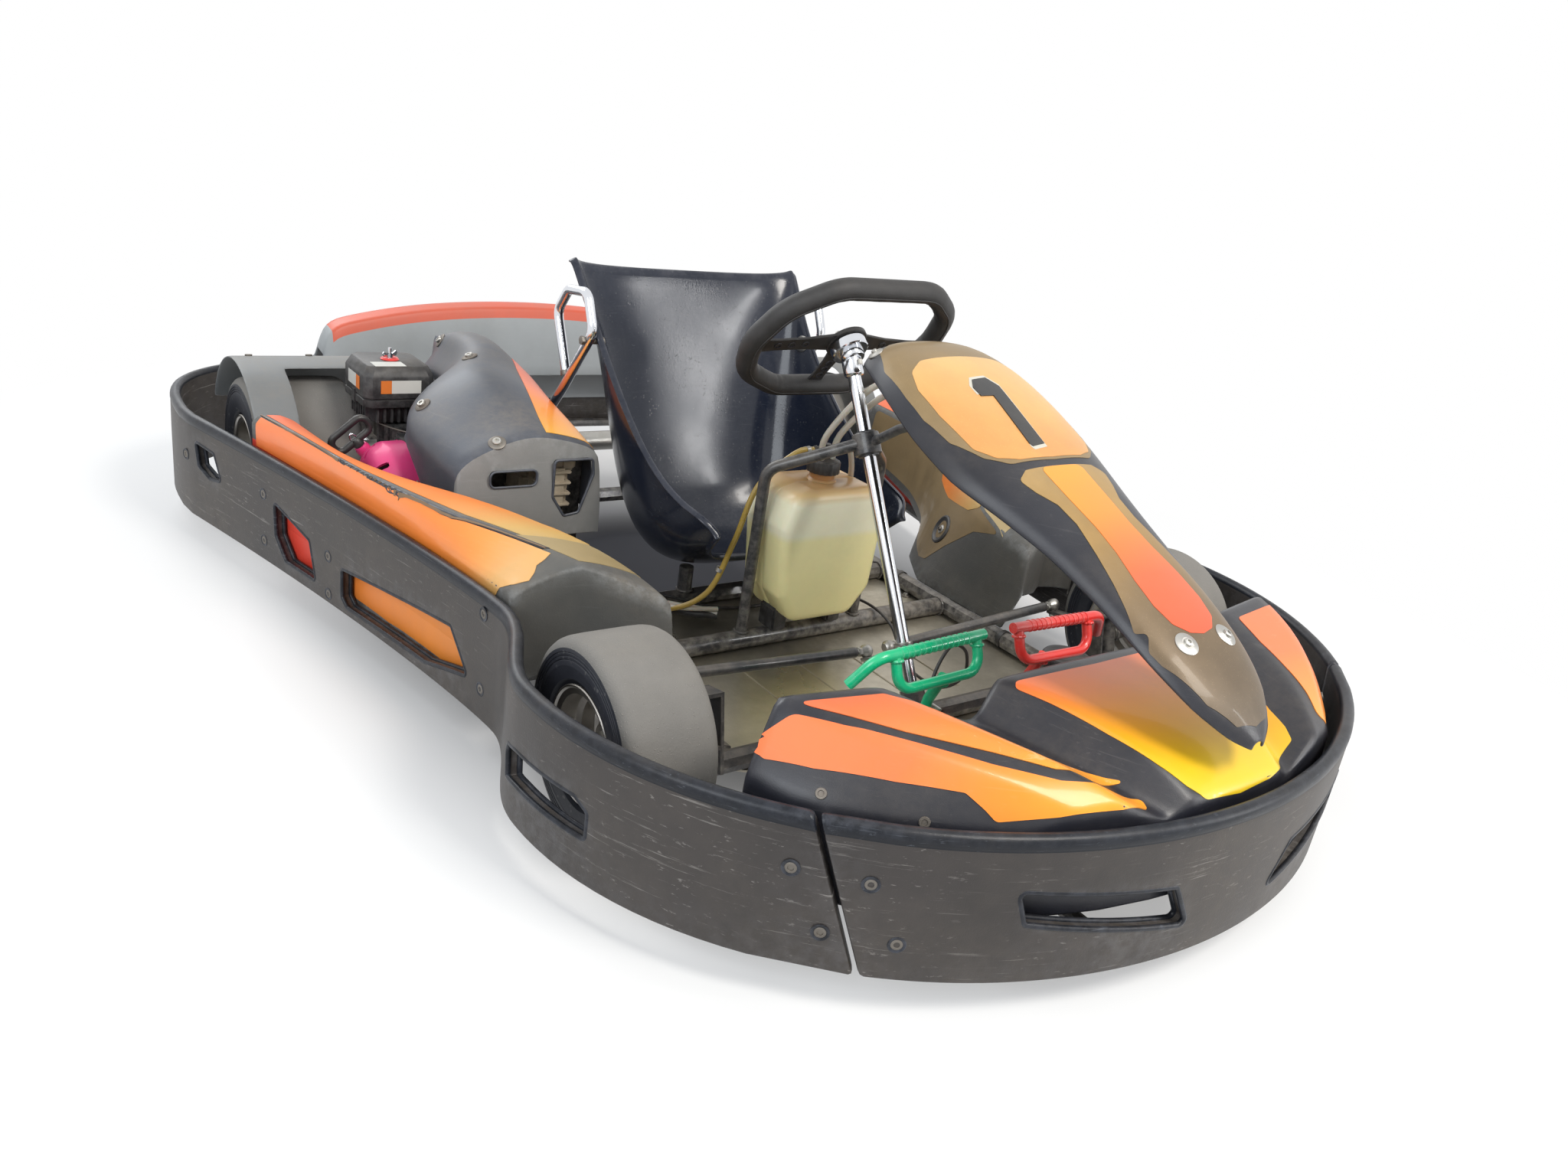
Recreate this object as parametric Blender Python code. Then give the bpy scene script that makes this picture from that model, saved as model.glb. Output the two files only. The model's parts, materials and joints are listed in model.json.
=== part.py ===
# Rental racing kart: tube frame, wrap-round bumper, side-mounted engine.
# Metres, +Z up, nose to -Y, driver's right to -X. Everything hangs from one empty on the front axle's
# line, which puts the middle of the whole kart over the origin.
import math

import bmesh
import bpy
from mathutils import Vector

# Overall layout
WHEELBASE = 1.080
FRONT_OVERHANG = 0.515        # front axle to the bumper's front face
REAR_OVERHANG = 0.420         # rear axle to the bumper's rear face
GAP = 0.0003                  # between pieces that touch
RUNNING_CLEARANCE = 0.0006    # radial, round anything that turns

# Bumper
BUMPER_BOTTOM = 0.045
BUMPER_TOP = 0.222
BUMPER_WALL = 0.018
BUMPER_FRONT_HALF = 0.626     # half width beside the front wheels
BUMPER_WAIST_HALF = 0.568     # half width at the narrowest place
BUMPER_WAIST_BACK = 0.195     # waist behind the front axle
BUMPER_REAR_HALF = 0.755      # half width beside the rear wheels
BUMPER_REAR_CORNER = 3.2      # power of the rounded rear corner
BUMPER_JOINT_ANGLE = 46.0     # degrees round the nose to the joint of front and side
BUMPER_JOINT_LEAN = 3.4       # degrees that the joint leans at top and bottom
BUMPER_JOINT_GAP = 0.6        # degrees open at the joint
BUMPER_REAR_JOINT = 3.62      # place of the rear joint along the outline

# Frame
TRAY_BOTTOM = 0.040
TRAY_THICKNESS = 0.003
TUBE_RADIUS = 0.015
BAR_RADIUS = 0.010
RAIL_X = 0.330
RAIL_BEHIND_AXLE = 0.120
HOOP_X = 0.240
HOOP_FORWARD = 0.380
TUBE_BEND = 0.060

# Wheels: outer radius and width of the tyres, and the rims
WHEEL_STEPS = 20
FRONT_TYRE_RADIUS = 0.130
FRONT_TYRE_WIDTH = 0.120
FRONT_WHEEL_X = 0.493
REAR_TYRE_RADIUS = 0.140
REAR_TYRE_WIDTH = 0.178
REAR_WHEEL_X = BUMPER_REAR_HALF - 0.180
RIM_FLANGE_RADIUS = 0.0725
RIM_SEAT_RADIUS = 0.0635
RIM_WELL_RADIUS = 0.0560
RIM_WALL = 0.003
RIM_INSET = 0.004             # flange edge inside the tyre's side, each side
RIM_DISC = 0.006
AXLE_RADIUS = 0.020
AXLE_HUB_RADIUS = 0.046

# Front end
CASTER = 12.0                 # degrees that the kingpin leans back
KINGPIN_X = 0.395
KINGPIN_RADIUS = 0.005
KNUCKLE_RADIUS = 0.014
KNUCKLE_HALF = 0.0315
STUB_RADIUS = 0.0085
STEERING_ARM = 0.105
STEERING_ARM_INWARD = 0.010

# Steering
COLUMN_LEAN = 31.0            # degrees from upright, top towards the driver
COLUMN_RADIUS = 0.010
COLUMN_FOOT_Y = 0.020
COLUMN_FOOT_Z = 0.080
COLUMN_LENGTH = 0.475         # foot to the underside of the hub flange
PITMAN_HEIGHT = 0.062         # up the column
PITMAN_LENGTH = 0.060
PITMAN_BALL_X = 0.022
WHEEL_LEAN = 50.0             # degrees of the steering wheel's face from level
WHEEL_GRIP_RADIUS = 0.0145
WHEEL_HALF_WIDTH = 0.168
WHEEL_TOP = 0.116             # hub to the middle of the top bar
WHEEL_BOTTOM = 0.108
BUSH_HEIGHT = 0.372           # up the column to the upper bush
TIE_ROD_RADIUS = 0.008

# Driver's place
SEAT_HALF = 0.222
SEAT_WALL = 0.005
TANK_WIDTH = 0.196
TANK_DEPTH = 0.112
TANK_FRONT = 0.245            # behind the front axle
TANK_BOTTOM = 0.100
TANK_HEIGHT = 0.216
TANK_TUBE_BACK = 0.300        # cross tube under the tank, behind the front axle
SEAT_TUBE_BACK = 0.470
REAR_TUBE_AHEAD = 0.110       # cross tube ahead of the rear axle
PANEL_WALL = 0.004

# Pedals
PEDAL_PIVOT_AHEAD = 0.085
PEDAL_TUBE = 0.0075
PEDAL_HEIGHT = 0.168

# Drive
ENGINE_AHEAD = 0.300          # crankshaft ahead of the rear axle
CRANK_Z = 0.165
CHAIN_X = -0.262
SPROCKET_RADIUS = 0.080
DRUM_SPROCKET_RADIUS = 0.026
CHAIN_HEIGHT = 0.009
CHAIN_WIDTH = 0.008
BRAKE_X = 0.268
BRAKE_RADIUS = 0.095
BRAKE_THICKNESS = 0.005

# Front stubs, side bars and kingpin brackets
SIDE_BAR_START = 0.300        # behind the front axle
SIDE_BAR_END_AHEAD = 0.200    # ahead of the rear axle
FRONT_STUB_X = 0.150
BRACKET_INSIDE = 0.032        # kingpin bracket: half the mouth
BRACKET_PLATE = 0.005
BRACKET_BACK = 0.030          # web's outer face, inside the kingpin
BRACKET_REACH = 0.017         # plates past the kingpin
BRACKET_HALF = 0.018

# Bodywork
POD_BOTTOM = 0.105
POD_GAP = 0.004               # pod's outer wall to the band
NOSE_LEG_X = 0.156
NOSE_ROWS = [  # behind the front axle (all negative), each row from the middle outwards: x, y, z
    [(0.0, -0.238, 0.150), (0.145, -0.233, 0.150), (0.205, -0.262, 0.150), (0.312, -0.214, 0.150),
     (0.440, -0.198, 0.150), (0.482, -0.226, 0.150), (0.488, -0.236, 0.130)],
    [(0.0, -0.242, 0.270), (0.145, -0.237, 0.264), (0.205, -0.266, 0.228), (0.315, -0.218, 0.276),
     (0.438, -0.203, 0.280), (0.486, -0.232, 0.216), (0.492, -0.240, 0.120)],
    [(0.0, -0.310, 0.272), (0.128, -0.305, 0.267), (0.180, -0.318, 0.226), (0.288, -0.288, 0.273),
     (0.400, -0.272, 0.276), (0.468, -0.285, 0.212), (0.474, -0.290, 0.110)],
    [(0.0, -0.380, 0.268), (0.110, -0.375, 0.263), (0.156, -0.380, 0.222), (0.250, -0.358, 0.268),
     (0.345, -0.340, 0.266), (0.415, -0.340, 0.208), (0.420, -0.345, 0.105)],
    [(0.0, -0.445, 0.252), (0.092, -0.440, 0.249), (0.132, -0.438, 0.214), (0.210, -0.420, 0.258),
     (0.280, -0.402, 0.252), (0.345, -0.390, 0.206), (0.350, -0.394, 0.105)],
    [(0.0, -0.486, 0.226), (0.080, -0.482, 0.225), (0.112, -0.478, 0.206), (0.180, -0.465, 0.238),
     (0.230, -0.450, 0.230), (0.285, -0.432, 0.200), (0.288, -0.434, 0.105)],
    [(0.0, -0.490, 0.110), (0.080, -0.487, 0.110), (0.112, -0.483, 0.110), (0.180, -0.470, 0.110),
     (0.230, -0.455, 0.110), (0.286, -0.436, 0.110), (0.289, -0.438, 0.102)],
]
FAIRING_SECTIONS = [  # distance behind the front axle, height, half width, drop of the sides
    (0.160, 0.554, 0.080, 0.028), (0.128, 0.577, 0.106, 0.040), (0.060, 0.568, 0.128, 0.050),
    (-0.020, 0.536, 0.139, 0.053), (-0.095, 0.502, 0.136, 0.050), (-0.160, 0.473, 0.116, 0.042),
    (-0.230, 0.443, 0.098, 0.036), (-0.310, 0.407, 0.088, 0.032), (-0.385, 0.370, 0.083, 0.030),
    (-0.440, 0.335, 0.066, 0.026), (-0.474, 0.304, 0.038, 0.018), (-0.488, 0.284, 0.010, 0.010),
]
FAIRING_STAY_Z = 0.500
REAR_COVER_HALF = 0.440
REAR_COVER_TOP = 0.352
REAR_LEG_X = 0.250
ARCH_RADIUS = 0.174
ARCH_OUTER = REAR_WHEEL_X + 0.097
ARCH_INNER = REAR_WHEEL_X - 0.175
ARCH_STRIP = REAR_WHEEL_X + 0.025   # only the part outside this reaches down ahead of the tyre
ARCH_OPENING = WHEELBASE - 0.045    # the opening's rear end
ARCH_STAY_BACK = WHEELBASE + 0.085
COVER_SECTIONS = [  # behind the front axle; outer and inner x; shoulder, crown, outer and inner low edges
    (0.556, -0.486, -0.246, 0.286, 0.316, 0.160, 0.165),
    (0.605, -0.492, -0.244, 0.304, 0.326, 0.160, 0.180),
    (0.668, -0.498, -0.244, 0.320, 0.342, 0.225, 0.205),
    (0.740, -0.496, -0.244, 0.330, 0.362, 0.270, 0.215),
    (0.800, -0.465, -0.244, 0.342, 0.378, 0.272, 0.232),
    (0.860, -0.388, -0.246, 0.350, 0.388, 0.300, 0.238),
    (0.930, -0.370, -0.248, 0.352, 0.392, 0.305, 0.240),
    (1.010, -0.365, -0.252, 0.344, 0.384, 0.300, 0.240),
    (1.075, -0.352, -0.262, 0.320, 0.356, 0.290, 0.240),
]
COVER_SLOT = ((-0.413, 0.217), (-0.337, 0.245))
COVER_EXHAUST = ((-0.305, 0.185), (-0.262, 0.262))

# Seat fittings
SEAT_STATIONS = [  # middle of the shell (behind the front axle, height), half width, and the rim beside it
    (0.375, 0.168, 0.184, 0.298, 0.246),
    (0.425, 0.130, 0.200, 0.312, 0.264),
    (0.490, 0.106, 0.208, 0.352, 0.270),
    (0.560, 0.100, 0.210, 0.402, 0.282),
    (0.625, 0.130, 0.211, 0.452, 0.302),
    (0.668, 0.200, 0.212, 0.512, 0.338),
    (0.695, 0.300, 0.212, 0.578, 0.388),
    (0.718, 0.400, 0.213, 0.638, 0.442),
    (0.738, 0.490, 0.217, 0.690, 0.498),
    (0.750, 0.546, 0.222, 0.738, 0.560),
]
SEAT_ACROSS = (-1.0, -0.97, -0.86, -0.62, -0.32, 0.0, 0.32, 0.62, 0.86, 0.97, 1.0)
SEAT_POST_X = 0.115
SEAT_POST_RADIUS = 0.012
SEAT_BOLT_X = 0.2138

# Hubs, arms and pedals
ARM_HEIGHT = 0.016            # steering arm's middle above the stub axle, up the kingpin
BALL_ABOVE_ARM = 0.0122
FRONT_HUB_HALF = 0.024
REAR_DISC = -0.018            # wheel disc from the rear rim's middle, inboard
PEDAL_PIN_X = 0.095
CABLE_STOP_X = -0.055
STARTER_LEAN = 40.0           # degrees that the rope leaves outwards from upright

LENGTH = FRONT_OVERHANG + WHEELBASE + REAR_OVERHANG
TRAY_TOP = TRAY_BOTTOM + TRAY_THICKNESS
TUBE_Z = TRAY_TOP + GAP + TUBE_RADIUS
TUBE_TOP = TUBE_Z + TUBE_RADIUS
# A tyre stands on one flat of its faceted tread.
FLAT = math.cos(math.pi / WHEEL_STEPS)
FRONT_AXLE_Z = FRONT_TYRE_RADIUS * FLAT
REAR_AXLE_Z = REAR_TYRE_RADIUS * FLAT
SIDES = {"left": 1, "right": -1}

for leftover in list(bpy.data.objects):
    bpy.data.objects.remove(leftover, do_unlink=True)


# Materials

def paint(name, colour, roughness, metallic=0.0):
    material = bpy.data.materials.new(name)
    material.use_nodes = True
    shader = material.node_tree.nodes["Principled BSDF"]
    shader.inputs["Base Color"].default_value = (*colour, 1.0)
    shader.inputs["Roughness"].default_value = roughness
    shader.inputs["Metallic"].default_value = metallic
    material.diffuse_color = (*colour, 1.0)
    return material


STEEL = paint("black_frame_paint", (0.03, 0.03, 0.032), 0.45)
BARE_STEEL = paint("bare_steel", (0.42, 0.41, 0.39), 0.45, 1.0)
CHROME = paint("chrome", (0.75, 0.76, 0.78), 0.12, 1.0)
ALUMINIUM = paint("rim_aluminium", (0.62, 0.62, 0.63), 0.38, 1.0)
TRAY_METAL = paint("tray_metal", (0.34, 0.31, 0.24), 0.55, 1.0)
TYRE = paint("tyre_rubber", (0.028, 0.029, 0.033), 0.85)
BUMPER = paint("bumper_plastic", (0.060, 0.055, 0.052), 0.55)
ORANGE = paint("orange_bodywork", (0.90, 0.26, 0.06), 0.40)
GREY = paint("grey_moulding", (0.085, 0.088, 0.095), 0.60)
SEAT_BLACK = paint("seat_plastic", (0.012, 0.013, 0.017), 0.18)
GRIP = paint("wheel_grip", (0.025, 0.025, 0.027), 0.60)
TANK = paint("tank_plastic", (0.78, 0.72, 0.36), 0.35)
HOSE = paint("fuel_hose", (0.50, 0.36, 0.10), 0.35)
GREEN = paint("green_paint", (0.0, 0.33, 0.12), 0.35)
RED = paint("red_paint", (0.66, 0.03, 0.02), 0.35)
PINK = paint("pink_recoil_cover", (0.80, 0.05, 0.25), 0.45)
ENGINE = paint("engine_black", (0.022, 0.022, 0.024), 0.50)
RUST = paint("hot_steel", (0.33, 0.25, 0.18), 0.75, 0.6)
BLACK = paint("black_plastic", (0.018, 0.018, 0.019), 0.45)


# Building blocks

def finish(name, bm, material, parent, location=(0, 0, 0), rotation=(0, 0, 0)):
    bmesh.ops.recalc_face_normals(bm, faces=bm.faces)
    mesh = bpy.data.meshes.new(name)
    bm.to_mesh(mesh)
    bm.free()
    return place(name, mesh, material, parent, location, rotation)


def place(name, data, material, parent, location=(0, 0, 0), rotation=(0, 0, 0)):
    obj = bpy.data.objects.new(name, data)
    data.materials.append(material)
    obj.parent = parent
    obj.location = location
    obj.rotation_euler = rotation
    bpy.context.scene.collection.objects.link(obj)
    if obj.type == "MESH":
        data.shade_smooth()
        data.set_sharp_from_angle(angle=math.radians(35))
    return obj


def pivot(name, location, parent, lean=0.0):
    """An empty on a joint's axis; lean is in degrees about X."""
    empty = bpy.data.objects.new(name, None)
    empty.parent = parent
    empty.location = location
    empty.rotation_euler = (math.radians(lean), 0, 0)
    bpy.context.scene.collection.objects.link(empty)
    return empty


def skin_rings(bm, rings, closed):
    """Joins rings of equal point counts with quads, and closes both ends unless the rings meet."""
    made = [[bm.verts.new(point) for point in ring] for ring in rings]
    count = len(made[0])
    pairs = list(zip(made, made[1:]))
    if closed:
        pairs.append((made[-1], made[0]))
    for first, second in pairs:
        for i in range(count):
            j = (i + 1) % count
            bm.faces.new((first[i], first[j], second[j], second[i]))
    if not closed:
        bm.faces.new(made[0])
        bm.faces.new(reversed(made[-1]))


def loft(name, rings, material, parent, closed=False, location=(0, 0, 0), rotation=(0, 0, 0)):
    bm = bmesh.new()
    skin_rings(bm, rings, closed)
    return finish(name, bm, material, parent, location, rotation)


def turned(name, profile, steps, material, parent, axis="X", location=(0, 0, 0), rotation=(0, 0, 0)):
    """A turned piece. The profile is a loop of (along, radius); a radius of 0 closes it on the axis.
    One flat faces straight down."""
    rings = []
    for step in range(steps):
        turn = math.tau * (step + 0.5) / steps
        across, up = math.sin(turn), -math.cos(turn)
        ring = []
        for along, radius in profile:
            if axis == "X":
                ring.append((along, radius * across, radius * up))
            elif axis == "Y":
                ring.append((radius * across, along, radius * up))
            else:
                ring.append((radius * across, radius * up, along))
        rings.append(ring)
    bm = bmesh.new()
    made = [[bm.verts.new(point) for point in ring] for ring in rings]
    count = len(profile)
    for step in range(steps):
        here, there = made[step], made[(step + 1) % steps]
        for i in range(count):
            j = (i + 1) % count
            if profile[i][1] == 0 and profile[j][1] == 0:
                continue
            bm.faces.new((here[i], here[j], there[j], there[i]))
    bmesh.ops.remove_doubles(bm, verts=bm.verts, dist=1e-7)
    return finish(name, bm, material, parent, location, rotation)


def rod_profile(start, end, radius):
    return [(start, 0), (start, radius), (end, radius), (end, 0)]


def ring_profile(start, end, inner, outer):
    return [(start, inner), (start, outer), (end, outer), (end, inner)]


def box_bmesh(low, high):
    bm = bmesh.new()
    bmesh.ops.create_cube(bm, size=1.0)
    size = [b - a for a, b in zip(low, high)]
    middle = [(a + b) / 2 for a, b in zip(low, high)]
    bmesh.ops.scale(bm, vec=size, verts=bm.verts)
    bmesh.ops.translate(bm, vec=middle, verts=bm.verts)
    return bm


def block(name, low, high, material, parent, bevel=0.0, location=(0, 0, 0), rotation=(0, 0, 0)):
    bm = box_bmesh(low, high)
    if bevel:
        bmesh.ops.bevel(bm, geom=bm.edges, offset=bevel, segments=1, affect="EDGES")
    return finish(name, bm, material, parent, location, rotation)


def prism(name, outline, low, high, axis, material, parent, location=(0, 0, 0), rotation=(0, 0, 0)):
    """An outline in the two directions square to the axis, pushed out from low to high along it."""
    def point(a, b, along):
        if axis == "X":
            return (along, a, b)
        if axis == "Y":
            return (a, along, b)
        return (a, b, along)
    rings = [[point(a, b, low) for a, b in outline], [point(a, b, high) for a, b in outline]]
    return loft(name, rings, material, parent, False, location, rotation)


def rounded_path(points, bend, steps=4):
    """The path with an arc of the bend radius at each inner corner."""
    path = [Vector(points[0])]
    for before, corner, after in zip(points, points[1:], points[2:]):
        before, corner, after = Vector(before), Vector(corner), Vector(after)
        back, ahead = (before - corner), (after - corner)
        half = back.angle(ahead) / 2
        if half > math.radians(86):
            path.append(corner)
            continue
        reach = min(bend / math.tan(half), 0.49 * back.length, 0.49 * ahead.length)
        radius = reach * math.tan(half)
        back.normalize()
        ahead.normalize()
        centre = corner + (back + ahead).normalized() * radius / math.sin(half)
        start = (corner + back * reach - centre).normalized()
        end = (corner + ahead * reach - centre).normalized()
        for step in range(steps + 1):
            path.append(centre + start.slerp(end, step / steps) * radius)
    path.append(Vector(points[-1]))
    return path


def smooth_path(points, spacing):
    """Points at about the spacing on a smooth curve through the given ones."""
    points = [Vector(p) for p in points]
    ends = [points[0] * 2 - points[1]] + points + [points[-1] * 2 - points[-2]]
    path = []
    for a, b, c, d in zip(ends, ends[1:], ends[2:], ends[3:]):
        steps = max(2, round((c - b).length / spacing))
        for step in range(steps):
            t = step / steps
            path.append(0.5 * ((2 * b) + (c - a) * t + (2 * a - 5 * b + 4 * c - d) * t * t
                               + (3 * b - a - 3 * c + d) * t ** 3))
    path.append(points[-1])
    return path


def tube_curve(name, path, radius, resolution=2, cyclic=False):
    curve = bpy.data.curves.new(name, "CURVE")
    curve.dimensions = "3D"
    spline = curve.splines.new("POLY")
    spline.points.add(len(path) - 1)
    for place_on, point in zip(spline.points, path):
        place_on.co = (*point, 1.0)
    spline.use_cyclic_u = cyclic
    spline.use_smooth = True
    curve.bevel_depth = radius
    curve.bevel_resolution = resolution
    curve.use_fill_caps = True
    return curve


def tube(name, path, radius, material, parent, resolution=2, cyclic=False):
    return place(name, tube_curve(name, path, radius, resolution, cyclic), material, parent)


def solid_tube(name, path, radius, material, parent, resolution=2, cyclic=False):
    """The same tube as a mesh, which can be joined or cut."""
    curve = tube_curve(name, path, radius, resolution, cyclic)
    guide = bpy.data.objects.new(name + "_path", curve)
    mesh = bpy.data.meshes.new_from_object(guide)
    bpy.data.objects.remove(guide, do_unlink=True)
    bpy.data.curves.remove(curve)
    bm = bmesh.new()
    bm.from_mesh(mesh)
    bpy.data.meshes.remove(mesh)
    bmesh.ops.remove_doubles(bm, verts=bm.verts, dist=1e-6)
    return finish(name, bm, material, parent)


def panel(name, grid, wall, material, parent, location=(0, 0, 0)):
    """A skin of one wall thickness below a grid of points; the grid's rows run along, its columns
    across, and its outer side is the one that the points describe."""
    rows, columns = len(grid), len(grid[0])
    top = [[Vector(p) for p in row] for row in grid]

    def inward(i, j):
        down = top[min(i + 1, rows - 1)][j] - top[max(i - 1, 0)][j]
        across = top[i][min(j + 1, columns - 1)] - top[i][max(j - 1, 0)]
        return down.cross(across).normalized() * -wall

    bm = bmesh.new()
    outer = [[bm.verts.new(top[i][j]) for j in range(columns)] for i in range(rows)]
    inner = [[bm.verts.new(top[i][j] + inward(i, j)) for j in range(columns)] for i in range(rows)]
    for i in range(rows - 1):
        for j in range(columns - 1):
            bm.faces.new((outer[i][j], outer[i + 1][j], outer[i + 1][j + 1], outer[i][j + 1]))
            bm.faces.new((inner[i][j], inner[i][j + 1], inner[i + 1][j + 1], inner[i + 1][j]))
    for i in range(rows - 1):
        for j in (0, columns - 1):
            bm.faces.new((outer[i][j], outer[i + 1][j], inner[i + 1][j], inner[i][j]))
    for j in range(columns - 1):
        for i in (0, rows - 1):
            bm.faces.new((outer[i][j], outer[i][j + 1], inner[i][j + 1], inner[i][j]))
    return finish(name, bm, material, parent, location)


def lowest_height(grid, x, y, reach, wall=0.0):
    """The lowest height of a grid of points inside a circle of this reach, less what its wall takes."""
    heights = []
    for turn in range(9):
        px = x + reach * math.cos(turn * math.tau / 8) * (turn < 8)
        py = y + reach * math.sin(turn * math.tau / 8) * (turn < 8)
        for near, far in zip(grid, grid[1:]):
            for j in range(len(near) - 1):
                a, b, c, d = (Vector(p) for p in (near[j], near[j + 1], far[j + 1], far[j]))
                for first, second, third in ((a, b, c), (a, c, d), (a, b, d), (b, c, d)):
                    u, v = (second - first).xy, (third - first).xy
                    area = u.cross(v)
                    if abs(area) < 1e-12:
                        continue
                    offset = Vector((px - first.x, py - first.y))
                    along, across = offset.cross(v) / area, u.cross(offset) / area
                    if along < 0 or across < 0 or along + across > 1:
                        continue
                    normal = (second - first).cross(third - first).normalized()
                    height = first.z + (second - first).z * along + (third - first).z * across
                    heights.append(height - wall / max(abs(normal.z), 0.3))
    return min(heights)


def helper(obj):
    obj.hide_render = True
    obj.display_type = "WIRE"


def combine(obj, others, operation):
    for other in others:
        helper(other)
        modifier = obj.modifiers.new(operation.lower() + "_" + other.name, "BOOLEAN")
        modifier.operation = operation
        modifier.solver = "EXACT"
        modifier.object = other
    return obj


def weld(obj, *others):
    return combine(obj, others, "UNION")


def cut(obj, *others):
    return combine(obj, others, "DIFFERENCE")


def mirrored(point, side):
    return (point[0] * side, *point[1:])


# Bumper outline, seen from above. The place runs from 0 at the nose's middle to 4 at the tail's:
# 1 is beside the front axle, 2 is the waist and 3 is beside the rear axle.

def outline_point(along):
    if along <= 1:
        turn = math.radians(90 * along)
        return Vector((BUMPER_FRONT_HALF * math.sin(turn), -FRONT_OVERHANG * math.cos(turn)))
    if along <= 2:
        ease = (1 - math.cos(math.pi * (along - 1))) / 2
        x = BUMPER_FRONT_HALF + (BUMPER_WAIST_HALF - BUMPER_FRONT_HALF) * ease
        return Vector((x, BUMPER_WAIST_BACK * (along - 1)))
    if along <= 3:
        share = along - 2
        x = BUMPER_WAIST_HALF + (BUMPER_REAR_HALF - BUMPER_WAIST_HALF) * share ** 1.3
        return Vector((x, BUMPER_WAIST_BACK + (WHEELBASE - BUMPER_WAIST_BACK) * share))
    turn = math.radians(90 * (4 - along))
    power = 2 / BUMPER_REAR_CORNER
    across = math.sin(turn) ** power if turn > 1e-6 else 0.0
    back = math.cos(turn) ** power if turn < math.pi / 2 - 1e-6 else 0.0
    return Vector((BUMPER_REAR_HALF * across, WHEELBASE + REAR_OVERHANG * back))


def outline_inset(along, inset):
    """The outline moved inwards; a negative place is on the right-hand side."""
    side = -1 if along < 0 else 1
    along = abs(along)
    step = 1e-3
    ahead = outline_point(min(along + step, 4)) - outline_point(max(along - step, 0))
    inward = Vector((-ahead.y, ahead.x)).normalized()
    if along < step:
        inward = Vector((0, 1))
    if along > 4 - step:
        inward = Vector((0, -1))
    point = outline_point(along) + inward * inset
    return Vector((point.x * side, point.y))


def outline_place_at(back):
    """The place beside the driver that lies this far behind the front axle."""
    return 2 + (back - BUMPER_WAIST_BACK) / (WHEELBASE - BUMPER_WAIST_BACK)


def front_place_at(x):
    return math.degrees(math.asin(x / BUMPER_FRONT_HALF)) / 90


JOINT_PLACE = BUMPER_JOINT_ANGLE / 90


def joint_place(z, side_of_gap):
    """The slanted edge at the joint of the front and side bands."""
    middle = (BUMPER_TOP + BUMPER_BOTTOM) / 2
    lean = BUMPER_JOINT_LEAN * (z - middle) / (BUMPER_TOP - middle)
    return (BUMPER_JOINT_ANGLE + lean + side_of_gap * BUMPER_JOINT_GAP / 2) / 90


BAND_PROFILE = [  # depth in from the outer face, height from the bottom (or, if negative, the top)
    (0.0025, 0.0), (0.0, 0.005), (0.0, -0.011), (0.0035, -0.003), (0.009, -1e-9),
    (BUMPER_WALL - 0.004, -0.001), (BUMPER_WALL, -0.007), (BUMPER_WALL, 0.0),
]


def band_ring(place_of):
    ring = []
    for depth, height in BAND_PROFILE:
        z = BUMPER_BOTTOM + height if height >= 0 else BUMPER_TOP + height
        point = outline_inset(place_of(z), depth)
        ring.append((point.x, point.y, z))
    return ring


FRONT_PLACES = [JOINT_PLACE * share for share in (0.78, 0.6, 0.42, 0.24, 0.08)]
SIDE_PLACES = [0.62, 0.74, 0.87, 1.0, 1.12, 1.25, 1.4, 1.55, 1.7, 1.85, 2.0, 2.15, 2.35, 2.6, 2.8, 2.93,
               3.05, 3.15, 3.25, 3.35, 3.45, 3.54]
REAR_PLACES = [3.7, 3.78, 3.86, 3.94]


def bumper_window(name, corners, side):
    """A cutter through the band: corners are (place, height)."""
    rings = []
    for inset in (-0.03, BUMPER_WALL + 0.02):
        ring = []
        for along, z in corners:
            point = outline_inset(along, inset)
            ring.append((point.x * side, point.y, z))
        rings.append(ring)
    return loft(name, rings, BUMPER, kart)


kart = pivot("kart", (0, FRONT_OVERHANG - LENGTH / 2, 0), None)


# Frame

def straight(name, start, end, radius, material, parent):
    return solid_tube(name, [Vector(start), Vector(end)], radius, material, parent, 2)


def build_rails():
    for side_name, side in SIDES.items():
        start = (RAIL_X * side, TUBE_RADIUS + GAP, TUBE_Z)
        end = (RAIL_X * side, WHEELBASE + RAIL_BEHIND_AXLE, TUBE_Z)
        rail = straight(side_name + "_rail", start, end, TUBE_RADIUS, STEEL, kart)
        carrier = turned(side_name + "_carrier", rod_profile(-0.012, 0.012, AXLE_RADIUS + 0.018), 16, STEEL,
                         kart, "X", (RAIL_X * side, WHEELBASE, REAR_AXLE_Z))
        web = block(side_name + "_carrier_web", (-0.004, -0.032, TUBE_Z), (0.004, 0.032, REAR_AXLE_Z), STEEL,
                    kart, 0, (RAIL_X * side, WHEELBASE, 0))
        bore = turned(side_name + "_carrier_bore", rod_profile(-0.03, 0.03, AXLE_RADIUS + RUNNING_CLEARANCE),
                      WHEEL_STEPS, STEEL, kart, "X", (RAIL_X * side, WHEELBASE, REAR_AXLE_Z))
        weld(rail, carrier, web)
        cut(rail, bore)


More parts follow.
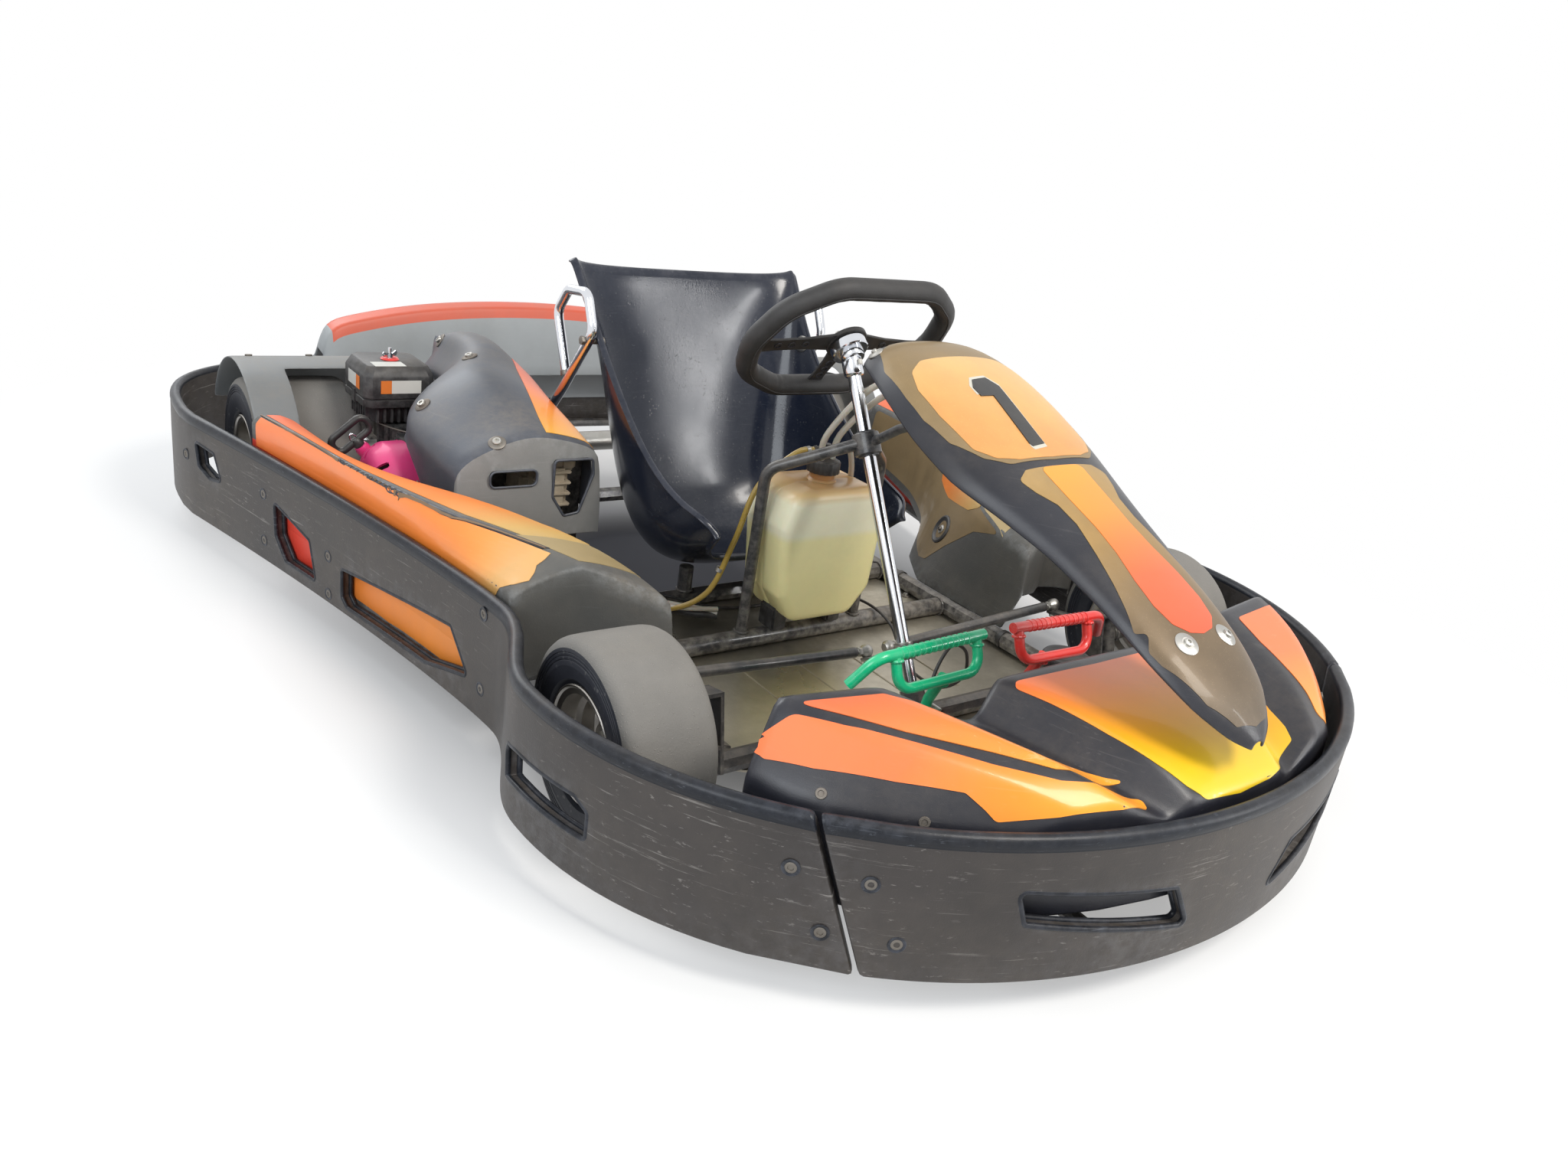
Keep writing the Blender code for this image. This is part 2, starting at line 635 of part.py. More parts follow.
def build_front_yoke():
    tube_end = KINGPIN_X - BRACKET_BACK
    yoke = straight("front_yoke", (-tube_end, 0, TUBE_Z), (tube_end, 0, TUBE_Z), TUBE_RADIUS, STEEL, kart)
    foot = pivot("column_foot", (0, COLUMN_FOOT_Y, COLUMN_FOOT_Z), kart, -COLUMN_LEAN)
    cup = turned("column_cup", rod_profile(-0.030, 0.008, COLUMN_RADIUS + 0.008), 12, STEEL, foot, "Z")
    seat_cut = turned("column_cup_bore", rod_profile(-GAP, 0.03, COLUMN_RADIUS + RUNNING_CLEARANCE), 16,
                      STEEL,
                      foot, "Z")
    pieces = [cup]
    outer = BRACKET_INSIDE + BRACKET_PLATE
    back = BRACKET_BACK + BRACKET_PLATE
    down = FRONT_AXLE_Z - TUBE_Z
    profile = [(-back, -down), (-BRACKET_BACK, -down), (-BRACKET_BACK, -outer), (BRACKET_REACH, -outer),
               (BRACKET_REACH, -BRACKET_INSIDE), (-BRACKET_BACK, -BRACKET_INSIDE),
               (-BRACKET_BACK, BRACKET_INSIDE), (BRACKET_REACH, BRACKET_INSIDE), (BRACKET_REACH, outer),
               (-back, outer)]
    for side_name, side in SIDES.items():
        axis = pivot(side_name + "_bracket_axis", (KINGPIN_X * side, 0, FRONT_AXLE_Z), kart, -CASTER)
        shape = [(x * side, z) for x, z in profile]
        pieces.append(prism(side_name + "_bracket", shape, -BRACKET_HALF, BRACKET_HALF, "Y", STEEL, axis))
        reach = outer + 0.007
        bolt = [(-reach, 0), (-reach, 0.009), (-outer + 0.0005, 0.009), (-outer + 0.0005, KINGPIN_RADIUS),
                (outer - 0.0005, KINGPIN_RADIUS), (outer - 0.0005, 0.009), (reach, 0.009), (reach, 0)]
        pieces.append(turned(side_name + "_kingpin", bolt, 12, BARE_STEEL, axis, "Z"))
    weld(yoke, *pieces)
    cut(yoke, seat_cut)


def build_cross_tubes():
    hoop_start = -(TUBE_RADIUS + GAP)
    hoop = [(-HOOP_X, hoop_start, TUBE_Z), (-HOOP_X, -HOOP_FORWARD, TUBE_Z),
            (HOOP_X, -HOOP_FORWARD, TUBE_Z), (HOOP_X, hoop_start, TUBE_Z)]
    tube("front_hoop", rounded_path(hoop, TUBE_BEND), TUBE_RADIUS, STEEL, kart, 2)
    end = RAIL_X - TUBE_RADIUS - GAP
    seat_tube = straight("seat_cross_tube", (-end, SEAT_TUBE_BACK, TUBE_Z), (end, SEAT_TUBE_BACK, TUBE_Z),
                         TUBE_RADIUS, STEEL, kart)
    posts = []
    for side_name, side in SIDES.items():
        x, y = SEAT_POST_X * side, SEAT_TUBE_BACK
        top = lowest_height(seat_grid(), x, y, SEAT_POST_RADIUS) - GAP
        posts.append(turned(side_name + "_seat_post", rod_profile(TUBE_Z, top, SEAT_POST_RADIUS), 10,
                            STEEL, kart, "Z", (x, y, 0)))
    weld(seat_tube, *posts)
    back = WHEELBASE - REAR_TUBE_AHEAD
    straight("rear_cross_tube", (-end, back, TUBE_Z), (end, back, TUBE_Z), TUBE_RADIUS, STEEL, kart)


def build_bars():
    inset = BUMPER_WALL + 0.001 + BAR_RADIUS
    for side_name, side in SIDES.items():
        start = outline_place_at(SIDE_BAR_START)
        last = outline_place_at(WHEELBASE - SIDE_BAR_END_AHEAD)
        places = [start] + [p for p in SIDE_PLACES if start + 0.05 < p < last - 0.05] + [last]
        rail = RAIL_X + TUBE_RADIUS + GAP
        path = [(rail, SIDE_BAR_START, TUBE_Z)]
        path += [(*outline_inset(p, inset), TUBE_Z) for p in places]
        path += [(rail, WHEELBASE - SIDE_BAR_END_AHEAD, TUBE_Z)]
        tube(side_name + "_side_bar", [mirrored(p, side) for p in rounded_path(path, 0.03, 3)], BAR_RADIUS,
             STEEL, kart)
    half = [(*outline_inset(p, inset), TUBE_Z) for p in FRONT_PLACES]
    whole = [Vector(mirrored(p, -1)) for p in half] + [Vector(p) for p in half[::-1]]
    bar = solid_tube("front_bumper_bar", whole, BAR_RADIUS, STEEL, kart)
    stubs = []
    for side_name, side in SIDES.items():
        x = FRONT_STUB_X * side
        reach = -outline_point(front_place_at(FRONT_STUB_X)).y - inset
        stubs.append(straight(side_name + "_front_stub", (x, -HOOP_FORWARD - TUBE_RADIUS - GAP, TUBE_Z),
                              (x, -reach, TUBE_Z), BAR_RADIUS * 0.9, STEEL, kart))
    weld(bar, *stubs)
    start = WHEELBASE + RAIL_BEHIND_AXLE + GAP
    corner = (RAIL_X, outline_point(4).y - inset - 0.012, TUBE_Z)
    path = [(RAIL_X, start, TUBE_Z), corner] + [(*outline_inset(p, inset), TUBE_Z) for p in REAR_PLACES[2:]]
    whole = path + [mirrored(p, -1) for p in path[::-1]]
    tube("rear_bumper_bar", rounded_path(whole, 0.04, 3), BAR_RADIUS, STEEL, kart)


def build_tray():
    front = HOOP_FORWARD + TUBE_RADIUS
    outline = [(-HOOP_X, -front), (HOOP_X, -front), (HOOP_X + 0.012, -0.05), (RAIL_X + TUBE_RADIUS, 0.02),
               (RAIL_X + TUBE_RADIUS, SEAT_TUBE_BACK + TUBE_RADIUS),
               (-RAIL_X - TUBE_RADIUS, SEAT_TUBE_BACK + TUBE_RADIUS), (-RAIL_X - TUBE_RADIUS, 0.02),
               (-HOOP_X - 0.012, -0.05)]
    prism("floor_tray", outline, TRAY_BOTTOM, TRAY_TOP, "Z", TRAY_METAL, kart)


# Bumper bands

def build_bumper():
    front = [band_ring(lambda z: -joint_place(z, -1))]
    front += [band_ring(lambda z, p=p: -p) for p in FRONT_PLACES]
    front += [band_ring(lambda z, p=p: p) for p in FRONT_PLACES[::-1]]
    front += [band_ring(lambda z: joint_place(z, -1))]
    front_band = loft("front_band", front, BUMPER, kart)
    window = [(front_place_at(0.072), 0.084), (front_place_at(0.285), 0.118), (front_place_at(0.300), 0.160),
              (front_place_at(0.108), 0.142)]
    cut(front_band, *[bumper_window(name + "_front_window", window, side) for name, side in SIDES.items()])

    side_rings = [band_ring(lambda z: joint_place(z, 1))]
    side_rings += [band_ring(lambda z, p=p: p) for p in SIDE_PLACES]
    side_rings += [band_ring(lambda z: BUMPER_REAR_JOINT - 0.003)]
    wheel_window = [(0.835, 0.100), (1.135, 0.092), (1.16, 0.124), (1.13, 0.136), (0.86, 0.146),
                    (0.835, 0.135)]
    at = outline_place_at
    long_window = [(at(0.262), 0.092), (at(0.375), 0.063), (at(0.585), 0.044 + 0.014), (at(0.600), 0.070),
                   (at(0.600), 0.116), (at(0.310), 0.146)]
    short_window = [(at(0.672), 0.066), (at(0.762), 0.066), (at(0.792), 0.100), (at(0.795), 0.156),
                    (at(0.690), 0.128)]
    rear_window = [(2.860, 0.135), (2.905, 0.128), (2.945, 0.140), (2.955, 0.182), (2.885, 0.178)]
    for side_name, side in SIDES.items():
        rings = [[mirrored(p, side) for p in ring] for ring in side_rings]
        band = loft(side_name + "_band", rings, BUMPER, kart)
        windows = {"wheel": wheel_window, "long": long_window, "short": short_window, "rear": rear_window}
        cut(band, *[bumper_window(side_name + "_" + key + "_window", corners, side)
                    for key, corners in windows.items()])

    rear = [band_ring(lambda z: -BUMPER_REAR_JOINT - 0.003)]
    rear += [band_ring(lambda z, p=p: -p) for p in REAR_PLACES]
    rear += [band_ring(lambda z, p=p: p) for p in REAR_PLACES[::-1]]
    rear += [band_ring(lambda z: BUMPER_REAR_JOINT + 0.003)]
    loft("rear_band", rear, BUMPER, kart)


# Bodywork

def pod_sections():
    """Side pod from behind the front wheel to ahead of the rear one. For each station: distance behind the
    front axle, ridge x and z, inner edge x and z, and the foot of the inner face x and z."""
    rear = WHEELBASE - REAR_TYRE_RADIUS
    foot = TUBE_TOP - 0.0002
    return [
        (0.212, 0.452, 0.262, 0.345, 0.222, 0.332, foot),
        (0.290, 0.505, 0.272, 0.372, 0.240, 0.332, foot),
        (0.380, 0.562, 0.276, 0.418, 0.250, 0.332, foot + 0.0003),
        (0.480, 0.598, 0.277, 0.470, 0.254, 0.400, foot),
        (0.580, 0.624, 0.277, 0.545, 0.252, 0.520, foot + 0.015),
        (0.690, 0.642, 0.276, 0.595, 0.252, 0.580, foot + 0.030),
        (0.790, 0.660, 0.274, 0.608, 0.254, 0.596, foot + 0.050),
        (rear - 0.040, 0.674, 0.266, 0.620, 0.254, 0.606, foot + 0.080),
    ]


def pod_row(back, ridge, ridge_z, inner, inner_z, foot, foot_z):
    wall = outline_inset(outline_place_at(back), BUMPER_WALL + POD_GAP)
    shoulder = BUMPER_TOP + 0.008
    return [
        (wall.x, back, POD_BOTTOM), (wall.x, back, shoulder),
        ((wall.x + ridge) / 2 + 0.006, back, (shoulder + ridge_z) / 2 + 0.006), (ridge, back, ridge_z),
        ((ridge + inner) / 2, back, (ridge_z + inner_z) / 2 + 0.006), (inner, back, inner_z),
        ((inner + foot) / 2, back, (inner_z + foot_z) / 2), (foot, back, foot_z),
    ]


def build_pods():
    sections = pod_sections()
    rows = [pod_row(*section) for section in sections]
    # The front end closes downwards behind the tyre, and its inner corner runs on towards the tie rod.
    first = rows[0]
    reach = [0.0, 0.0, 0.0, 0.004, 0.040, 0.062, 0.066, 0.040]
    end = [(x, y - 0.008 - r, min(z, 0.090 + 0.010 * j)) for j,
           ((x, y, z), r) in enumerate(zip(first, reach))]
    shelf = [(x, y - 0.006 - r * 0.9, z - (0.004 if z > 0.2 else 0)) for (x, y, z), r in zip(first, reach)]
    end[-1] = (first[-1][0], first[-1][1] - 0.048, first[-1][2])
    rows = [end, shelf] + rows
    for side_name, side in SIDES.items():
        grid = [[mirrored(p, side) for p in (row if side > 0 else row[::-1])] for row in rows]
        panel(side_name + "_pod", grid, PANEL_WALL, ORANGE, kart)


def inside_front_band(x, y):
    """The point, brought in where it would touch the front band."""
    inset = BUMPER_WALL + POD_GAP
    reach = math.hypot(x / (BUMPER_FRONT_HALF - inset), y / (FRONT_OVERHANG - inset))
    return (x / max(reach, 1.0), y / max(reach, 1.0))


def build_nose():
    grid = []
    for row in NOSE_ROWS:
        half = [(*inside_front_band(x, y), z) for x, y, z in row]
        grid.append([mirrored(p, -1) for p in half[:0:-1]] + half)
    nose = panel("nose_fairing", grid, PANEL_WALL, ORANGE, kart)
    legs = []
    for side_name, side in SIDES.items():
        x, y = NOSE_LEG_X * side, -HOOP_FORWARD
        top = lowest_height(grid, x, y, 0.014) - PANEL_WALL * 0.4
        legs.append(block(side_name + "_nose_leg", (x - 0.010, y - 0.010, TUBE_TOP + GAP),
                          (x + 0.010, y + 0.010, top),
                          ORANGE, kart))
    weld(nose, *legs)


def fairing_grid():
    across = [(-1.0, 1.0), (-0.86, 0.42), (-0.5, 0.08), (0.0, 0.0), (0.5, 0.08), (0.86, 0.42), (1.0, 1.0)]
    return [[(half * x, back, height - drop * fall) for x, fall in across]
            for back, height, half, drop in FAIRING_SECTIONS]


def build_steering_fairing():
    panel("steering_fairing", fairing_grid(), PANEL_WALL, ORANGE, kart)


def outline_at_tail(x):
    share = abs(x / BUMPER_REAR_HALF) ** BUMPER_REAR_CORNER
    return WHEELBASE + REAR_OVERHANG * (1 - share) ** (1 / BUMPER_REAR_CORNER)


def build_rear_cover():
    """Low wall across the tail, open below, standing on the rear band's tubes."""
    rows = []
    for share in (-1.0, -0.97, -0.7, -0.4, 0.0, 0.4, 0.7, 0.97, 1.0):
        x = REAR_COVER_HALF * share
        back = outline_at_tail(x)
        top = REAR_COVER_TOP - 0.050 * abs(share) ** 2.2 - (0.05 if abs(share) == 1 else 0)
        inside = back - BUMPER_WALL - POD_GAP
        rows.append([(x, inside, 0.120), (x, inside, BUMPER_TOP + 0.006), (x, back - 0.030, top - 0.030),
                     (x, back - 0.055, top), (x, back - 0.095, top - 0.006), (x, back - 0.112, top - 0.060),
                     (x, back - 0.122, 0.200)])
    cover = panel("rear_cover", rows[::-1], PANEL_WALL, GREY, kart)
    legs = []
    for side_name, side in SIDES.items():
        x = REAR_LEG_X * side
        bar = outline_at_tail(x) - BUMPER_WALL - GAP - BAR_RADIUS
        legs.append(block(side_name + "_cover_leg", (x - 0.015, bar - BAR_RADIUS * 0.8,
                                                     TUBE_Z + BAR_RADIUS + GAP),
                          (x + 0.015, bar + BAR_RADIUS * 0.6, 0.135), GREY, kart))
    weld(cover, *legs)


def build_wheel_arches():
    rows = []
    for degrees in (-12, 12, 36, 60, 80, 100, 120, 140, 158):
        turn = math.radians(degrees)
        back = WHEELBASE - ARCH_RADIUS * math.cos(turn)
        up = REAR_AXLE_Z + ARCH_RADIUS * math.sin(turn)
        rows.append([(x, back, up) for x in (ARCH_INNER, REAR_WHEEL_X - 0.075, REAR_WHEEL_X + 0.015,
                                             ARCH_OUTER)])
    for side_name, side in SIDES.items():
        grid = [[mirrored(p, side) for p in (row if side > 0 else row[::-1])] for row in rows]
        arch = panel(side_name + "_wheel_arch", grid[::-1], PANEL_WALL, GREY, kart)
        opening = block(side_name + "_arch_opening", (ARCH_INNER - 0.1, WHEELBASE - 0.28, 0.05),
                        (ARCH_STRIP, ARCH_OPENING, 0.45), GREY,
                        kart)
        if side < 0:
            opening.scale.x = -1
        back = ARCH_STAY_BACK
        top = REAR_AXLE_Z + math.sqrt(ARCH_RADIUS ** 2 - (back - WHEELBASE) ** 2) - PANEL_WALL
        foot_z = TUBE_TOP + GAP
        rings = []
        for x, z in ((RAIL_X, foot_z), (ARCH_INNER + 0.020, top)):
            rings.append([mirrored((x + dx, back + dy, z), side) for dx, dy in
                          ((-0.010, -0.012), (0.010, -0.012), (0.010, 0.012), (-0.010, 0.012))])
        stay = loft(side_name + "_arch_stay", rings, GREY, kart)
        cut(arch, opening)
        weld(arch, stay)


# Seat


def seat_grid():
    rows = []
    for back, height, half, rim_back, rim_height in SEAT_STATIONS:
        row = []
        for across in SEAT_ACROSS:
            rise = abs(across) ** 3.4
            row.append(Vector((half * math.sin(across * math.pi / 2 * 0.98), back + (rim_back - back) * rise,
                               height + (rim_height - height) * rise)))
        rows.append(row)
    return rows


def build_seat():
    panel("seat", seat_grid(), SEAT_WALL, SEAT_BLACK, kart)
    stay_radius = 0.008
    x = SEAT_HALF + stay_radius + 0.002
    foot = WHEELBASE - REAR_TUBE_AHEAD
    path = [(x, foot, TUBE_TOP + GAP + stay_radius), (x, 0.725, 0.355), (x, 0.640, 0.462), (x, 0.668, 0.520),
            (x, 0.735, 0.512), (x, 0.770, 0.470), (x, 0.722, 0.372)]
    for side_name, side in SIDES.items():
        stay = solid_tube(side_name + "_seat_stay", [mirrored(p, side) for p in rounded_path(path, 0.02, 3)],
                          stay_radius, CHROME, kart)
        ends = sorted((SEAT_BOLT_X * side, x * side))
        weld(stay, turned(side_name + "_seat_bolt", rod_profile(*ends, 0.006), 8, CHROME, kart, "X",
                          (0, 0.654, 0.446)))


# Tank and steering support

def build_tank():
    half, z = TANK_WIDTH / 2, TANK_BOTTOM
    chamfer = 0.045
    top = z + TANK_HEIGHT
    outline = [(-half + 0.012, z + chamfer), (-half + chamfer * 0.9, z), (half - chamfer * 0.9, z),
               (half - 0.006, z + chamfer), (half, top - 0.05), (half - 0.02, top - 0.004),
               (half - 0.05, top),
               (-half + 0.05, top), (-half + 0.014, top - 0.010), (-half, top - 0.06)]
    front, back = TANK_FRONT, TANK_FRONT + TANK_DEPTH
    rings = []
    for y, inset in ((front, 0.010), (front + 0.010, 0.0), (back - 0.010, 0.0), (back, 0.010)):
        middle = (z + top) / 2
        rings.append([(x * (1 - inset / half), y, middle + (up - middle) * (1 - inset / TANK_HEIGHT * 2))
                      for x, up in outline])
    tank = loft("fuel_tank", rings, TANK, kart)
    neck = turned("tank_neck", rod_profile(top - 0.02, top + 0.012, 0.020), 12, TANK, kart, "Z",
                  (0, front + TANK_DEPTH / 2, 0))
    feet = [block(name + "_tank_foot", (side * 0.055 - 0.014, TANK_TUBE_BACK - 0.020, TUBE_TOP + GAP),
                  (side * 0.055 + 0.014, TANK_TUBE_BACK + 0.020, z + 0.02), TANK, kart)
            for name, side in SIDES.items()]
    weld(tank, neck, *feet)
    cap_base = top + 0.012 + GAP
    cap = turned("fuel_cap", [(cap_base, 0), (cap_base, 0.026), (cap_base + 0.020, 0.024),
                              (cap_base + 0.022, 0.008), (cap_base + 0.045, 0.0065), (cap_base + 0.045, 0)],
                 12, BLACK, kart, "Z", (0, front + TANK_DEPTH / 2, 0))
    spout = turned("cap_spout", rod_profile(-0.024, 0.024, 0.005), 8, BLACK, kart, "X",
                   (0, front + TANK_DEPTH / 2, cap_base + 0.036))
    weld(cap, spout)


def column_point(up, back=0.0, x=0.0):
    """A point in the column's own frame, in the kart's."""
    lean = math.radians(COLUMN_LEAN)
    return Vector((x, COLUMN_FOOT_Y + up * math.sin(lean) + back * math.cos(lean),
                   COLUMN_FOOT_Z + up * math.cos(lean) - back * math.sin(lean)))


def build_column_support():
    radius = 0.009
    bush_outer = COLUMN_RADIUS + 0.010
    bush_axis = pivot("bush_axis", tuple(column_point(BUSH_HEIGHT)), kart, -COLUMN_LEAN)
    end = RAIL_X - TUBE_RADIUS - GAP
    support = straight("column_support", (-end, TANK_TUBE_BACK, TUBE_Z), (end, TANK_TUBE_BACK, TUBE_Z),
                       TUBE_RADIUS, STEEL, kart)
    beside = TANK_WIDTH / 2 + radius + 0.006
    pieces = []
    for side_name, side in SIDES.items():
        at_bush = column_point(BUSH_HEIGHT)
        path = [(beside * side, TANK_TUBE_BACK, TUBE_Z), (beside * side, TANK_TUBE_BACK - 0.005, 0.340),
                (0.012 * side, at_bush.y + 0.004, at_bush.z)]
        pieces.append(solid_tube(side_name + "_support_leg", rounded_path(path, 0.03), radius, STEEL, kart))
    pieces.append(turned("column_bush", rod_profile(-0.016, 0.016, bush_outer), 12, STEEL, bush_axis, "Z"))
    stay_start = column_point(BUSH_HEIGHT, -0.012)
    stay = [tuple(stay_start), (0, 0.150, 0.440), (0, 0.030, FAIRING_STAY_Z), (0, -0.120, 0.440)]
    pieces.append(solid_tube("fairing_stay", rounded_path(stay, 0.04, 3), 0.007, STEEL, kart, 1))
    for i, (back, height) in enumerate(((0.030, FAIRING_STAY_Z), (-0.112, 0.442))):
        top = lowest_height(fairing_grid(), 0, back, 0.010, PANEL_WALL) - GAP
        pieces.append(turned("stay_pad_%d" % i, rod_profile(height - 0.004, top, 0.010), 8, STEEL, kart, "Z",
                             (0, back, 0)))
    weld(support, *pieces)
    bore = turned("bush_bore", rod_profile(-0.03, 0.03, COLUMN_RADIUS + RUNNING_CLEARANCE), 16, STEEL,
                  bush_axis,
                  "Z")
    cut(support, bore)


# Steering

def wheel_outline():
    """The grip's middle line in the wheel's own plane: flat top, rounded lower half."""
    w, t, b = WHEEL_HALF_WIDTH, WHEEL_TOP, WHEEL_BOTTOM
    corners = [(-0.086, t), (0.086, t), (w - 0.018, t * 0.60), (w, 0.0), (w - 0.022, -b * 0.62),
               (0.070, -b), (-0.070, -b), (-w + 0.022, -b * 0.62), (-w, 0.0), (-w + 0.018, t * 0.60)]
    points = []
    count = len(corners)
    for i in range(count):
        before, here, after = (Vector((*corners[(i + k) % count], 0)) for k in (-1, 0, 1))
        points.append(here + (before - here) * 0.24)
        points.append(here + ((before - here) + (after - here)) * 0.07)
        points.append(here + (after - here) * 0.24)
    return points


def build_steering():
    axis = pivot("steering_axis", (0, COLUMN_FOOT_Y, COLUMN_FOOT_Z), kart, -COLUMN_LEAN)
    profile = [(GAP, 0), (GAP, COLUMN_RADIUS), (COLUMN_LENGTH, COLUMN_RADIUS),
               (COLUMN_LENGTH + 0.002, 0.015),
               (COLUMN_LENGTH + 0.036, 0.015), (COLUMN_LENGTH + 0.036, 0)]
    column = turned("steering_column", profile, 16, CHROME, axis, "Z")
    arm = prism("pitman_arm", [(-0.012, 0.0), (0.012, 0.0), (PITMAN_BALL_X + 0.011, PITMAN_LENGTH - 0.012),
                               (PITMAN_BALL_X + 0.009, PITMAN_LENGTH + 0.010),
                               (-PITMAN_BALL_X - 0.009, PITMAN_LENGTH + 0.010),
                               (-PITMAN_BALL_X - 0.011, PITMAN_LENGTH - 0.012)],
                PITMAN_HEIGHT - 0.003, PITMAN_HEIGHT + 0.003, "Z", CHROME, axis)
    weld(column, arm)

    face = pivot("steering_wheel_face", (0, 0, COLUMN_LENGTH + 0.040), axis, COLUMN_LEAN - WHEEL_LEAN)
    # In the face's frame -Y points up the wheel, towards the nose.
    ring = [Vector((p.x, -p.y, 0.014)) for p in wheel_outline()]
    wheel = solid_tube("steering_wheel", ring, WHEEL_GRIP_RADIUS, GRIP, face, 2, True)
    plate = 0.004
    spokes = []
    for key, (x1, y1, x2, y2) in {
        "left": (0.012, 0.0, WHEEL_HALF_WIDTH - 0.010, -0.012),
        "right": (-0.012, 0.0, -WHEEL_HALF_WIDTH + 0.010, -0.012),
        "lower": (0.0, -0.012, 0.0, -WHEEL_BOTTOM + 0.004),
    }.items():
        along = Vector((x2 - x1, y2 - y1, 0))
        across = Vector((-along.y, along.x, 0)).normalized() * 0.013
        corners = [Vector((x1, y1, 0)) + across, Vector((x1, y1, 0)) - across,
                   Vector((x2, y2, 0)) - across * 0.8, Vector((x2, y2, 0)) + across * 0.8]
        spokes.append(prism("spoke_" + key, [(p.x, -p.y) for p in corners], 0.012, 0.012 + plate, "Z", GRIP,
                            face))
    hub = turned("wheel_hub_plate", rod_profile(0.010, 0.018, 0.032), 16, GRIP, face, "Z")
    weld(wheel, hub, *spokes)
    hub_height = COLUMN_LENGTH + 0.036
    flange = turned("hub_flange", rod_profile(-0.006, 0.010 - GAP, 0.028), 16, CHROME, face, "Z")
    weld(column, flange)


def ball_points(side):
    """The tie rod's inner and outer ball centres, in the kart's frame."""
    inner = column_point(PITMAN_HEIGHT + 0.012, PITMAN_LENGTH, PITMAN_BALL_X * side)
    lean = math.radians(CASTER)
    x, back, up = KINGPIN_X - STEERING_ARM_INWARD, STEERING_ARM, ARM_HEIGHT + BALL_ABOVE_ARM
    outer = Vector((x * side, back * math.cos(lean) + up * math.sin(lean),
                    FRONT_AXLE_Z - back * math.sin(lean) + up * math.cos(lean)))
    return inner, outer


def build_tie_rods():
    for side_name, side in SIDES.items():
        inner, outer = ball_points(side)
        axis = pivot(side_name + "_tie_axis", tuple(inner), kart)
        run = outer - inner
        length = run.length
        r = TIE_ROD_RADIUS
        rod = turned(side_name + "_tie_rod",
                     [(-0.007, 0), (-0.007, 0.0055), (-0.004, 0.0085), (0.004, 0.0085), (0.008, 0.005),
                      (0.022, 0.005), (0.022, r), (length - 0.022, r), (length - 0.022, 0.005),
                      (length - 0.008, 0.005), (length - 0.004, 0.0085), (length + 0.004, 0.0085),
                      (length + 0.007, 0.0055), (length + 0.007, 0)], 10, BARE_STEEL, axis, "X")
        rod.rotation_mode = "QUATERNION"
        rod.rotation_quaternion = Vector((1, 0, 0)).rotation_difference(run)


def build_spindles():
    for side_name, side in SIDES.items():
        axis = pivot(side_name + "_kingpin_axis", (KINGPIN_X * side, 0, FRONT_AXLE_Z), kart, -CASTER)
        spindle = turned(side_name + "_spindle",
                         ring_profile(-KNUCKLE_HALF, KNUCKLE_HALF, KINGPIN_RADIUS + RUNNING_CLEARANCE,
                                      KNUCKLE_RADIUS), 16, BARE_STEEL, axis, "Z")
        start = 0.010
        collar = FRONT_WHEEL_X - KINGPIN_X - FRONT_HUB_HALF - RUNNING_CLEARANCE
        far = FRONT_WHEEL_X - KINGPIN_X + FRONT_HUB_HALF + RUNNING_CLEARANCE
        stub = [(start, 0), (start, 0.0125), (collar, 0.0125), (collar, STUB_RADIUS), (far, STUB_RADIUS),
                (far, 0.0125), (far + 0.009, 0.0125), (far + 0.009, 0)]
        stub_axle = turned(side_name + "_stub_axle", [(x * side, r) for x, r in stub], 12, BARE_STEEL, axis,
                           "X")
        half = 0.010
        x = -STEERING_ARM_INWARD
        arm = [(-half * 0.9, 0.008), (half * 0.9, 0.008), (x + half, STEERING_ARM),
               (x + half * 0.5, STEERING_ARM + 0.009),
               (x - half * 0.5, STEERING_ARM + 0.009), (x - half, STEERING_ARM)]
        steering_arm = prism(side_name + "_steering_arm", [(a * side, b) for a, b in arm],
                             ARM_HEIGHT - 0.003,
                             ARM_HEIGHT + 0.002, "Z", BARE_STEEL, axis)
        weld(spindle, stub_axle, steering_arm)


# Wheels


def rim_profile(width, disc, bore, hub_half):
    """Loop of (along, radius), outboard to +: one wall rolled round both flanges, and the wheel disc."""
    h, f, s, w, t = width / 2, RIM_FLANGE_RADIUS, RIM_SEAT_RADIUS, RIM_WELL_RADIUS, RIM_WALL
    outer = [(-h, f), (-h + 0.006, f), (-h + 0.007, s), (-h * 0.5, s), (-h * 0.4, w), (h * 0.4, w),
             (h * 0.5, s), (h - 0.007, s), (h - 0.006, f), (h, f)]
    inner = [(h - 0.003, s - t), (h * 0.5 + 0.001, s - t), (h * 0.4 + 0.001, w - t)]
    middle = disc + RIM_DISC / 2
    hub = [(disc + RIM_DISC, w - t), (disc + RIM_DISC, bore + 0.012), (middle + hub_half, bore + 0.010),
           (middle + hub_half, bore), (middle - hub_half, bore), (middle - hub_half, bore + 0.010),
           (disc, bore + 0.012), (disc, w - t)]
    if hub_half < RIM_DISC:
        hub = [(disc + RIM_DISC, w - t), (disc + RIM_DISC, bore), (disc, bore), (disc, w - t)]
    back = [(-h * 0.4 - 0.001, w - t), (-h * 0.5 - 0.001, s - t), (-h + 0.003, s - t)]
    return outer + inner + hub + back


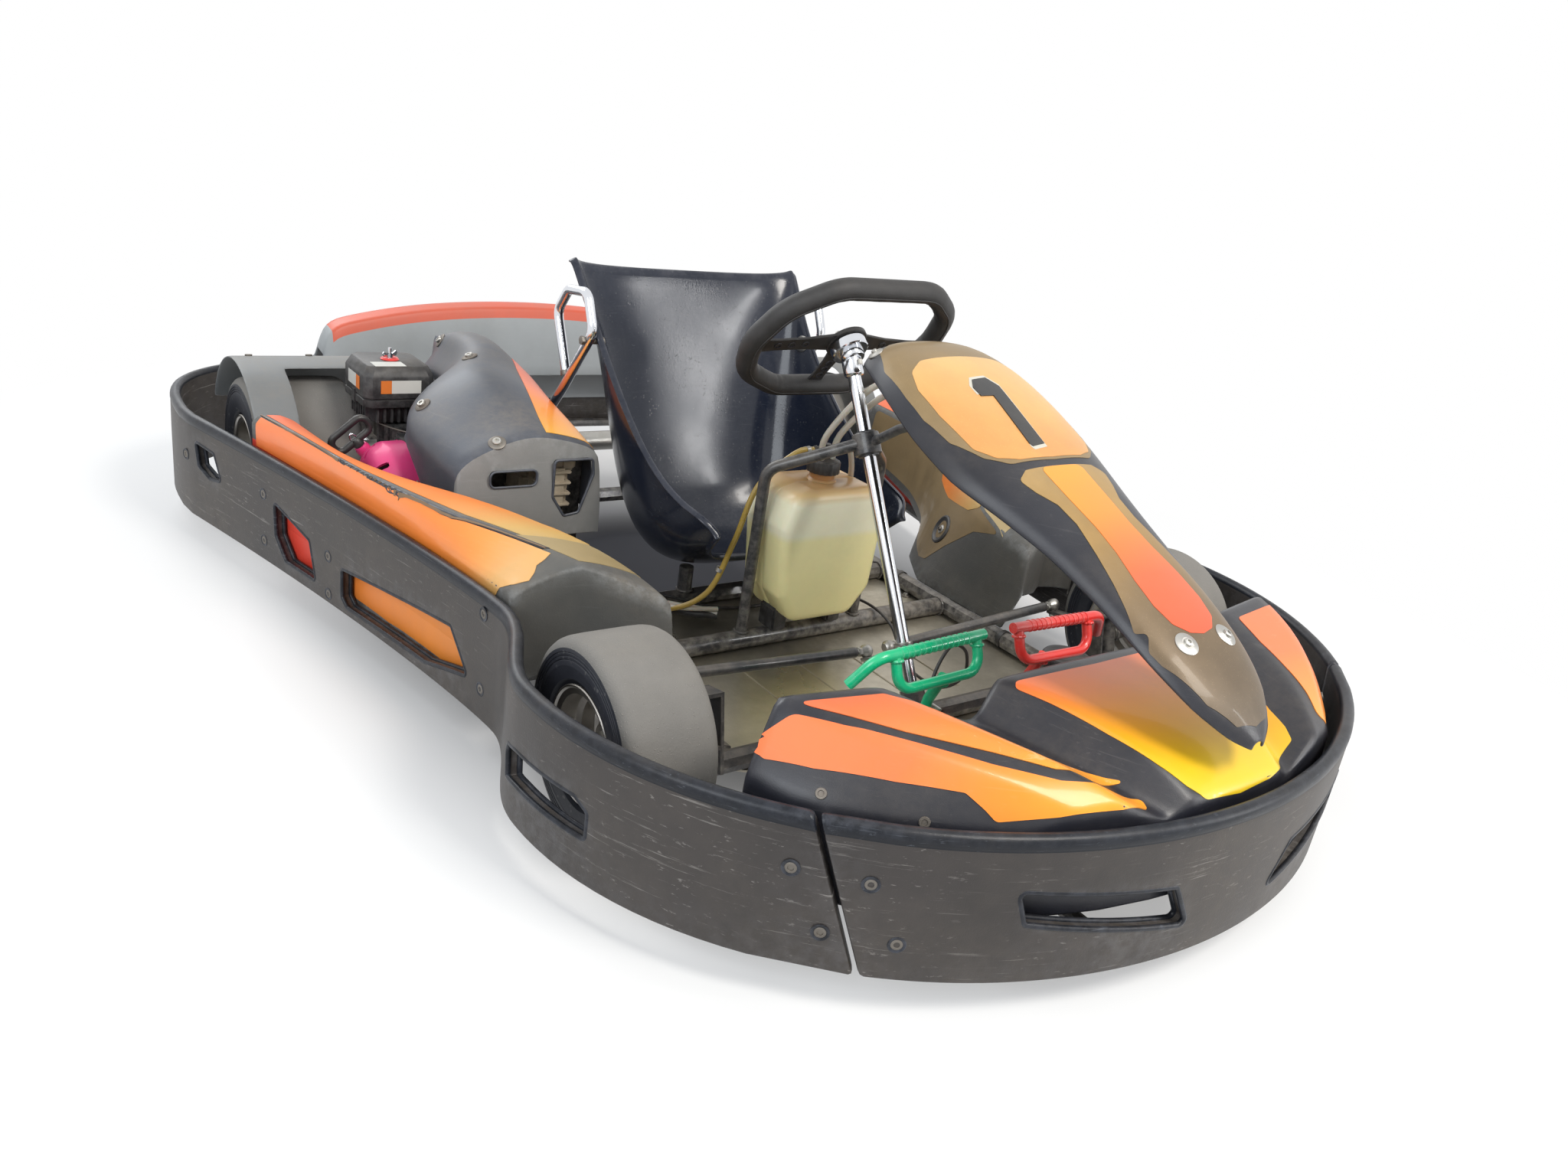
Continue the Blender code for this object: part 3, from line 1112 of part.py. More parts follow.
def tyre_profile(radius, width, rim_width):
    h, w, s = rim_width / 2, width / 2, RIM_SEAT_RADIUS
    bead, f = h - 0.007 - GAP, RIM_FLANGE_RADIUS
    half = [(h * 0.66, s + GAP), (bead, s + GAP), (bead, f + 0.0008), (h - 0.001, f + 0.0045),
            (w, f + 0.022),
            (w - 0.003, radius - 0.015), (w - 0.016, radius)]
    cavity = [(-w + 0.014, f + 0.012), (-w + 0.022, radius - 0.014), (w - 0.022, radius - 0.014),
              (w - 0.014, f + 0.012)]
    return half + [(-x, r) for x, r in half[::-1]] + cavity


def build_wheels():
    front_rim = FRONT_TYRE_WIDTH - 2 * RIM_INSET
    rear_rim = REAR_TYRE_WIDTH - 2 * RIM_INSET
    for side_name, side in SIDES.items():
        centre = pivot("front_" + side_name + "_hub_axis", (FRONT_WHEEL_X * side, 0, FRONT_AXLE_Z), kart)
        name = "front_" + side_name
        bore = STUB_RADIUS + RUNNING_CLEARANCE
        rim = rim_profile(front_rim, -RIM_DISC / 2, bore, FRONT_HUB_HALF)
        turned(name + "_rim", [(x * side, r) for x, r in rim], WHEEL_STEPS, ALUMINIUM, centre)
        tyre = tyre_profile(FRONT_TYRE_RADIUS, FRONT_TYRE_WIDTH, front_rim)
        turned(name + "_tyre", [(x * side, r) for x, r in tyre], WHEEL_STEPS, TYRE, centre)
    centre = pivot("rear_axle_axis", (0, WHEELBASE, REAR_AXLE_Z), kart)
    for side_name, side in SIDES.items():
        name = "rear_" + side_name
        rim = rim_profile(rear_rim, REAR_DISC, AXLE_RADIUS + 0.006, 0)
        tyre = tyre_profile(REAR_TYRE_RADIUS, REAR_TYRE_WIDTH, rear_rim)
        for piece, profile, material in (("rim", rim, ALUMINIUM), ("tyre", tyre, TYRE)):
            shifted = [(REAR_WHEEL_X * side + x * side, r) for x, r in profile]
            turned(name + "_" + piece, shifted, WHEEL_STEPS, material, centre)
    build_rear_axle(centre)


def build_rear_axle(centre):
    a, hub = AXLE_RADIUS, AXLE_HUB_RADIUS
    seat_x = REAR_WHEEL_X + REAR_DISC - GAP
    half = [(BRAKE_X + 0.030, a), (seat_x - 0.050, a), (seat_x - 0.050, a + 0.010),
            (seat_x - 0.010, a + 0.010),
            (seat_x - 0.010, hub), (seat_x, hub), (seat_x, a + 0.005), (seat_x + 0.030, a + 0.005),
            (seat_x + 0.030, 0)]
    carrier = a + 0.012
    right = [(-x, r) for x, r in half]
    profile = right[::-1] + half
    turned("rear_axle", profile, WHEEL_STEPS, BARE_STEEL, centre)
    carrier_profile = [(BRAKE_X - 0.020, a + GAP), (BRAKE_X - 0.020, carrier),
                       (BRAKE_X - BRAKE_THICKNESS / 2, carrier),
                       (BRAKE_X - BRAKE_THICKNESS / 2, BRAKE_RADIUS),
                       (BRAKE_X + BRAKE_THICKNESS / 2, BRAKE_RADIUS),
                       (BRAKE_X + BRAKE_THICKNESS / 2, carrier), (BRAKE_X + 0.008, carrier),
                       (BRAKE_X + 0.008, a + GAP)]
    turned("brake_disc", carrier_profile, WHEEL_STEPS, BARE_STEEL, centre)
    teeth = SPROCKET_RADIUS
    half_chain = CHAIN_WIDTH / 2 - 0.0015
    sprocket = [(CHAIN_X - half_chain, a + GAP), (CHAIN_X - half_chain, teeth - GAP),
                (CHAIN_X + half_chain, teeth - GAP),
                (CHAIN_X + half_chain, carrier), (CHAIN_X + 0.020, carrier), (CHAIN_X + 0.020, a + GAP)]
    turned("axle_sprocket", sprocket, WHEEL_STEPS, BARE_STEEL, centre)


# Brake and pedals

def build_brake():
    x1, x2 = BRAKE_X - 0.022, BRAKE_X + 0.022
    ahead = WHEELBASE - BRAKE_RADIUS
    caliper = block("brake_caliper", (x1, ahead - 0.028, 0.108), (x2, ahead + 0.030, 0.172), ENGINE, kart,
                    0.004)
    slot = block("caliper_slot", (BRAKE_X - BRAKE_THICKNESS / 2 - 0.0015, ahead - 0.012, 0.09),
                 (BRAKE_X + BRAKE_THICKNESS / 2 + 0.0015, ahead + 0.06, 0.19), ENGINE, kart)
    tube_back = WHEELBASE - REAR_TUBE_AHEAD
    leg = block("caliper_leg", (x1 + 0.004, tube_back - 0.012, TUBE_TOP + GAP),
                (x2 - 0.004, ahead - 0.014, 0.125),
                ENGINE, kart)
    weld(caliper, leg)
    cut(caliper, slot)
    x, y = 0.200, -0.078
    cylinder = turned("master_cylinder", rod_profile(-0.055, 0.045, 0.015), 10, ENGINE, kart, "Y",
                      (x, y, TRAY_TOP + GAP + 0.022))
    foot = block("cylinder_foot", (x - 0.016, y - 0.03, TRAY_TOP + GAP),
                 (x + 0.016, y + 0.03, TRAY_TOP + 0.022),
                 ENGINE, kart)
    pot = turned("fluid_pot", [(TRAY_TOP + 0.03, 0), (TRAY_TOP + 0.03, 0.022), (0.110, 0.024),
                               (0.112, 0.033),
                               (0.146, 0.033), (0.148, 0.036), (0.158, 0.036), (0.160, 0.030), (0.160, 0)],
                               14,
                 BLACK, kart, "Z", (x, y, 0))
    weld(cylinder, foot, pot)


def pedal(name, material, side):
    """Foot frame of bent tube on a leg that turns on a short pin."""
    axis = pivot(name + "_axis", (0, -PEDAL_PIVOT_AHEAD, TRAY_TOP + 0.030), kart)
    top, low = PEDAL_HEIGHT, PEDAL_HEIGHT - 0.048
    inner, outer, leg = 0.028, 0.235, 0.095
    bar = [(outer * side, -0.006, top - 0.045), ((outer - 0.025) * side, -0.022, top - 0.006),
           (inner * side, -0.022, top)]
    piece = solid_tube(name, rounded_path(bar, 0.03), PEDAL_TUBE, material, axis)
    hoop_start, hoop_end = (outer - 0.055) * side, (inner + 0.012) * side
    hoop = [(hoop_start, -0.022, top - 0.006), (hoop_start, -0.038, low), (hoop_end, -0.038, low + 0.004),
            (hoop_end, -0.022, top - 0.004)]
    loop = solid_tube(name + "_loop", rounded_path(hoop, 0.022, 3), PEDAL_TUBE * 0.93, material, axis, 1)
    leg_path = [(leg * side, 0, 0), (leg * side, -0.012, 0.08), (leg * side, -0.030, low + 0.002)]
    stem = solid_tube(name + "_stem", rounded_path(leg_path, 0.03), PEDAL_TUBE * 0.97, material, axis)
    boss = turned(name + "_boss", ring_profile(-0.016, 0.016, 0.0045, 0.011), 12, material, axis, "X",
                  (leg * side, 0, 0))
    weld(piece, loop, stem, boss)
    bore = turned(name + "_bore", rod_profile(-0.03, 0.03, 0.0046), 12, material, axis, "X",
                  (leg * side, 0, 0))
    cut(piece, bore)


def build_pedals():
    pedal("throttle_pedal", GREEN, -1)
    pedal("brake_pedal", RED, 1)


def build_tray_brackets():
    """Pedal pins stand on the tray between two ears each, all on one cross plate."""
    low, high = TRAY_TOP + GAP, TRAY_TOP + 0.004
    plate = block("pedal_bracket", (-0.125, -PEDAL_PIVOT_AHEAD - 0.016, low),
                  (0.125, -PEDAL_PIVOT_AHEAD + 0.016, high),
                  STEEL, kart)
    pieces = [block("cable_stop", (CABLE_STOP_X - 0.008, -PEDAL_PIVOT_AHEAD - 0.0155, low),
                    (CABLE_STOP_X + 0.008, -PEDAL_PIVOT_AHEAD - 0.0115, TRAY_TOP + 0.042), STEEL, kart)]
    for side_name, side in SIDES.items():
        for k, offset in (("inner", -0.0205), ("outer", 0.0175)):
            x = PEDAL_PIN_X * side + offset
            pieces.append(block(side_name + "_" + k + "_ear", (x, -PEDAL_PIVOT_AHEAD - 0.010, low),
                                (x + 0.003, -PEDAL_PIVOT_AHEAD + 0.010, TRAY_TOP + 0.040), STEEL, kart))
        pieces.append(turned(side_name + "_pedal_pin", rod_profile(-0.024, 0.024, 0.004), 10, STEEL, kart,
                             "X",
                             (PEDAL_PIN_X * side, -PEDAL_PIVOT_AHEAD, TRAY_TOP + 0.030)))
    weld(plate, *pieces)


# Engine

ENGINE_LOW = TUBE_TOP + GAP


def build_engine():
    back = WHEELBASE - ENGINE_AHEAD
    plate_top = ENGINE_LOW + 0.008
    crankcase = block("engine_block", (-0.480, back - 0.105, plate_top - 0.002),
                      (-0.315, back + 0.085, 0.250),
                      ENGINE, kart, 0.012)
    mount = block("engine_plate", (-0.500, back - 0.12, ENGINE_LOW), (-0.300, back + 0.12, plate_top),
                  STEEL, kart)
    head = block("cylinder", (-0.455, back + 0.060, 0.150), (-0.345, back + 0.175, 0.236), ENGINE, kart,
                 0.006)
    fins = []
    for i in range(5):
        y = back + 0.092 + 0.018 * i
        fins.append(block("fin_%d" % i, (-0.472, y, 0.140), (-0.332, y + 0.006, 0.246), ENGINE, kart))
    post_at = (-0.368, back - 0.040)
    top = lowest_height(cover_rows(), *post_at, 0.008, PANEL_WALL) - GAP
    post = turned("cover_post", rod_profile(0.240, top, 0.008), 8, ENGINE, kart, "Z", (*post_at, 0))
    shaft = turned("crankshaft_boss", [(-0.33, 0), (-0.33, 0.04), (-0.305, 0.034), (-0.305, 0.011),
                                       (-0.2435, 0.011),
                                       (-0.2435, 0)], 16, BARE_STEEL, kart, "X", (0, back, CRANK_Z))
    weld(crankcase, mount, head, shaft, post, *fins)

    inner = -0.480 - GAP
    radius = 0.083
    profile = [(inner, 0.030), (inner, radius), (inner - 0.035, radius - 0.002),
               (inner - 0.056, radius - 0.018),
               (inner - 0.062, 0.050), (inner - 0.062, 0.0), (inner - 0.058, 0.0), (inner - 0.058, 0.048),
               (inner - 0.052, radius - 0.022), (inner - 0.033, radius - 0.006),
               (inner - 0.004, radius - 0.005),
               (inner - 0.004, 0.030)]
    housing = turned("recoil_housing", profile, 20, PINK, kart, "X", (0, back, CRANK_Z))
    at = (-0.520, back + 0.060, CRANK_Z + 0.045)
    lean = (0, math.radians(-STARTER_LEAN), 0)
    boss = turned("rope_boss", rod_profile(-0.030, 0.022, 0.012), 10, PINK, kart, "Z", at, lean)
    bore = turned("rope_bore", rod_profile(-0.050, 0.03, 0.0045), 10, PINK, kart, "Z", at, lean)
    weld(housing, boss)
    cut(housing, bore)
    build_starter_grip(at, lean)
    build_top_of_engine(back)


def build_starter_grip(at, lean):
    axis = pivot("starter_axis", at, kart)
    axis.rotation_euler = lean
    base = 0.022
    outline = rounded_path([(0, 0, base + 0.010), (-0.034, 0, base + 0.010), (-0.034, 0, base + 0.038),
                            (0.034, 0, base + 0.038), (0.034, 0, base + 0.010), (0, 0, base + 0.010)],
                            0.012, 3)
    grip = solid_tube("starter_grip", outline[:-1], 0.006, BLACK, axis, 2, True)
    stem = turned("starter_stem", rod_profile(-0.028, base + 0.012, 0.0035), 8, BLACK, axis, "Z")
    collar = turned("starter_collar", rod_profile(base + 0.0008, base + 0.012, 0.009), 8, BLACK, axis, "Z")
    weld(grip, stem, collar)


def build_top_of_engine(back):
    low, high = 0.246 + GAP, 0.344
    middle = back + 0.164
    outline = [(-0.512, middle - 0.048), (-0.500, middle - 0.060), (-0.405, middle - 0.060),
               (-0.393, middle - 0.048),
               (-0.393, middle + 0.048), (-0.405, middle + 0.060), (-0.500, middle + 0.060),
               (-0.512, middle + 0.048)]
    centre = Vector((-0.4525, middle))

    def ring(z, scale):
        return [(centre.x + (x - centre.x) * scale, centre.y + (y - centre.y) * scale, z) for x,
                y in outline]
    rings = [ring(low, 0.78), ring(low + 0.026, 0.84), ring(low + 0.030, 1.0), ring(high - 0.012, 1.0),
             ring(high, 0.86)]
    box = loft("air_filter_box", rings, BLACK, kart)
    stud = turned("filter_stud", rod_profile(high - 0.004, high + 0.020, 0.004), 8, CHROME, kart, "Z",
                  (centre.x, middle, 0))
    wing = block("filter_wing_nut", (-0.014, -0.004, high + 0.004), (0.014, 0.004, high + 0.013), CHROME,
                 kart, 0.002,
                 (centre.x, middle, 0), (0, 0, math.radians(25)))
    weld(box, stud, wing)
    front = back - 0.105 - GAP
    silencer = [(-0.325, front - 0.060), (-0.310, front - 0.070), (-0.262, front - 0.070),
                (-0.250, front - 0.058),
                (-0.250, front - 0.012), (-0.262, front), (-0.310, front), (-0.325, front - 0.010)]
    muffler = prism("muffler", [(x - 0.030, y) for x, y in silencer], 0.150, 0.262, "Z", RUST, kart)
    pipe = turned("tail_pipe", rod_profile(0.10, 0.152, 0.012), 10, RUST, kart, "Z",
                  (-0.315, front - 0.035, 0))
    weld(muffler, pipe)


def cover_rows():
    rows = []
    for back, outer, inner, shoulder, crown, low_outer, low_inner in COVER_SECTIONS:
        middle = (outer + inner) / 2
        rows.append([
            (inner, back, low_inner), (inner, back, shoulder - 0.010),
            (inner - 0.016, back, shoulder + 0.012),
            (middle + 0.03, back, crown), (middle - 0.02, back, crown), (outer + 0.022, back, shoulder),
            (outer, back, shoulder - 0.028), (outer + 0.002, back, low_outer),
        ])
    return rows


def build_engine_cover():
    rows = cover_rows()
    low = min(z for x, y, z in rows[0])
    front = [(x, y - 0.012, low) for x, y, z in rows[0]]
    cover = panel("engine_cover", [front] + rows, PANEL_WALL, GREY, kart)
    cutters = []
    for key, ((x1, z1), (x2, z2)) in {"slot": COVER_SLOT, "exhaust": COVER_EXHAUST}.items():
        cutters.append(block("cover_" + key, (x1, 0.50, z1), (x2, 0.60, z2), GREY, kart, 0.006))
    cut(cover, *cutters)


def build_drive():
    crank_back = WHEELBASE - ENGINE_AHEAD
    axis = pivot("clutch_axis", (0, crank_back, CRANK_Z), kart)
    half_chain = CHAIN_WIDTH / 2 - 0.0015
    bore, pulley = 0.011 + RUNNING_CLEARANCE, DRUM_SPROCKET_RADIUS - GAP
    back_side = CHAIN_X - half_chain - 0.002
    drum = [(back_side - 0.024, bore), (back_side - 0.024, 0.052), (back_side, 0.052),
            (back_side, bore + 0.004),
            (CHAIN_X - half_chain, bore + 0.004), (CHAIN_X - half_chain, pulley),
            (CHAIN_X + half_chain, pulley),
            (CHAIN_X + half_chain, bore)]
    turned("clutch_drum", drum, 20, BARE_STEEL, axis, "X")
    # The chain as one closed loop: two straight runs tangent to the two sprockets.
    run = Vector((WHEELBASE - crank_back, REAR_AXLE_Z - CRANK_Z))
    big, small = SPROCKET_RADIUS, DRUM_SPROCKET_RADIUS
    tilt = math.atan2(run.y, run.x)
    spread = math.acos((big - small) / run.length)

    def loop(offset):
        points = []
        for centre, radius, start, end, steps in (
                (Vector((WHEELBASE, REAR_AXLE_Z)), big, math.pi - spread, -(math.pi - spread), 16),
                (Vector((crank_back, CRANK_Z)), small, -(math.pi - spread), -(math.pi + spread), 8)):
            for step in range(steps + 1):
                turn = tilt + start + (end - start) * step / steps
                reach = (radius + offset) / math.cos(abs(end - start) / steps / 2)
                points.append(centre + Vector((math.cos(turn), math.sin(turn))) * reach)
        return points
    inner, outer = loop(GAP), loop(GAP + CHAIN_HEIGHT)
    rings = []
    low, high = CHAIN_X - CHAIN_WIDTH / 2, CHAIN_X + CHAIN_WIDTH / 2
    for a, b in zip(inner, outer):
        rings.append([(low, a.x, a.y), (high, a.x, a.y), (high, b.x, b.y), (low, b.x, b.y)])
    loft("drive_chain", rings, BARE_STEEL, kart, closed=True)


# Held cords

def build_cords():
    top = TANK_BOTTOM + TANK_HEIGHT + 0.012 + GAP + 0.036
    back = TANK_FRONT + TANK_DEPTH / 2
    hose = [(-0.0246, back, top), (-0.055, back + 0.004, top - 0.006), (-0.104, back + 0.02, top - 0.060),
            (-0.128, back + 0.030, 0.210), (-0.158, back + 0.042, 0.125), (-0.208, 0.385, 0.086),
            (-0.250, 0.470, 0.083), (-0.268, 0.560, 0.090), (-0.262, 0.640, 0.130), (-0.282, 0.700, 0.190),
            (-0.3125, 0.704, 0.203)]
    tube("fuel_hose", smooth_path(hose, 0.026), 0.0045, HOSE, kart, 1)
    start = -PEDAL_PIVOT_AHEAD - 0.0105
    cable = [(CABLE_STOP_X, start, 0.074), (CABLE_STOP_X, start + 0.010, 0.074),
             (CABLE_STOP_X, -0.068, 0.100), (-0.040, -0.048, 0.150),
             (-0.005, -0.036, 0.186), (0.040, -0.026, 0.165), (0.068, -0.006, 0.110), (0.080, 0.050, 0.064),
             (0.105, 0.150, 0.052), (0.150, 0.240, 0.070), (0.155, 0.310, 0.079), (0.140, 0.370, 0.070),
             (0.070, 0.415, 0.050), (-0.060, 0.425, 0.050), (-0.160, 0.445, 0.076), (-0.215, 0.490, 0.082),
             (-0.250, 0.560, 0.068), (-0.280, 0.650, 0.090), (-0.3120, 0.712, 0.118)]
    tube("throttle_cable", smooth_path(cable, 0.030), 0.0025, BLACK, kart, 1)


def main():
    build_rails()
    build_front_yoke()
    build_cross_tubes()
    build_bars()
    build_tray()
    build_bumper()
    build_pods()
    build_nose()
    build_steering_fairing()
    build_rear_cover()
    build_wheel_arches()
    build_seat()
    build_tank()
    build_column_support()
    build_steering()
    build_tie_rods()
    build_spindles()
    build_wheels()
    build_brake()
    build_pedals()
    build_tray_brackets()
    build_engine()
    build_engine_cover()
    build_drive()
    build_cords()
    bpy.context.view_layer.update()


main()
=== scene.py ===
# Rental kart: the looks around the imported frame.
# Metres, +Z up, nose to -Y. Points are written from the ground under the front axle, as in the part's source.
import json
import math

import bmesh
import bpy
from mathutils import Matrix, Vector
from mathutils.bvhtree import BVHTree
from mathutils.geometry import delaunay_2d_cdt
from mathutils.interpolate import poly_3d_calc
from mathutils.kdtree import KDTree

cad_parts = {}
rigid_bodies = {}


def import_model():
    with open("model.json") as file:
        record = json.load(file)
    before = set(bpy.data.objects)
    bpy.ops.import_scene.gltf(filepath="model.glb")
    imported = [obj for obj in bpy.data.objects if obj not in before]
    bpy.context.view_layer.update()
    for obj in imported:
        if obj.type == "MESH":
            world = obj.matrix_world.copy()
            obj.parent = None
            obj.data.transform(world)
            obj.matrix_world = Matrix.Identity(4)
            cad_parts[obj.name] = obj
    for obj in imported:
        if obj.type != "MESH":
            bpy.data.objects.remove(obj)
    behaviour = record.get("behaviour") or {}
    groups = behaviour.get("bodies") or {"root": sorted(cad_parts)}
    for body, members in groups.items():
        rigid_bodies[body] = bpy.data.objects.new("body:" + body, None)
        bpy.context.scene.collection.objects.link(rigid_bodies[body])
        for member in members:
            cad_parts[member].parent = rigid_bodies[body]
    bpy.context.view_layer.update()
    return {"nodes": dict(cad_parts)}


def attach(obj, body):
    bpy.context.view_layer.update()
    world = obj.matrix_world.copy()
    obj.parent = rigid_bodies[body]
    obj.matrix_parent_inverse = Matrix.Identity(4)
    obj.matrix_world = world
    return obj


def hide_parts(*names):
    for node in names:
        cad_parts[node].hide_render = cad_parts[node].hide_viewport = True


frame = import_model()
toRow = Matrix.Translation((0, -0.4925, 0))       # front axle frame to the row's frame
sides = {"left": 1, "right": -1}
print("frame loaded:", len(frame["nodes"]), "nodes")

# Camera

cameraView = {"place": (-1.11775, -1.02394, 0.82879), "azimuth": -0.682924, "elevation": 0.385184,
              "roll": 0.155280, "lens": 26.696}


def makeCamera(view):
    az, el, roll = view["azimuth"], view["elevation"], view["roll"]
    ahead = Vector((-math.sin(az) * math.cos(el), math.cos(az) * math.cos(el), -math.sin(el)))
    right = ahead.cross(Vector((0, 0, 1))).normalized()
    up = right.cross(ahead)
    across = right * math.cos(roll) + up * math.sin(roll)
    above = up * math.cos(roll) - right * math.sin(roll)
    lens = bpy.data.cameras.new("photoCamera")
    lens.lens, lens.sensor_width = view["lens"], 36.0
    lens.clip_start, lens.clip_end = 0.05, 60
    camera = bpy.data.objects.new("photoCamera", lens)
    bpy.context.scene.collection.objects.link(camera)
    turn = Matrix((across, above, -ahead)).transposed().to_4x4()
    camera.matrix_world = Matrix.Translation(toRow @ Vector(view["place"])) @ turn
    bpy.context.scene.camera = camera


makeCamera(cameraView)


# Shader helpers

# Adds nodes to one tree; inputs that are sockets are linked and others are set.
class Shader:
    def __init__(self, tree):
        self.tree = tree

    def add(self, kind, inputs=None, out=0, **settings):
        node = self.tree.nodes.new(kind)
        for key, value in settings.items():
            setattr(node, key, value)
        for key, value in (inputs or {}).items():
            socket = node.inputs[key]
            if isinstance(value, bpy.types.NodeSocket):
                self.tree.links.new(value, socket)
            else:
                socket.default_value = value
        return node if out is None else node.outputs[out]

    def math(self, operation, a, b=0.0, c=0.0, clamp=False):
        return self.add("ShaderNodeMath", {0: a, 1: b, 2: c}, operation=operation, use_clamp=clamp)

    def mix(self, share, a, b):
        return self.add("ShaderNodeMix", {0: share, 6: a, 7: b}, 2, data_type="RGBA")

    def between(self, value, low, high, toLow=0.0, toHigh=1.0):
        return self.add("ShaderNodeMapRange", {0: value, 1: low, 2: high, 3: toLow, 4: toHigh}, clamp=True)

    def noise(self, vector, scale, detail=3.0, roughness=0.5, stretch=None):
        if stretch:
            vector = self.add("ShaderNodeMapping", {0: vector, 3: stretch})
        return self.add("ShaderNodeTexNoise", {"Vector": vector, "Scale": scale, "Detail": detail,
                                               "Roughness": roughness})

    def ramp(self, value, stops):
        node = self.add("ShaderNodeValToRGB", {0: value}, None)
        band = node.color_ramp
        for element, (at, colour) in zip(band.elements, (stops[0], stops[-1])):
            element.position, element.color = at, (*colour, 1.0)
        for at, colour in stops[1:-1]:
            band.elements.new(at).color = (*colour, 1.0)
        return node.outputs[0]

    def coordinates(self):
        return self.add("ShaderNodeTexCoord", out=3)


def colour(*parts):
    return (*parts, 1.0)


# A node group: inputs and outputs are {name: (socket type, default)}.
def shaderGroup(name, inputs, outputs, build):
    tree = bpy.data.node_groups.new(name, "ShaderNodeTree")
    for key, (kind, value) in inputs.items():
        socket = tree.interface.new_socket(name=key, in_out="INPUT", socket_type=kind)
        if value is not None:
            socket.default_value = value
    for key, kind in outputs.items():
        tree.interface.new_socket(name=key, in_out="OUTPUT", socket_type=kind)
    shader = Shader(tree)
    entry = tree.nodes.new("NodeGroupInput")
    leave = tree.nodes.new("NodeGroupOutput")
    made = build(shader, {socket.name: socket for socket in entry.outputs if socket.name})
    for key, value in made.items():
        tree.links.new(value, leave.inputs[key])
    return tree


number, tint, vector = "NodeSocketFloat", "NodeSocketColor", "NodeSocketVector"


# Dust in patches, and more of it on faces that look up.
def buildGrime(s, i):
    place = s.coordinates()
    up = s.add("ShaderNodeSeparateXYZ", {0: s.add("ShaderNodeNewGeometry", out=1)}, 2)
    broad = s.noise(place, i["Scale"], 5.0, 0.62)
    fine = s.noise(place, s.math("MULTIPLY", i["Scale"], 14.0), 3.0, 0.7)
    lying = s.math("MULTIPLY_ADD", s.between(up, 0.2, 0.95), i["Upward"], 0.35)
    patch = s.math("MULTIPLY", s.between(broad, 0.38, 0.72), s.between(fine, 0.30, 0.62, 0.35, 1.0))
    mask = s.math("MULTIPLY", s.math("MULTIPLY", patch, lying), i["Amount"], clamp=True)
    return {"Color": s.mix(mask, i["Color"], i["Dust"]), "Mask": mask}


grime = shaderGroup("grime", {"Color": (tint, colour(0.1, 0.1, 0.1)), "Dust": (tint, colour(0.30, 0.26, 0.20)),
                              "Amount": (number, 0.5), "Scale": (number, 6.0), "Upward": (number, 0.8)},
                    {"Color": tint, "Mask": number}, buildGrime)


# Long thin scratches along the kart and short scuffs across it.
def buildScratches(s, i):
    place = s.coordinates()
    long = s.noise(place, i["Scale"], 6.0, 0.72, (1.0, 1.0, 26.0))
    short = s.noise(place, s.math("MULTIPLY", i["Scale"], 2.3), 4.0, 0.7, (3.0, 3.0, 11.0))
    where = s.noise(place, 5.0, 4.0, 0.6)
    lines = s.math("MAXIMUM", s.between(long, 0.600, 0.655), s.math("MULTIPLY", s.between(short, 0.62, 0.68), 0.8))
    mask = s.math("MULTIPLY", s.math("MULTIPLY", lines, s.between(where, 0.36, 0.64)), i["Amount"], clamp=True)
    return {"Mask": mask}


scratches = shaderGroup("scratches", {"Scale": (number, 12.0), "Amount": (number, 1.0)}, {"Mask": number},
                        buildScratches)


# Convex edges, broken up by noise.
def buildEdgeWear(s, i):
    edge = s.between(s.add("ShaderNodeNewGeometry", out=7), 0.515, 0.60)
    broken = s.between(s.noise(s.coordinates(), i["Scale"], 4.0, 0.65), 0.40, 0.62)
    return {"Mask": s.math("MULTIPLY", s.math("MULTIPLY", edge, broken), i["Amount"], clamp=True)}


edgeWear = shaderGroup("edgeWear", {"Scale": (number, 60.0), "Amount": (number, 1.0)}, {"Mask": number},
                       buildEdgeWear)


# Fine moulded grain, as a height.
def buildGrain(s, i):
    place = s.coordinates()
    fine = s.noise(place, i["Scale"], 2.0, 0.6)
    coarse = s.noise(place, s.math("MULTIPLY", i["Scale"], 0.12), 3.0, 0.5)
    return {"Height": s.math("MULTIPLY_ADD", fine, 0.6, s.math("MULTIPLY", coarse, 0.4))}


grain = shaderGroup("grain", {"Scale": (number, 900.0)}, {"Height": number}, buildGrain)


# Small stones and crumbs pressed into a surface.
def buildSpeckle(s, i):
    place = s.coordinates()
    cells = s.add("ShaderNodeTexVoronoi", {"Vector": place, "Scale": i["Scale"]}, 0, feature="F1")
    spots = s.between(cells, 0.16, 0.30, 1.0, 0.0)
    chosen = s.between(s.noise(place, s.math("MULTIPLY", i["Scale"], 0.35), 2.0), 0.52, 0.60)
    return {"Mask": s.math("MULTIPLY", spots, chosen)}


speckle = shaderGroup("speckle", {"Scale": (number, 260.0)}, {"Mask": number}, buildSpeckle)


materials = {}


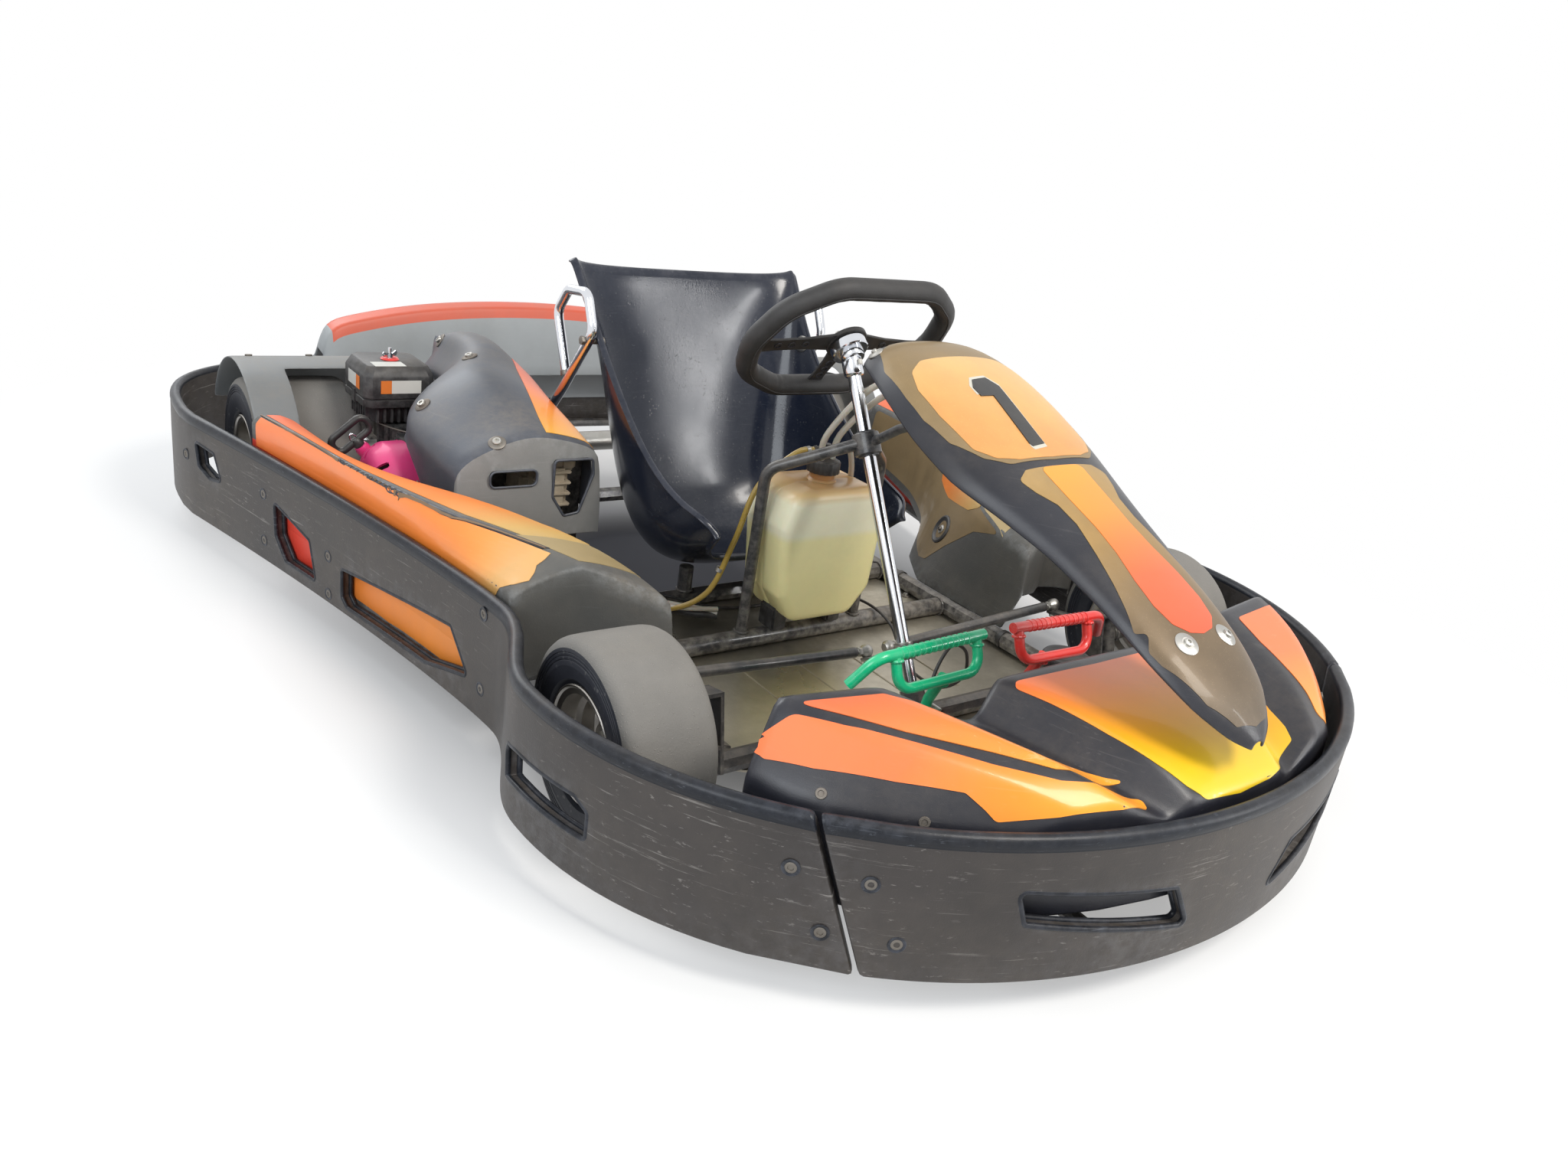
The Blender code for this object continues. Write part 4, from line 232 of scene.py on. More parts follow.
# One finish. base is a colour; ramp, where given, is (axis vector, low, high, stops) along the object.
def paint(name, base, rough, metal=0.0, coat=0.0, dust=0.3, dustColour=(0.30, 0.25, 0.19), dustScale=6.0, upward=0.8,
          scratch=0.0, scratchColour=(0.3, 0.29, 0.28), scratchScale=12.0, wear=0.0, wearColour=(0.5, 0.5, 0.5),
          vary=0.12, varyScale=9.0, bump=0.15, grainScale=900.0, specks=0.0, speckColour=(0.3, 0.3, 0.3),
          speckScale=260.0, ramp=None, sheen=None, transmission=0.0, subsurface=0.0, specular=0.5):
    material = bpy.data.materials.new(name)
    material.use_nodes = True
    s = Shader(material.node_tree)
    shader = material.node_tree.nodes["Principled BSDF"]
    place = s.coordinates()
    if ramp:
        axis, low, high, stops = ramp
        along = s.add("ShaderNodeVectorMath", {0: place, 1: axis}, 1, operation="DOT_PRODUCT")
        main = s.ramp(s.between(along, low, high), stops)
    else:
        main = s.add("ShaderNodeRGB", out=None).outputs[0]
        main.default_value = colour(*base)
    # broad shade changes
    broad = s.noise(place, varyScale, 5.0, 0.6)
    main = s.add("ShaderNodeHueSaturation", {"Value": s.between(broad, 0.25, 0.75, 1 - vary, 1 + vary),
                                             "Color": main})
    roughness = s.between(broad, 0.2, 0.8, max(rough - 0.07, 0.03), min(rough + 0.10, 1.0))
    height = s.add("ShaderNodeGroup", {}, None, node_tree=grain)
    height.inputs["Scale"].default_value = grainScale
    height = height.outputs["Height"]
    if specks:
        dots = s.add("ShaderNodeGroup", {}, None, node_tree=speckle)
        dots.inputs["Scale"].default_value = speckScale
        dots = dots.outputs["Mask"]
        main = s.mix(s.math("MULTIPLY", dots, specks), main, colour(*speckColour))
        height = s.math("ADD", height, s.math("MULTIPLY", dots, 0.6))
    if scratch:
        marks = s.add("ShaderNodeGroup", {}, None, node_tree=scratches)
        marks.inputs["Scale"].default_value = scratchScale
        marks.inputs["Amount"].default_value = scratch
        marks = marks.outputs["Mask"]
        main = s.mix(marks, main, colour(*scratchColour))
        roughness = s.math("MULTIPLY_ADD", marks, 0.2, roughness, clamp=True)
        height = s.math("SUBTRACT", height, s.math("MULTIPLY", marks, 0.5))
    if wear:
        worn = s.add("ShaderNodeGroup", {}, None, node_tree=edgeWear)
        worn.inputs["Amount"].default_value = wear
        worn = worn.outputs["Mask"]
        main = s.mix(worn, main, colour(*wearColour))
    if dust:
        dirt = s.add("ShaderNodeGroup", {"Color": main}, None, node_tree=grime)
        for key, value in (("Dust", colour(*dustColour)), ("Amount", dust), ("Scale", dustScale),
                           ("Upward", upward)):
            dirt.inputs[key].default_value = value
        main = dirt.outputs["Color"]
        roughness = s.math("MULTIPLY_ADD", dirt.outputs["Mask"], 0.35, roughness, clamp=True)
    material.node_tree.links.new(main, shader.inputs["Base Color"])
    material.node_tree.links.new(roughness, shader.inputs["Roughness"])
    normal = s.add("ShaderNodeBump", {"Strength": bump, "Distance": 0.001, "Height": height})
    material.node_tree.links.new(normal, shader.inputs["Normal"])
    shader.inputs["Metallic"].default_value = metal
    shader.inputs["Coat Weight"].default_value = coat
    shader.inputs["Coat Roughness"].default_value = 0.08
    shader.inputs["Specular IOR Level"].default_value = specular
    shader.inputs["Transmission Weight"].default_value = transmission
    shader.inputs["Subsurface Weight"].default_value = subsurface
    if subsurface:
        shader.inputs["Subsurface Scale"].default_value = 0.01
    material.diffuse_color = colour(*base)
    materials[name] = material
    return material


# Shape helpers: each adds a closed shell to a bmesh, with one material number

# Quads between rings of equal counts.
def skin(bm, rings, mat=0, closed=False, capped=True):
    made = [[bm.verts.new(point) for point in ring] for ring in rings]
    pairs = list(zip(made, made[1:])) + ([(made[-1], made[0])] if closed else [])
    count = len(made[0])
    faces = []
    for first, second in pairs:
        for i in range(count):
            j = (i + 1) % count
            faces.append(bm.faces.new((first[i], first[j], second[j], second[i])))
    if capped and not closed:
        faces += [bm.faces.new(made[0]), bm.faces.new(made[-1][::-1])]
    for face in faces:
        face.material_index = mat
    return faces


# A round tube along a path; radius may be one value or one for each point.
def sweep(bm, path, radius, mat=0, steps=12, closed=False):
    path = [Vector(p) for p in path]
    count = len(path)
    radii = radius if isinstance(radius, (list, tuple)) else [radius] * count
    along = []
    for i in range(count):
        before = path[i - 1] if closed or i else path[0]
        after = path[(i + 1) % count] if closed or i < count - 1 else path[-1]
        along.append((after - before).normalized())
    normal = along[0].orthogonal().normalized()
    rings = []
    for i, (point, direction) in enumerate(zip(path, along)):
        if i:
            normal = (along[i - 1].rotation_difference(direction) @ normal)
            normal = (normal - direction * normal.dot(direction)).normalized()
        side = direction.cross(normal)
        rings.append([point + (normal * math.cos(math.tau * k / steps) + side * math.sin(math.tau * k / steps)) * radii[i]
                      for k in range(steps)])
    if closed:      # the last ring turns back to the first
        twist = min(range(steps), key=lambda k: (rings[-1][k] - rings[0][0]).length)
        made = [[bm.verts.new(p) for p in ring] for ring in rings]
        for i in range(count):
            first, second = made[i], made[(i + 1) % count]
            for k in range(steps):
                a, b = (k + twist, k + 1 + twist) if i == count - 1 else (k, k + 1)
                face = bm.faces.new((first[a % steps], first[b % steps], second[(k + 1) % steps], second[k]))
                face.material_index = mat
        return
    skin(bm, rings, mat)


# A turned shell about the Z axis of the matrix; the profile is a loop of (radius, height).
def turn(bm, profile, at, mat=0, steps=32, mats=None):
    count = len(profile)
    rings = []
    for step in range(steps):
        angle = math.tau * step / steps
        rings.append([None if r <= 0 else bm.verts.new(at @ Vector((r * math.cos(angle), r * math.sin(angle), z)))
                      for r, z in profile])
    middle = [bm.verts.new(at @ Vector((0, 0, z))) if r <= 0 else None for r, z in profile]
    for step in range(steps):
        here, there = rings[step], rings[(step + 1) % steps]
        for i in range(count):
            j = (i + 1) % count
            corners = [here[i] or middle[i], here[j] or middle[j], there[j] or middle[j], there[i] or middle[i]]
            kept = [v for k, v in enumerate(corners) if v not in corners[:k]]
            if len(kept) > 2:
                bm.faces.new(kept).material_index = mats[i] if mats else mat


# Profile of a plain rod with softened edges.
def rod(radius, start, end, soft=0.0):
    if not soft:
        return [(0, start), (radius, start), (radius, end), (0, end)]
    return [(0, start), (radius - soft, start), (radius - soft * 0.3, start + soft * 0.3), (radius, start + soft),
            (radius, end - soft), (radius - soft * 0.3, end - soft * 0.3), (radius - soft, end), (0, end)]


def box(bm, low, high, soft=0.001, at=None, mat=0, segments=2):
    made = bmesh.ops.create_cube(bm, size=1.0)["verts"]
    for v in made:
        v.co = Vector([a + (b - a) * (c + 0.5) for a, b, c in zip(low, high, v.co)])
    faces = list({f for v in made for f in v.link_faces})
    if soft:
        edges = list({e for v in made for e in v.link_edges})
        faces = bmesh.ops.bevel(bm, geom=edges, offset=soft, segments=segments, affect="EDGES")["faces"]
    around = {f for face in faces for v in face.verts for f in v.link_faces}
    for face in around:
        face.material_index = mat
    if at is not None:
        bmesh.ops.transform(bm, matrix=at, verts=list({v for f in around for v in f.verts}))


# A flat outline pushed along Z, its rims softened.
def prism(bm, outline, low, high, at=None, mat=0, soft=0.0):
    at = at or Matrix()
    middle = sum((Vector(p) for p in outline), Vector((0, 0))) / len(outline)

    def ring(z, inset):
        return [at @ Vector((*(middle + (Vector(p) - middle) * (1 - inset / max((Vector(p) - middle).length, 1e-6))), z))
                for p in outline]
    if soft:
        rings = [ring(low, soft), ring(low + soft * 0.3, soft * 0.3), ring(low + soft, 0), ring(high - soft, 0),
                 ring(high - soft * 0.3, soft * 0.3), ring(high, soft)]
    else:
        rings = [ring(low, 0), ring(high, 0)]
    skin(bm, rings, mat)


# The path with an arc at each corner.
def rounded(points, bend, steps=6, closed=False):
    points = [Vector(p) for p in points]
    triples = list(zip(points, points[1:], points[2:]))
    if closed:
        triples = [(points[i - 1], points[i], points[(i + 1) % len(points)]) for i in range(len(points))]
    path = [] if closed else [points[0]]
    for before, corner, after in triples:
        back, ahead = before - corner, after - corner
        half = back.angle(ahead) / 2
        if half > math.radians(86):
            path.append(corner)
            continue
        reach = min(bend / math.tan(half), 0.49 * back.length, 0.49 * ahead.length)
        radius = reach * math.tan(half)
        centre = corner + (back.normalized() + ahead.normalized()).normalized() * radius / math.sin(half)
        start = corner + back.normalized() * reach - centre
        end = corner + ahead.normalized() * reach - centre
        for step in range(steps + 1):
            spot = start.normalized().slerp(end.normalized(), step / steps) if len(start) == 3 else \
                start.normalized().to_3d().slerp(end.normalized().to_3d(), step / steps).to_2d()
            path.append(centre + spot * radius)
    return path if closed else path + [points[-1]]


# A smooth curve through the points.
def flowing(points, spacing):
    points = [Vector(p) for p in points]
    ends = [points[0] * 2 - points[1]] + points + [points[-1] * 2 - points[-2]]
    path = []
    for a, b, c, d in zip(ends, ends[1:], ends[2:], ends[3:]):
        steps = max(2, round((c - b).length / spacing))
        for step in range(steps):
            t = step / steps
            path.append(0.5 * ((2 * b) + (c - a) * t + (2 * a - 5 * b + 4 * c - d) * t * t
                               + (3 * b - a - 3 * c + d) * t ** 3))
    return path + [points[-1]]


# A matrix at the point with Z along the direction.
def facing(point, direction, roll=0.0):
    turned = Vector(direction).normalized().to_track_quat("Z", "Y").to_matrix().to_4x4()
    return Matrix.Translation(Vector(point)) @ turned @ Matrix.Rotation(roll, 4, "Z")


def flip(point, side):
    return Vector((point[0] * side, *point[1:]))


# Makes the piece, in the row's frame, and lets it ride on its body.
def put(name, bm, finishes, body, replaces=(), angle=38, levels=0, weld=False):
    if weld:
        bmesh.ops.remove_doubles(bm, verts=bm.verts, dist=1e-6)
    bmesh.ops.recalc_face_normals(bm, faces=bm.faces)
    mesh = bpy.data.meshes.new(name)
    bm.to_mesh(mesh)
    bm.free()
    mesh.transform(toRow)
    piece = bpy.data.objects.new(name, mesh)
    bpy.context.scene.collection.objects.link(piece)
    for finish in finishes if isinstance(finishes, (list, tuple)) else [finishes]:
        mesh.materials.append(finish)
    mesh.shade_smooth()
    if levels:
        smooth = piece.modifiers.new("smooth", "SUBSURF")
        smooth.levels = smooth.render_levels = levels
    else:
        mesh.set_sharp_from_angle(angle=math.radians(angle))
    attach(piece, body)
    if replaces:
        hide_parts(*replaces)
    return piece


# A moulded skin: the grid's outer side, thickened inwards, then smoothed. Creases keep chosen lines tight.
def shell(name, grid, wall, finishes, body, replaces=(), creaseColumns=(), creaseRows=(), levels=2,
          matOf=None, rim=0.6):
    bm = bmesh.new()
    crease = bm.edges.layers.float.new("crease_edge")
    rows = [[bm.verts.new(p) for p in row] for row in grid]
    for i in range(len(rows) - 1):
        for j in range(len(rows[0]) - 1):
            face = bm.faces.new((rows[i][j], rows[i + 1][j], rows[i + 1][j + 1], rows[i][j + 1]))
            face.material_index = matOf(i, j) if matOf else 0
    for line, amount in creaseColumns:
        for i in range(len(rows) - 1):
            bm.edges.get((rows[i][line], rows[i + 1][line]))[crease] = amount
    for line, amount in creaseRows:
        for j in range(len(rows[0]) - 1):
            bm.edges.get((rows[line][j], rows[line][j + 1]))[crease] = amount
    mesh = bpy.data.meshes.new(name)
    bm.normal_update()
    bm.to_mesh(mesh)
    bm.free()
    mesh.transform(toRow)
    piece = bpy.data.objects.new(name, mesh)
    bpy.context.scene.collection.objects.link(piece)
    for finish in finishes if isinstance(finishes, (list, tuple)) else [finishes]:
        mesh.materials.append(finish)
    mesh.shade_smooth()
    thick = piece.modifiers.new("wall", "SOLIDIFY")
    thick.thickness, thick.offset, thick.edge_crease_rim = wall, -1.0, rim
    thick.edge_crease_outer = thick.edge_crease_inner = rim
    smooth = piece.modifiers.new("smooth", "SUBSURF")
    smooth.levels = smooth.render_levels = levels
    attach(piece, body)
    if replaces:
        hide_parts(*replaces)
    return piece


# The finished surface of a piece in the front axle's frame, for laying films and bolts on it.
class Surface:
    def __init__(self, piece):
        bm = bmesh.new()
        bm.from_object(piece, bpy.context.evaluated_depsgraph_get())
        bmesh.ops.transform(bm, matrix=toRow.inverted() @ piece.matrix_world, verts=bm.verts)
        bm.normal_update()
        self.tree = BVHTree.FromBMesh(bm)
        self.corners = [[v.co.copy() for v in face.verts] for face in bm.faces]
        self.normals = [[v.normal.copy() for v in face.verts] for face in bm.faces]
        bm.free()

    # where the ray meets the surface, and the smooth normal there, turned towards the ray's start
    def meet(self, start, direction, reach=0.9):
        for nudge in (0.0, 1e-5, -2e-5, 1e-4):      # a ray along an edge of the mesh can slip through
            off = Vector((nudge, nudge * 0.7, nudge * 0.4))
            hit, flat, index, _ = self.tree.ray_cast(Vector(start) + off, Vector(direction), reach)
            if hit is not None:
                break
        else:
            return None, None
        shares = poly_3d_calc(self.corners[index], hit)
        up = sum((normal * share for normal, share in zip(self.normals[index], shares)), Vector()).normalized()
        return hit, up if up.dot(Vector(direction)) < 0 else -up


def insideLoop(x, y, loop):
    inside = False
    for (x1, y1), (x2, y2) in zip(loop, loop[1:] + loop[:1]):
        if (y1 > y) != (y2 > y) and x < (x2 - x1) * (y - y1) / (y2 - y1) + x1:
            inside = not inside
    return inside


# Lays a thin printed sheet on a surface. The outline is a loop of flat (a, b) points; spot(a, b) gives where a ray
# starts and direction(a, b) where it goes. The edge of the sheet turns down into the surface.
def film(name, base, outline, spot, direction, finish, body, lift=0.0006, step=0.005):
    loop = []
    for a, b in zip(outline, outline[1:] + outline[:1]):
        a, b = Vector(a), Vector(b)
        count = max(1, round((b - a).length / step))
        loop += [tuple(a.lerp(b, k / count)) for k in range(count)]
    low = [min(p[k] for p in loop) for k in (0, 1)]
    high = [max(p[k] for p in loop) for k in (0, 1)]
    near = KDTree(len(loop))
    for k, p in enumerate(loop):
        near.insert((*p, 0), k)
    near.balance()
    points = list(loop)
    for i in range(1, int((high[0] - low[0]) / step) + 1):
        for j in range(1, int((high[1] - low[1]) / step) + 1):
            x, y = low[0] + (i + 0.5 * (j % 2)) * step, low[1] + j * step
            if insideLoop(x, y, loop) and near.find((x, y, 0))[2] > step * 0.45:
                points.append((x, y))
    edges = [(k, (k + 1) % len(loop)) for k in range(len(loop))]
    flat, _, faces, *_ = delaunay_2d_cdt([Vector(p) for p in points], edges, [], 1, 1e-7)
    bm = bmesh.new()
    made, ups = [], {}
    for a, b in flat:
        hit, up = base.meet(spot(a, b), direction(a, b) if callable(direction) else direction)
        made.append(None if hit is None else bm.verts.new(hit + up * lift))
        if hit is not None:
            ups[made[-1]] = up
    if None in made:
        print("film", name, "misses", made.count(None), "of", len(made))
    for face in faces:
        corners = [made[k] for k in face]
        if None in corners:
            continue
        new = bm.faces.new(corners)
        new.normal_update()
        if new.normal.dot(ups[corners[0]]) < 0:
            new.normal_flip()
    rim = [edge for edge in bm.edges if edge.is_boundary]
    grown = bmesh.ops.extrude_edge_only(bm, edges=rim)["geom"]
    twins = [v for v in grown if isinstance(v, bmesh.types.BMVert)]
    for twin in twins:
        source = min((e.other_vert(twin) for e in twin.link_edges if e.other_vert(twin) in ups),
                     key=lambda v: (v.co - twin.co).length)
        twin.co -= ups[source] * (lift + 0.0008)
    mesh = bpy.data.meshes.new(name)
    bm.to_mesh(mesh)
    bm.free()
    mesh.transform(toRow)
    piece = bpy.data.objects.new(name, mesh)
    bpy.context.scene.collection.objects.link(piece)
    mesh.materials.append(finish)
    mesh.shade_smooth()
    mesh.set_sharp_from_angle(angle=math.radians(50))
    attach(piece, body)
    return piece


# A flat outline with rounded corners.
def smoothLoop(points, steps=5, bend=0.02):
    return [tuple(p) for p in rounded(points, bend, steps, closed=True)]


# Finishes

finishes = {
    "bumperPlastic": {"base": (0.033, 0.028, 0.026), "rough": 0.44, "scratch": 1.0, "scratchColour": (0.23, 0.215, 0.20),
                      "scratchScale": 8.0, "dust": 0.36, "dustScale": 3.5, "upward": 0.3, "vary": 0.36, "varyScale": 5.0,
                      "bump": 0.35, "grainScale": 500.0, "wear": 0.4, "wearColour": (0.16, 0.16, 0.17)},
    "bumperEdge": {"base": (0.008, 0.010, 0.015), "rough": 0.34, "specular": 0.3, "scratch": 0.35, "scratchColour": (0.22, 0.24, 0.28),
                   "dust": 0.08, "vary": 0.2, "bump": 0.2, "wear": 0.4, "wearColour": (0.12, 0.13, 0.16)},
    "darkMoulding": {"base": (0.016, 0.017, 0.024), "rough": 0.33, "scratch": 0.12, "dust": 0.12, "vary": 0.15,
                     "bump": 0.2, "wear": 0.35, "wearColour": (0.10, 0.10, 0.12)},
    "podMoulding": {"base": (0.078, 0.077, 0.072), "rough": 0.52, "scratch": 0.25, "scratchColour": (0.2, 0.21, 0.2),
                    "dust": 0.45, "vary": 0.16, "bump": 0.35, "grainScale": 420.0, "wear": 0.7,
                    "wearColour": (0.32, 0.34, 0.35)},
    "coverMoulding": {"base": (0.052, 0.060, 0.078), "rough": 0.40, "scratch": 0.12, "dust": 0.35, "vary": 0.16,
                      "varyScale": 5.0, "bump": 0.22, "grainScale": 500.0, "wear": 0.5, "wearColour": (0.20, 0.22, 0.26)},
    "coverSkirt": {"base": (0.22, 0.22, 0.215), "rough": 0.46, "scratch": 0.3, "scratchColour": (0.34, 0.34, 0.33),
                   "dust": 0.45, "vary": 0.2, "varyScale": 6.0, "bump": 0.3, "grainScale": 420.0, "wear": 0.6,
                   "wearColour": (0.42, 0.43, 0.43)},
    "archMoulding": {"base": (0.175, 0.185, 0.190), "rough": 0.50, "scratch": 0.2, "scratchColour": (0.3, 0.31, 0.31),
                     "dust": 0.35, "vary": 0.14, "varyScale": 4.0, "bump": 0.3, "wear": 0.5, "wearColour": (0.4, 0.41, 0.42)},
    "greyMoulding": {"base": (0.34, 0.36, 0.37), "rough": 0.48, "dust": 0.30, "vary": 0.10, "bump": 0.2, "scratch": 0.15,
                     "scratchColour": (0.5, 0.5, 0.5)},
    "podOrange": {"base": (0.90, 0.23, 0.06), "rough": 0.36, "coat": 0.25, "dust": 0.14, "vary": 0.05, "bump": 0.10,
                  "scratch": 0.12, "scratchColour": (0.95, 0.50, 0.28),
                  "ramp": ((0.0, 1.0, 0.0), -0.24, 0.40, [(0.0, (0.70, 0.38, 0.12)), (0.10, (0.92, 0.30, 0.055)),
                                                          (0.22, (0.97, 0.26, 0.040)), (1.0, (0.96, 0.205, 0.040))])},
    "podWall": {"base": (0.85, 0.16, 0.05), "rough": 0.40, "dust": 0.18, "vary": 0.08, "bump": 0.10,
                "ramp": ((0.0, 1.0, 0.0), -0.10, 0.35, [(0.0, (0.78, 0.24, 0.03)), (0.45, (0.80, 0.22, 0.03)),
                                                        (0.62, (0.72, 0.055, 0.028)), (1.0, (0.66, 0.045, 0.026))])},
    "podInner": {"base": (0.90, 0.33, 0.05), "rough": 0.46, "coat": 0.05, "dust": 0.10, "vary": 0.06, "bump": 0.10,
                 "ramp": ((0.0, 1.0, 0.0), -0.24, 0.42, [(0.0, (0.50, 0.38, 0.17)), (0.12, (0.66, 0.40, 0.11)),
                                                         (0.30, (0.90, 0.235, 0.018)), (0.72, (0.90, 0.20, 0.025)),
                                                         (1.0, (0.88, 0.16, 0.07))])},
    "khaki": {"base": (0.27, 0.185, 0.085), "rough": 0.44, "coat": 0.12, "dust": 0.20, "vary": 0.16, "varyScale": 14.0,
              "bump": 0.14, "specks": 0.5, "speckColour": (0.40, 0.29, 0.15), "speckScale": 700.0, "metal": 0.25},
    "khakiNose": {"base": (0.25, 0.17, 0.08), "rough": 0.44, "coat": 0.12, "dust": 0.20, "vary": 0.16, "varyScale": 14.0,
                  "bump": 0.14, "specks": 0.5, "speckColour": (0.34, 0.24, 0.13), "speckScale": 700.0, "metal": 0.25,
                  "ramp": ((0.0, -1.0, 0.0), 0.62, 0.96, [(0.0, (0.42, 0.27, 0.10)), (0.35, (0.36, 0.22, 0.075)),
                                                         (0.65, (0.17, 0.115, 0.06)), (1.0, (0.11, 0.080, 0.05))])},
    "podGold": {"base": (0.43, 0.32, 0.15), "rough": 0.42, "dust": 0.2, "vary": 0.10, "varyScale": 14.0, "bump": 0.12,
                "metal": 0.2},
    "noseOuter": {"base": (0.93, 0.22, 0.08), "rough": 0.36, "coat": 0.2, "dust": 0.10, "vary": 0.05, "bump": 0.10,
                  "scratch": 0.10, "scratchColour": (1.0, 0.6, 0.4),
                  "ramp": ((0.0, -1.0, 0.0), 0.70, 0.98, [(0.0, (0.98, 0.20, 0.060)), (0.45, (0.98, 0.20, 0.050)),
                                                          (0.68, (0.98, 0.28, 0.022)), (1.0, (1.0, 0.40, 0.012))])},
    "noseInner": {"base": (0.93, 0.25, 0.06), "rough": 0.38, "coat": 0.2, "dust": 0.14, "vary": 0.07, "bump": 0.10,
                  "scratch": 0.7, "scratchColour": (0.95, 0.62, 0.30),
                  "ramp": ((0.0, -1.0, 0.0), 0.70, 0.93, [(0.0, (0.88, 0.14, 0.055)), (0.35, (0.92, 0.21, 0.045)),
                                                          (0.7, (0.93, 0.30, 0.03)), (1.0, (0.97, 0.40, 0.02))])},
    "noseCentre": {"base": (0.95, 0.35, 0.03), "rough": 0.34, "coat": 0.25, "dust": 0.10, "vary": 0.05, "bump": 0.10,
                   "ramp": ((0.0, -1.0, 0.0), 0.73, 0.975, [(0.0, (0.90, 0.15, 0.05)), (0.30, (0.94, 0.25, 0.035)),
                                                           (0.62, (0.97, 0.42, 0.016)), (0.88, (0.88, 0.56, 0.014)),
                                                           (1.0, (0.86, 0.58, 0.014))])},
    "numberPanel": {"base": (0.80, 0.36, 0.10), "rough": 0.42, "coat": 0.15, "dust": 0.16, "vary": 0.10,
                    "varyScale": 16.0, "bump": 0.14, "specks": 0.45, "speckColour": (0.86, 0.52, 0.20),
                    "speckScale": 600.0,
                    "ramp": ((0.45, 0.9, 0.0), -0.62, -0.40, [(0.0, (0.70, 0.31, 0.085)), (0.45, (0.70, 0.33, 0.095)),
                                                             (1.0, (0.76, 0.45, 0.17))])},
    "fairingOrange": {"base": (0.90, 0.22, 0.05), "rough": 0.38, "coat": 0.2, "dust": 0.12, "vary": 0.06, "bump": 0.10,
                      "ramp": ((0.0, -1.0, 0.0), 0.62, 0.88, [(0.0, (0.92, 0.36, 0.035)), (0.35, (0.92, 0.27, 0.04)),
                                                             (0.7, (0.86, 0.13, 0.04)), (1.0, (0.80, 0.10, 0.035))])},
    "coverStrip": {"base": (0.93, 0.25, 0.05), "rough": 0.36, "coat": 0.2, "dust": 0.12, "vary": 0.05, "bump": 0.10,
                   "ramp": ((0.0, -1.0, 0.0), -0.36, -0.04, [(0.0, (0.88, 0.12, 0.04)), (0.35, (0.90, 0.17, 0.04)),
                                                            (0.62, (0.95, 0.30, 0.03)), (1.0, (0.90, 0.46, 0.02))])},
    "tailStrip": {"base": (0.66, 0.11, 0.055), "rough": 0.42, "dust": 0.2, "vary": 0.08, "bump": 0.12},
    "digitBlack": {"base": (0.012, 0.012, 0.013), "rough": 0.35, "coat": 0.2, "dust": 0.1, "vary": 0.1, "bump": 0.1},
    "digitEdge": {"base": (0.62, 0.60, 0.52), "rough": 0.45, "dust": 0.15, "vary": 0.06, "bump": 0.1},
    # seat: navy-black plastic; part of the blue in its base colour is a painted reflection of the sky
    "seatPlastic": {"base": (0.010, 0.014, 0.027), "rough": 0.15, "coat": 0.12, "specular": 0.36, "dust": 0.22, "dustScale": 11.0,
                    "dustColour": (0.17, 0.17, 0.18), "upward": 0.75, "vary": 0.1, "bump": 0.12, "grainScale": 260.0,
                    "scratch": 0.22, "scratchColour": (0.12, 0.13, 0.15), "scratchScale": 14.0, "specks": 0.12,
                    "speckColour": (0.22, 0.22, 0.21), "speckScale": 150.0, "wear": 0.5, "wearColour": (0.14, 0.14, 0.16)},
    "treadRubber": {"base": (0.205, 0.195, 0.180), "rough": 0.88, "dust": 0.55, "dustColour": (0.26, 0.235, 0.20),
                    "dustScale": 9.0, "upward": 0.3, "vary": 0.14, "varyScale": 12.0, "bump": 0.8, "grainScale": 520.0,
                    "specks": 0.6, "speckColour": (0.34, 0.32, 0.29), "speckScale": 330.0},
    "sidewallRubber": {"base": (0.014, 0.016, 0.024), "rough": 0.55, "dust": 0.32, "dustColour": (0.14, 0.14, 0.15),
                       "vary": 0.15, "bump": 0.3, "grainScale": 500.0, "specks": 0.2, "speckColour": (0.35, 0.34, 0.32),
                       "speckScale": 110.0},
    "rimAluminium": {"base": (0.46, 0.44, 0.41), "rough": 0.30, "metal": 1.0, "dust": 0.75, "dustScale": 9.0,
                     "dustColour": (0.13, 0.10, 0.075), "upward": 0.2, "vary": 0.14, "bump": 0.22, "scratch": 0.4,
                     "scratchColour": (0.7, 0.68, 0.64)},
    "chromePlate": {"base": (0.74, 0.76, 0.80), "rough": 0.12, "metal": 1.0, "dust": 0.10, "vary": 0.04, "bump": 0.015,
                    "scratch": 0.05, "scratchColour": (0.4, 0.38, 0.35)},
    "zincSteel": {"base": (0.50, 0.49, 0.46), "rough": 0.36, "metal": 1.0, "dust": 0.5, "dustColour": (0.13, 0.10, 0.07),
                  "vary": 0.18, "bump": 0.15, "scratch": 0.2},
    "oldSteel": {"base": (0.20, 0.185, 0.165), "rough": 0.48, "metal": 0.9, "dust": 0.7, "dustColour": (0.11, 0.07, 0.045),
                 "vary": 0.25, "bump": 0.25},
    "framePaint": {"base": (0.022, 0.023, 0.027), "rough": 0.36, "coat": 0.3, "dust": 0.5, "vary": 0.15, "bump": 0.12,
                   "scratch": 0.4, "scratchColour": (0.25, 0.24, 0.22), "wear": 0.6, "wearColour": (0.3, 0.28, 0.25)},
    "blackPlastic": {"base": (0.016, 0.016, 0.018), "rough": 0.42, "dust": 0.28, "vary": 0.12, "bump": 0.18,
                     "wear": 0.4, "wearColour": (0.12, 0.12, 0.12)},
    "engineBlack": {"base": (0.020, 0.021, 0.023), "rough": 0.46, "dust": 0.5, "dustColour": (0.13, 0.105, 0.08),
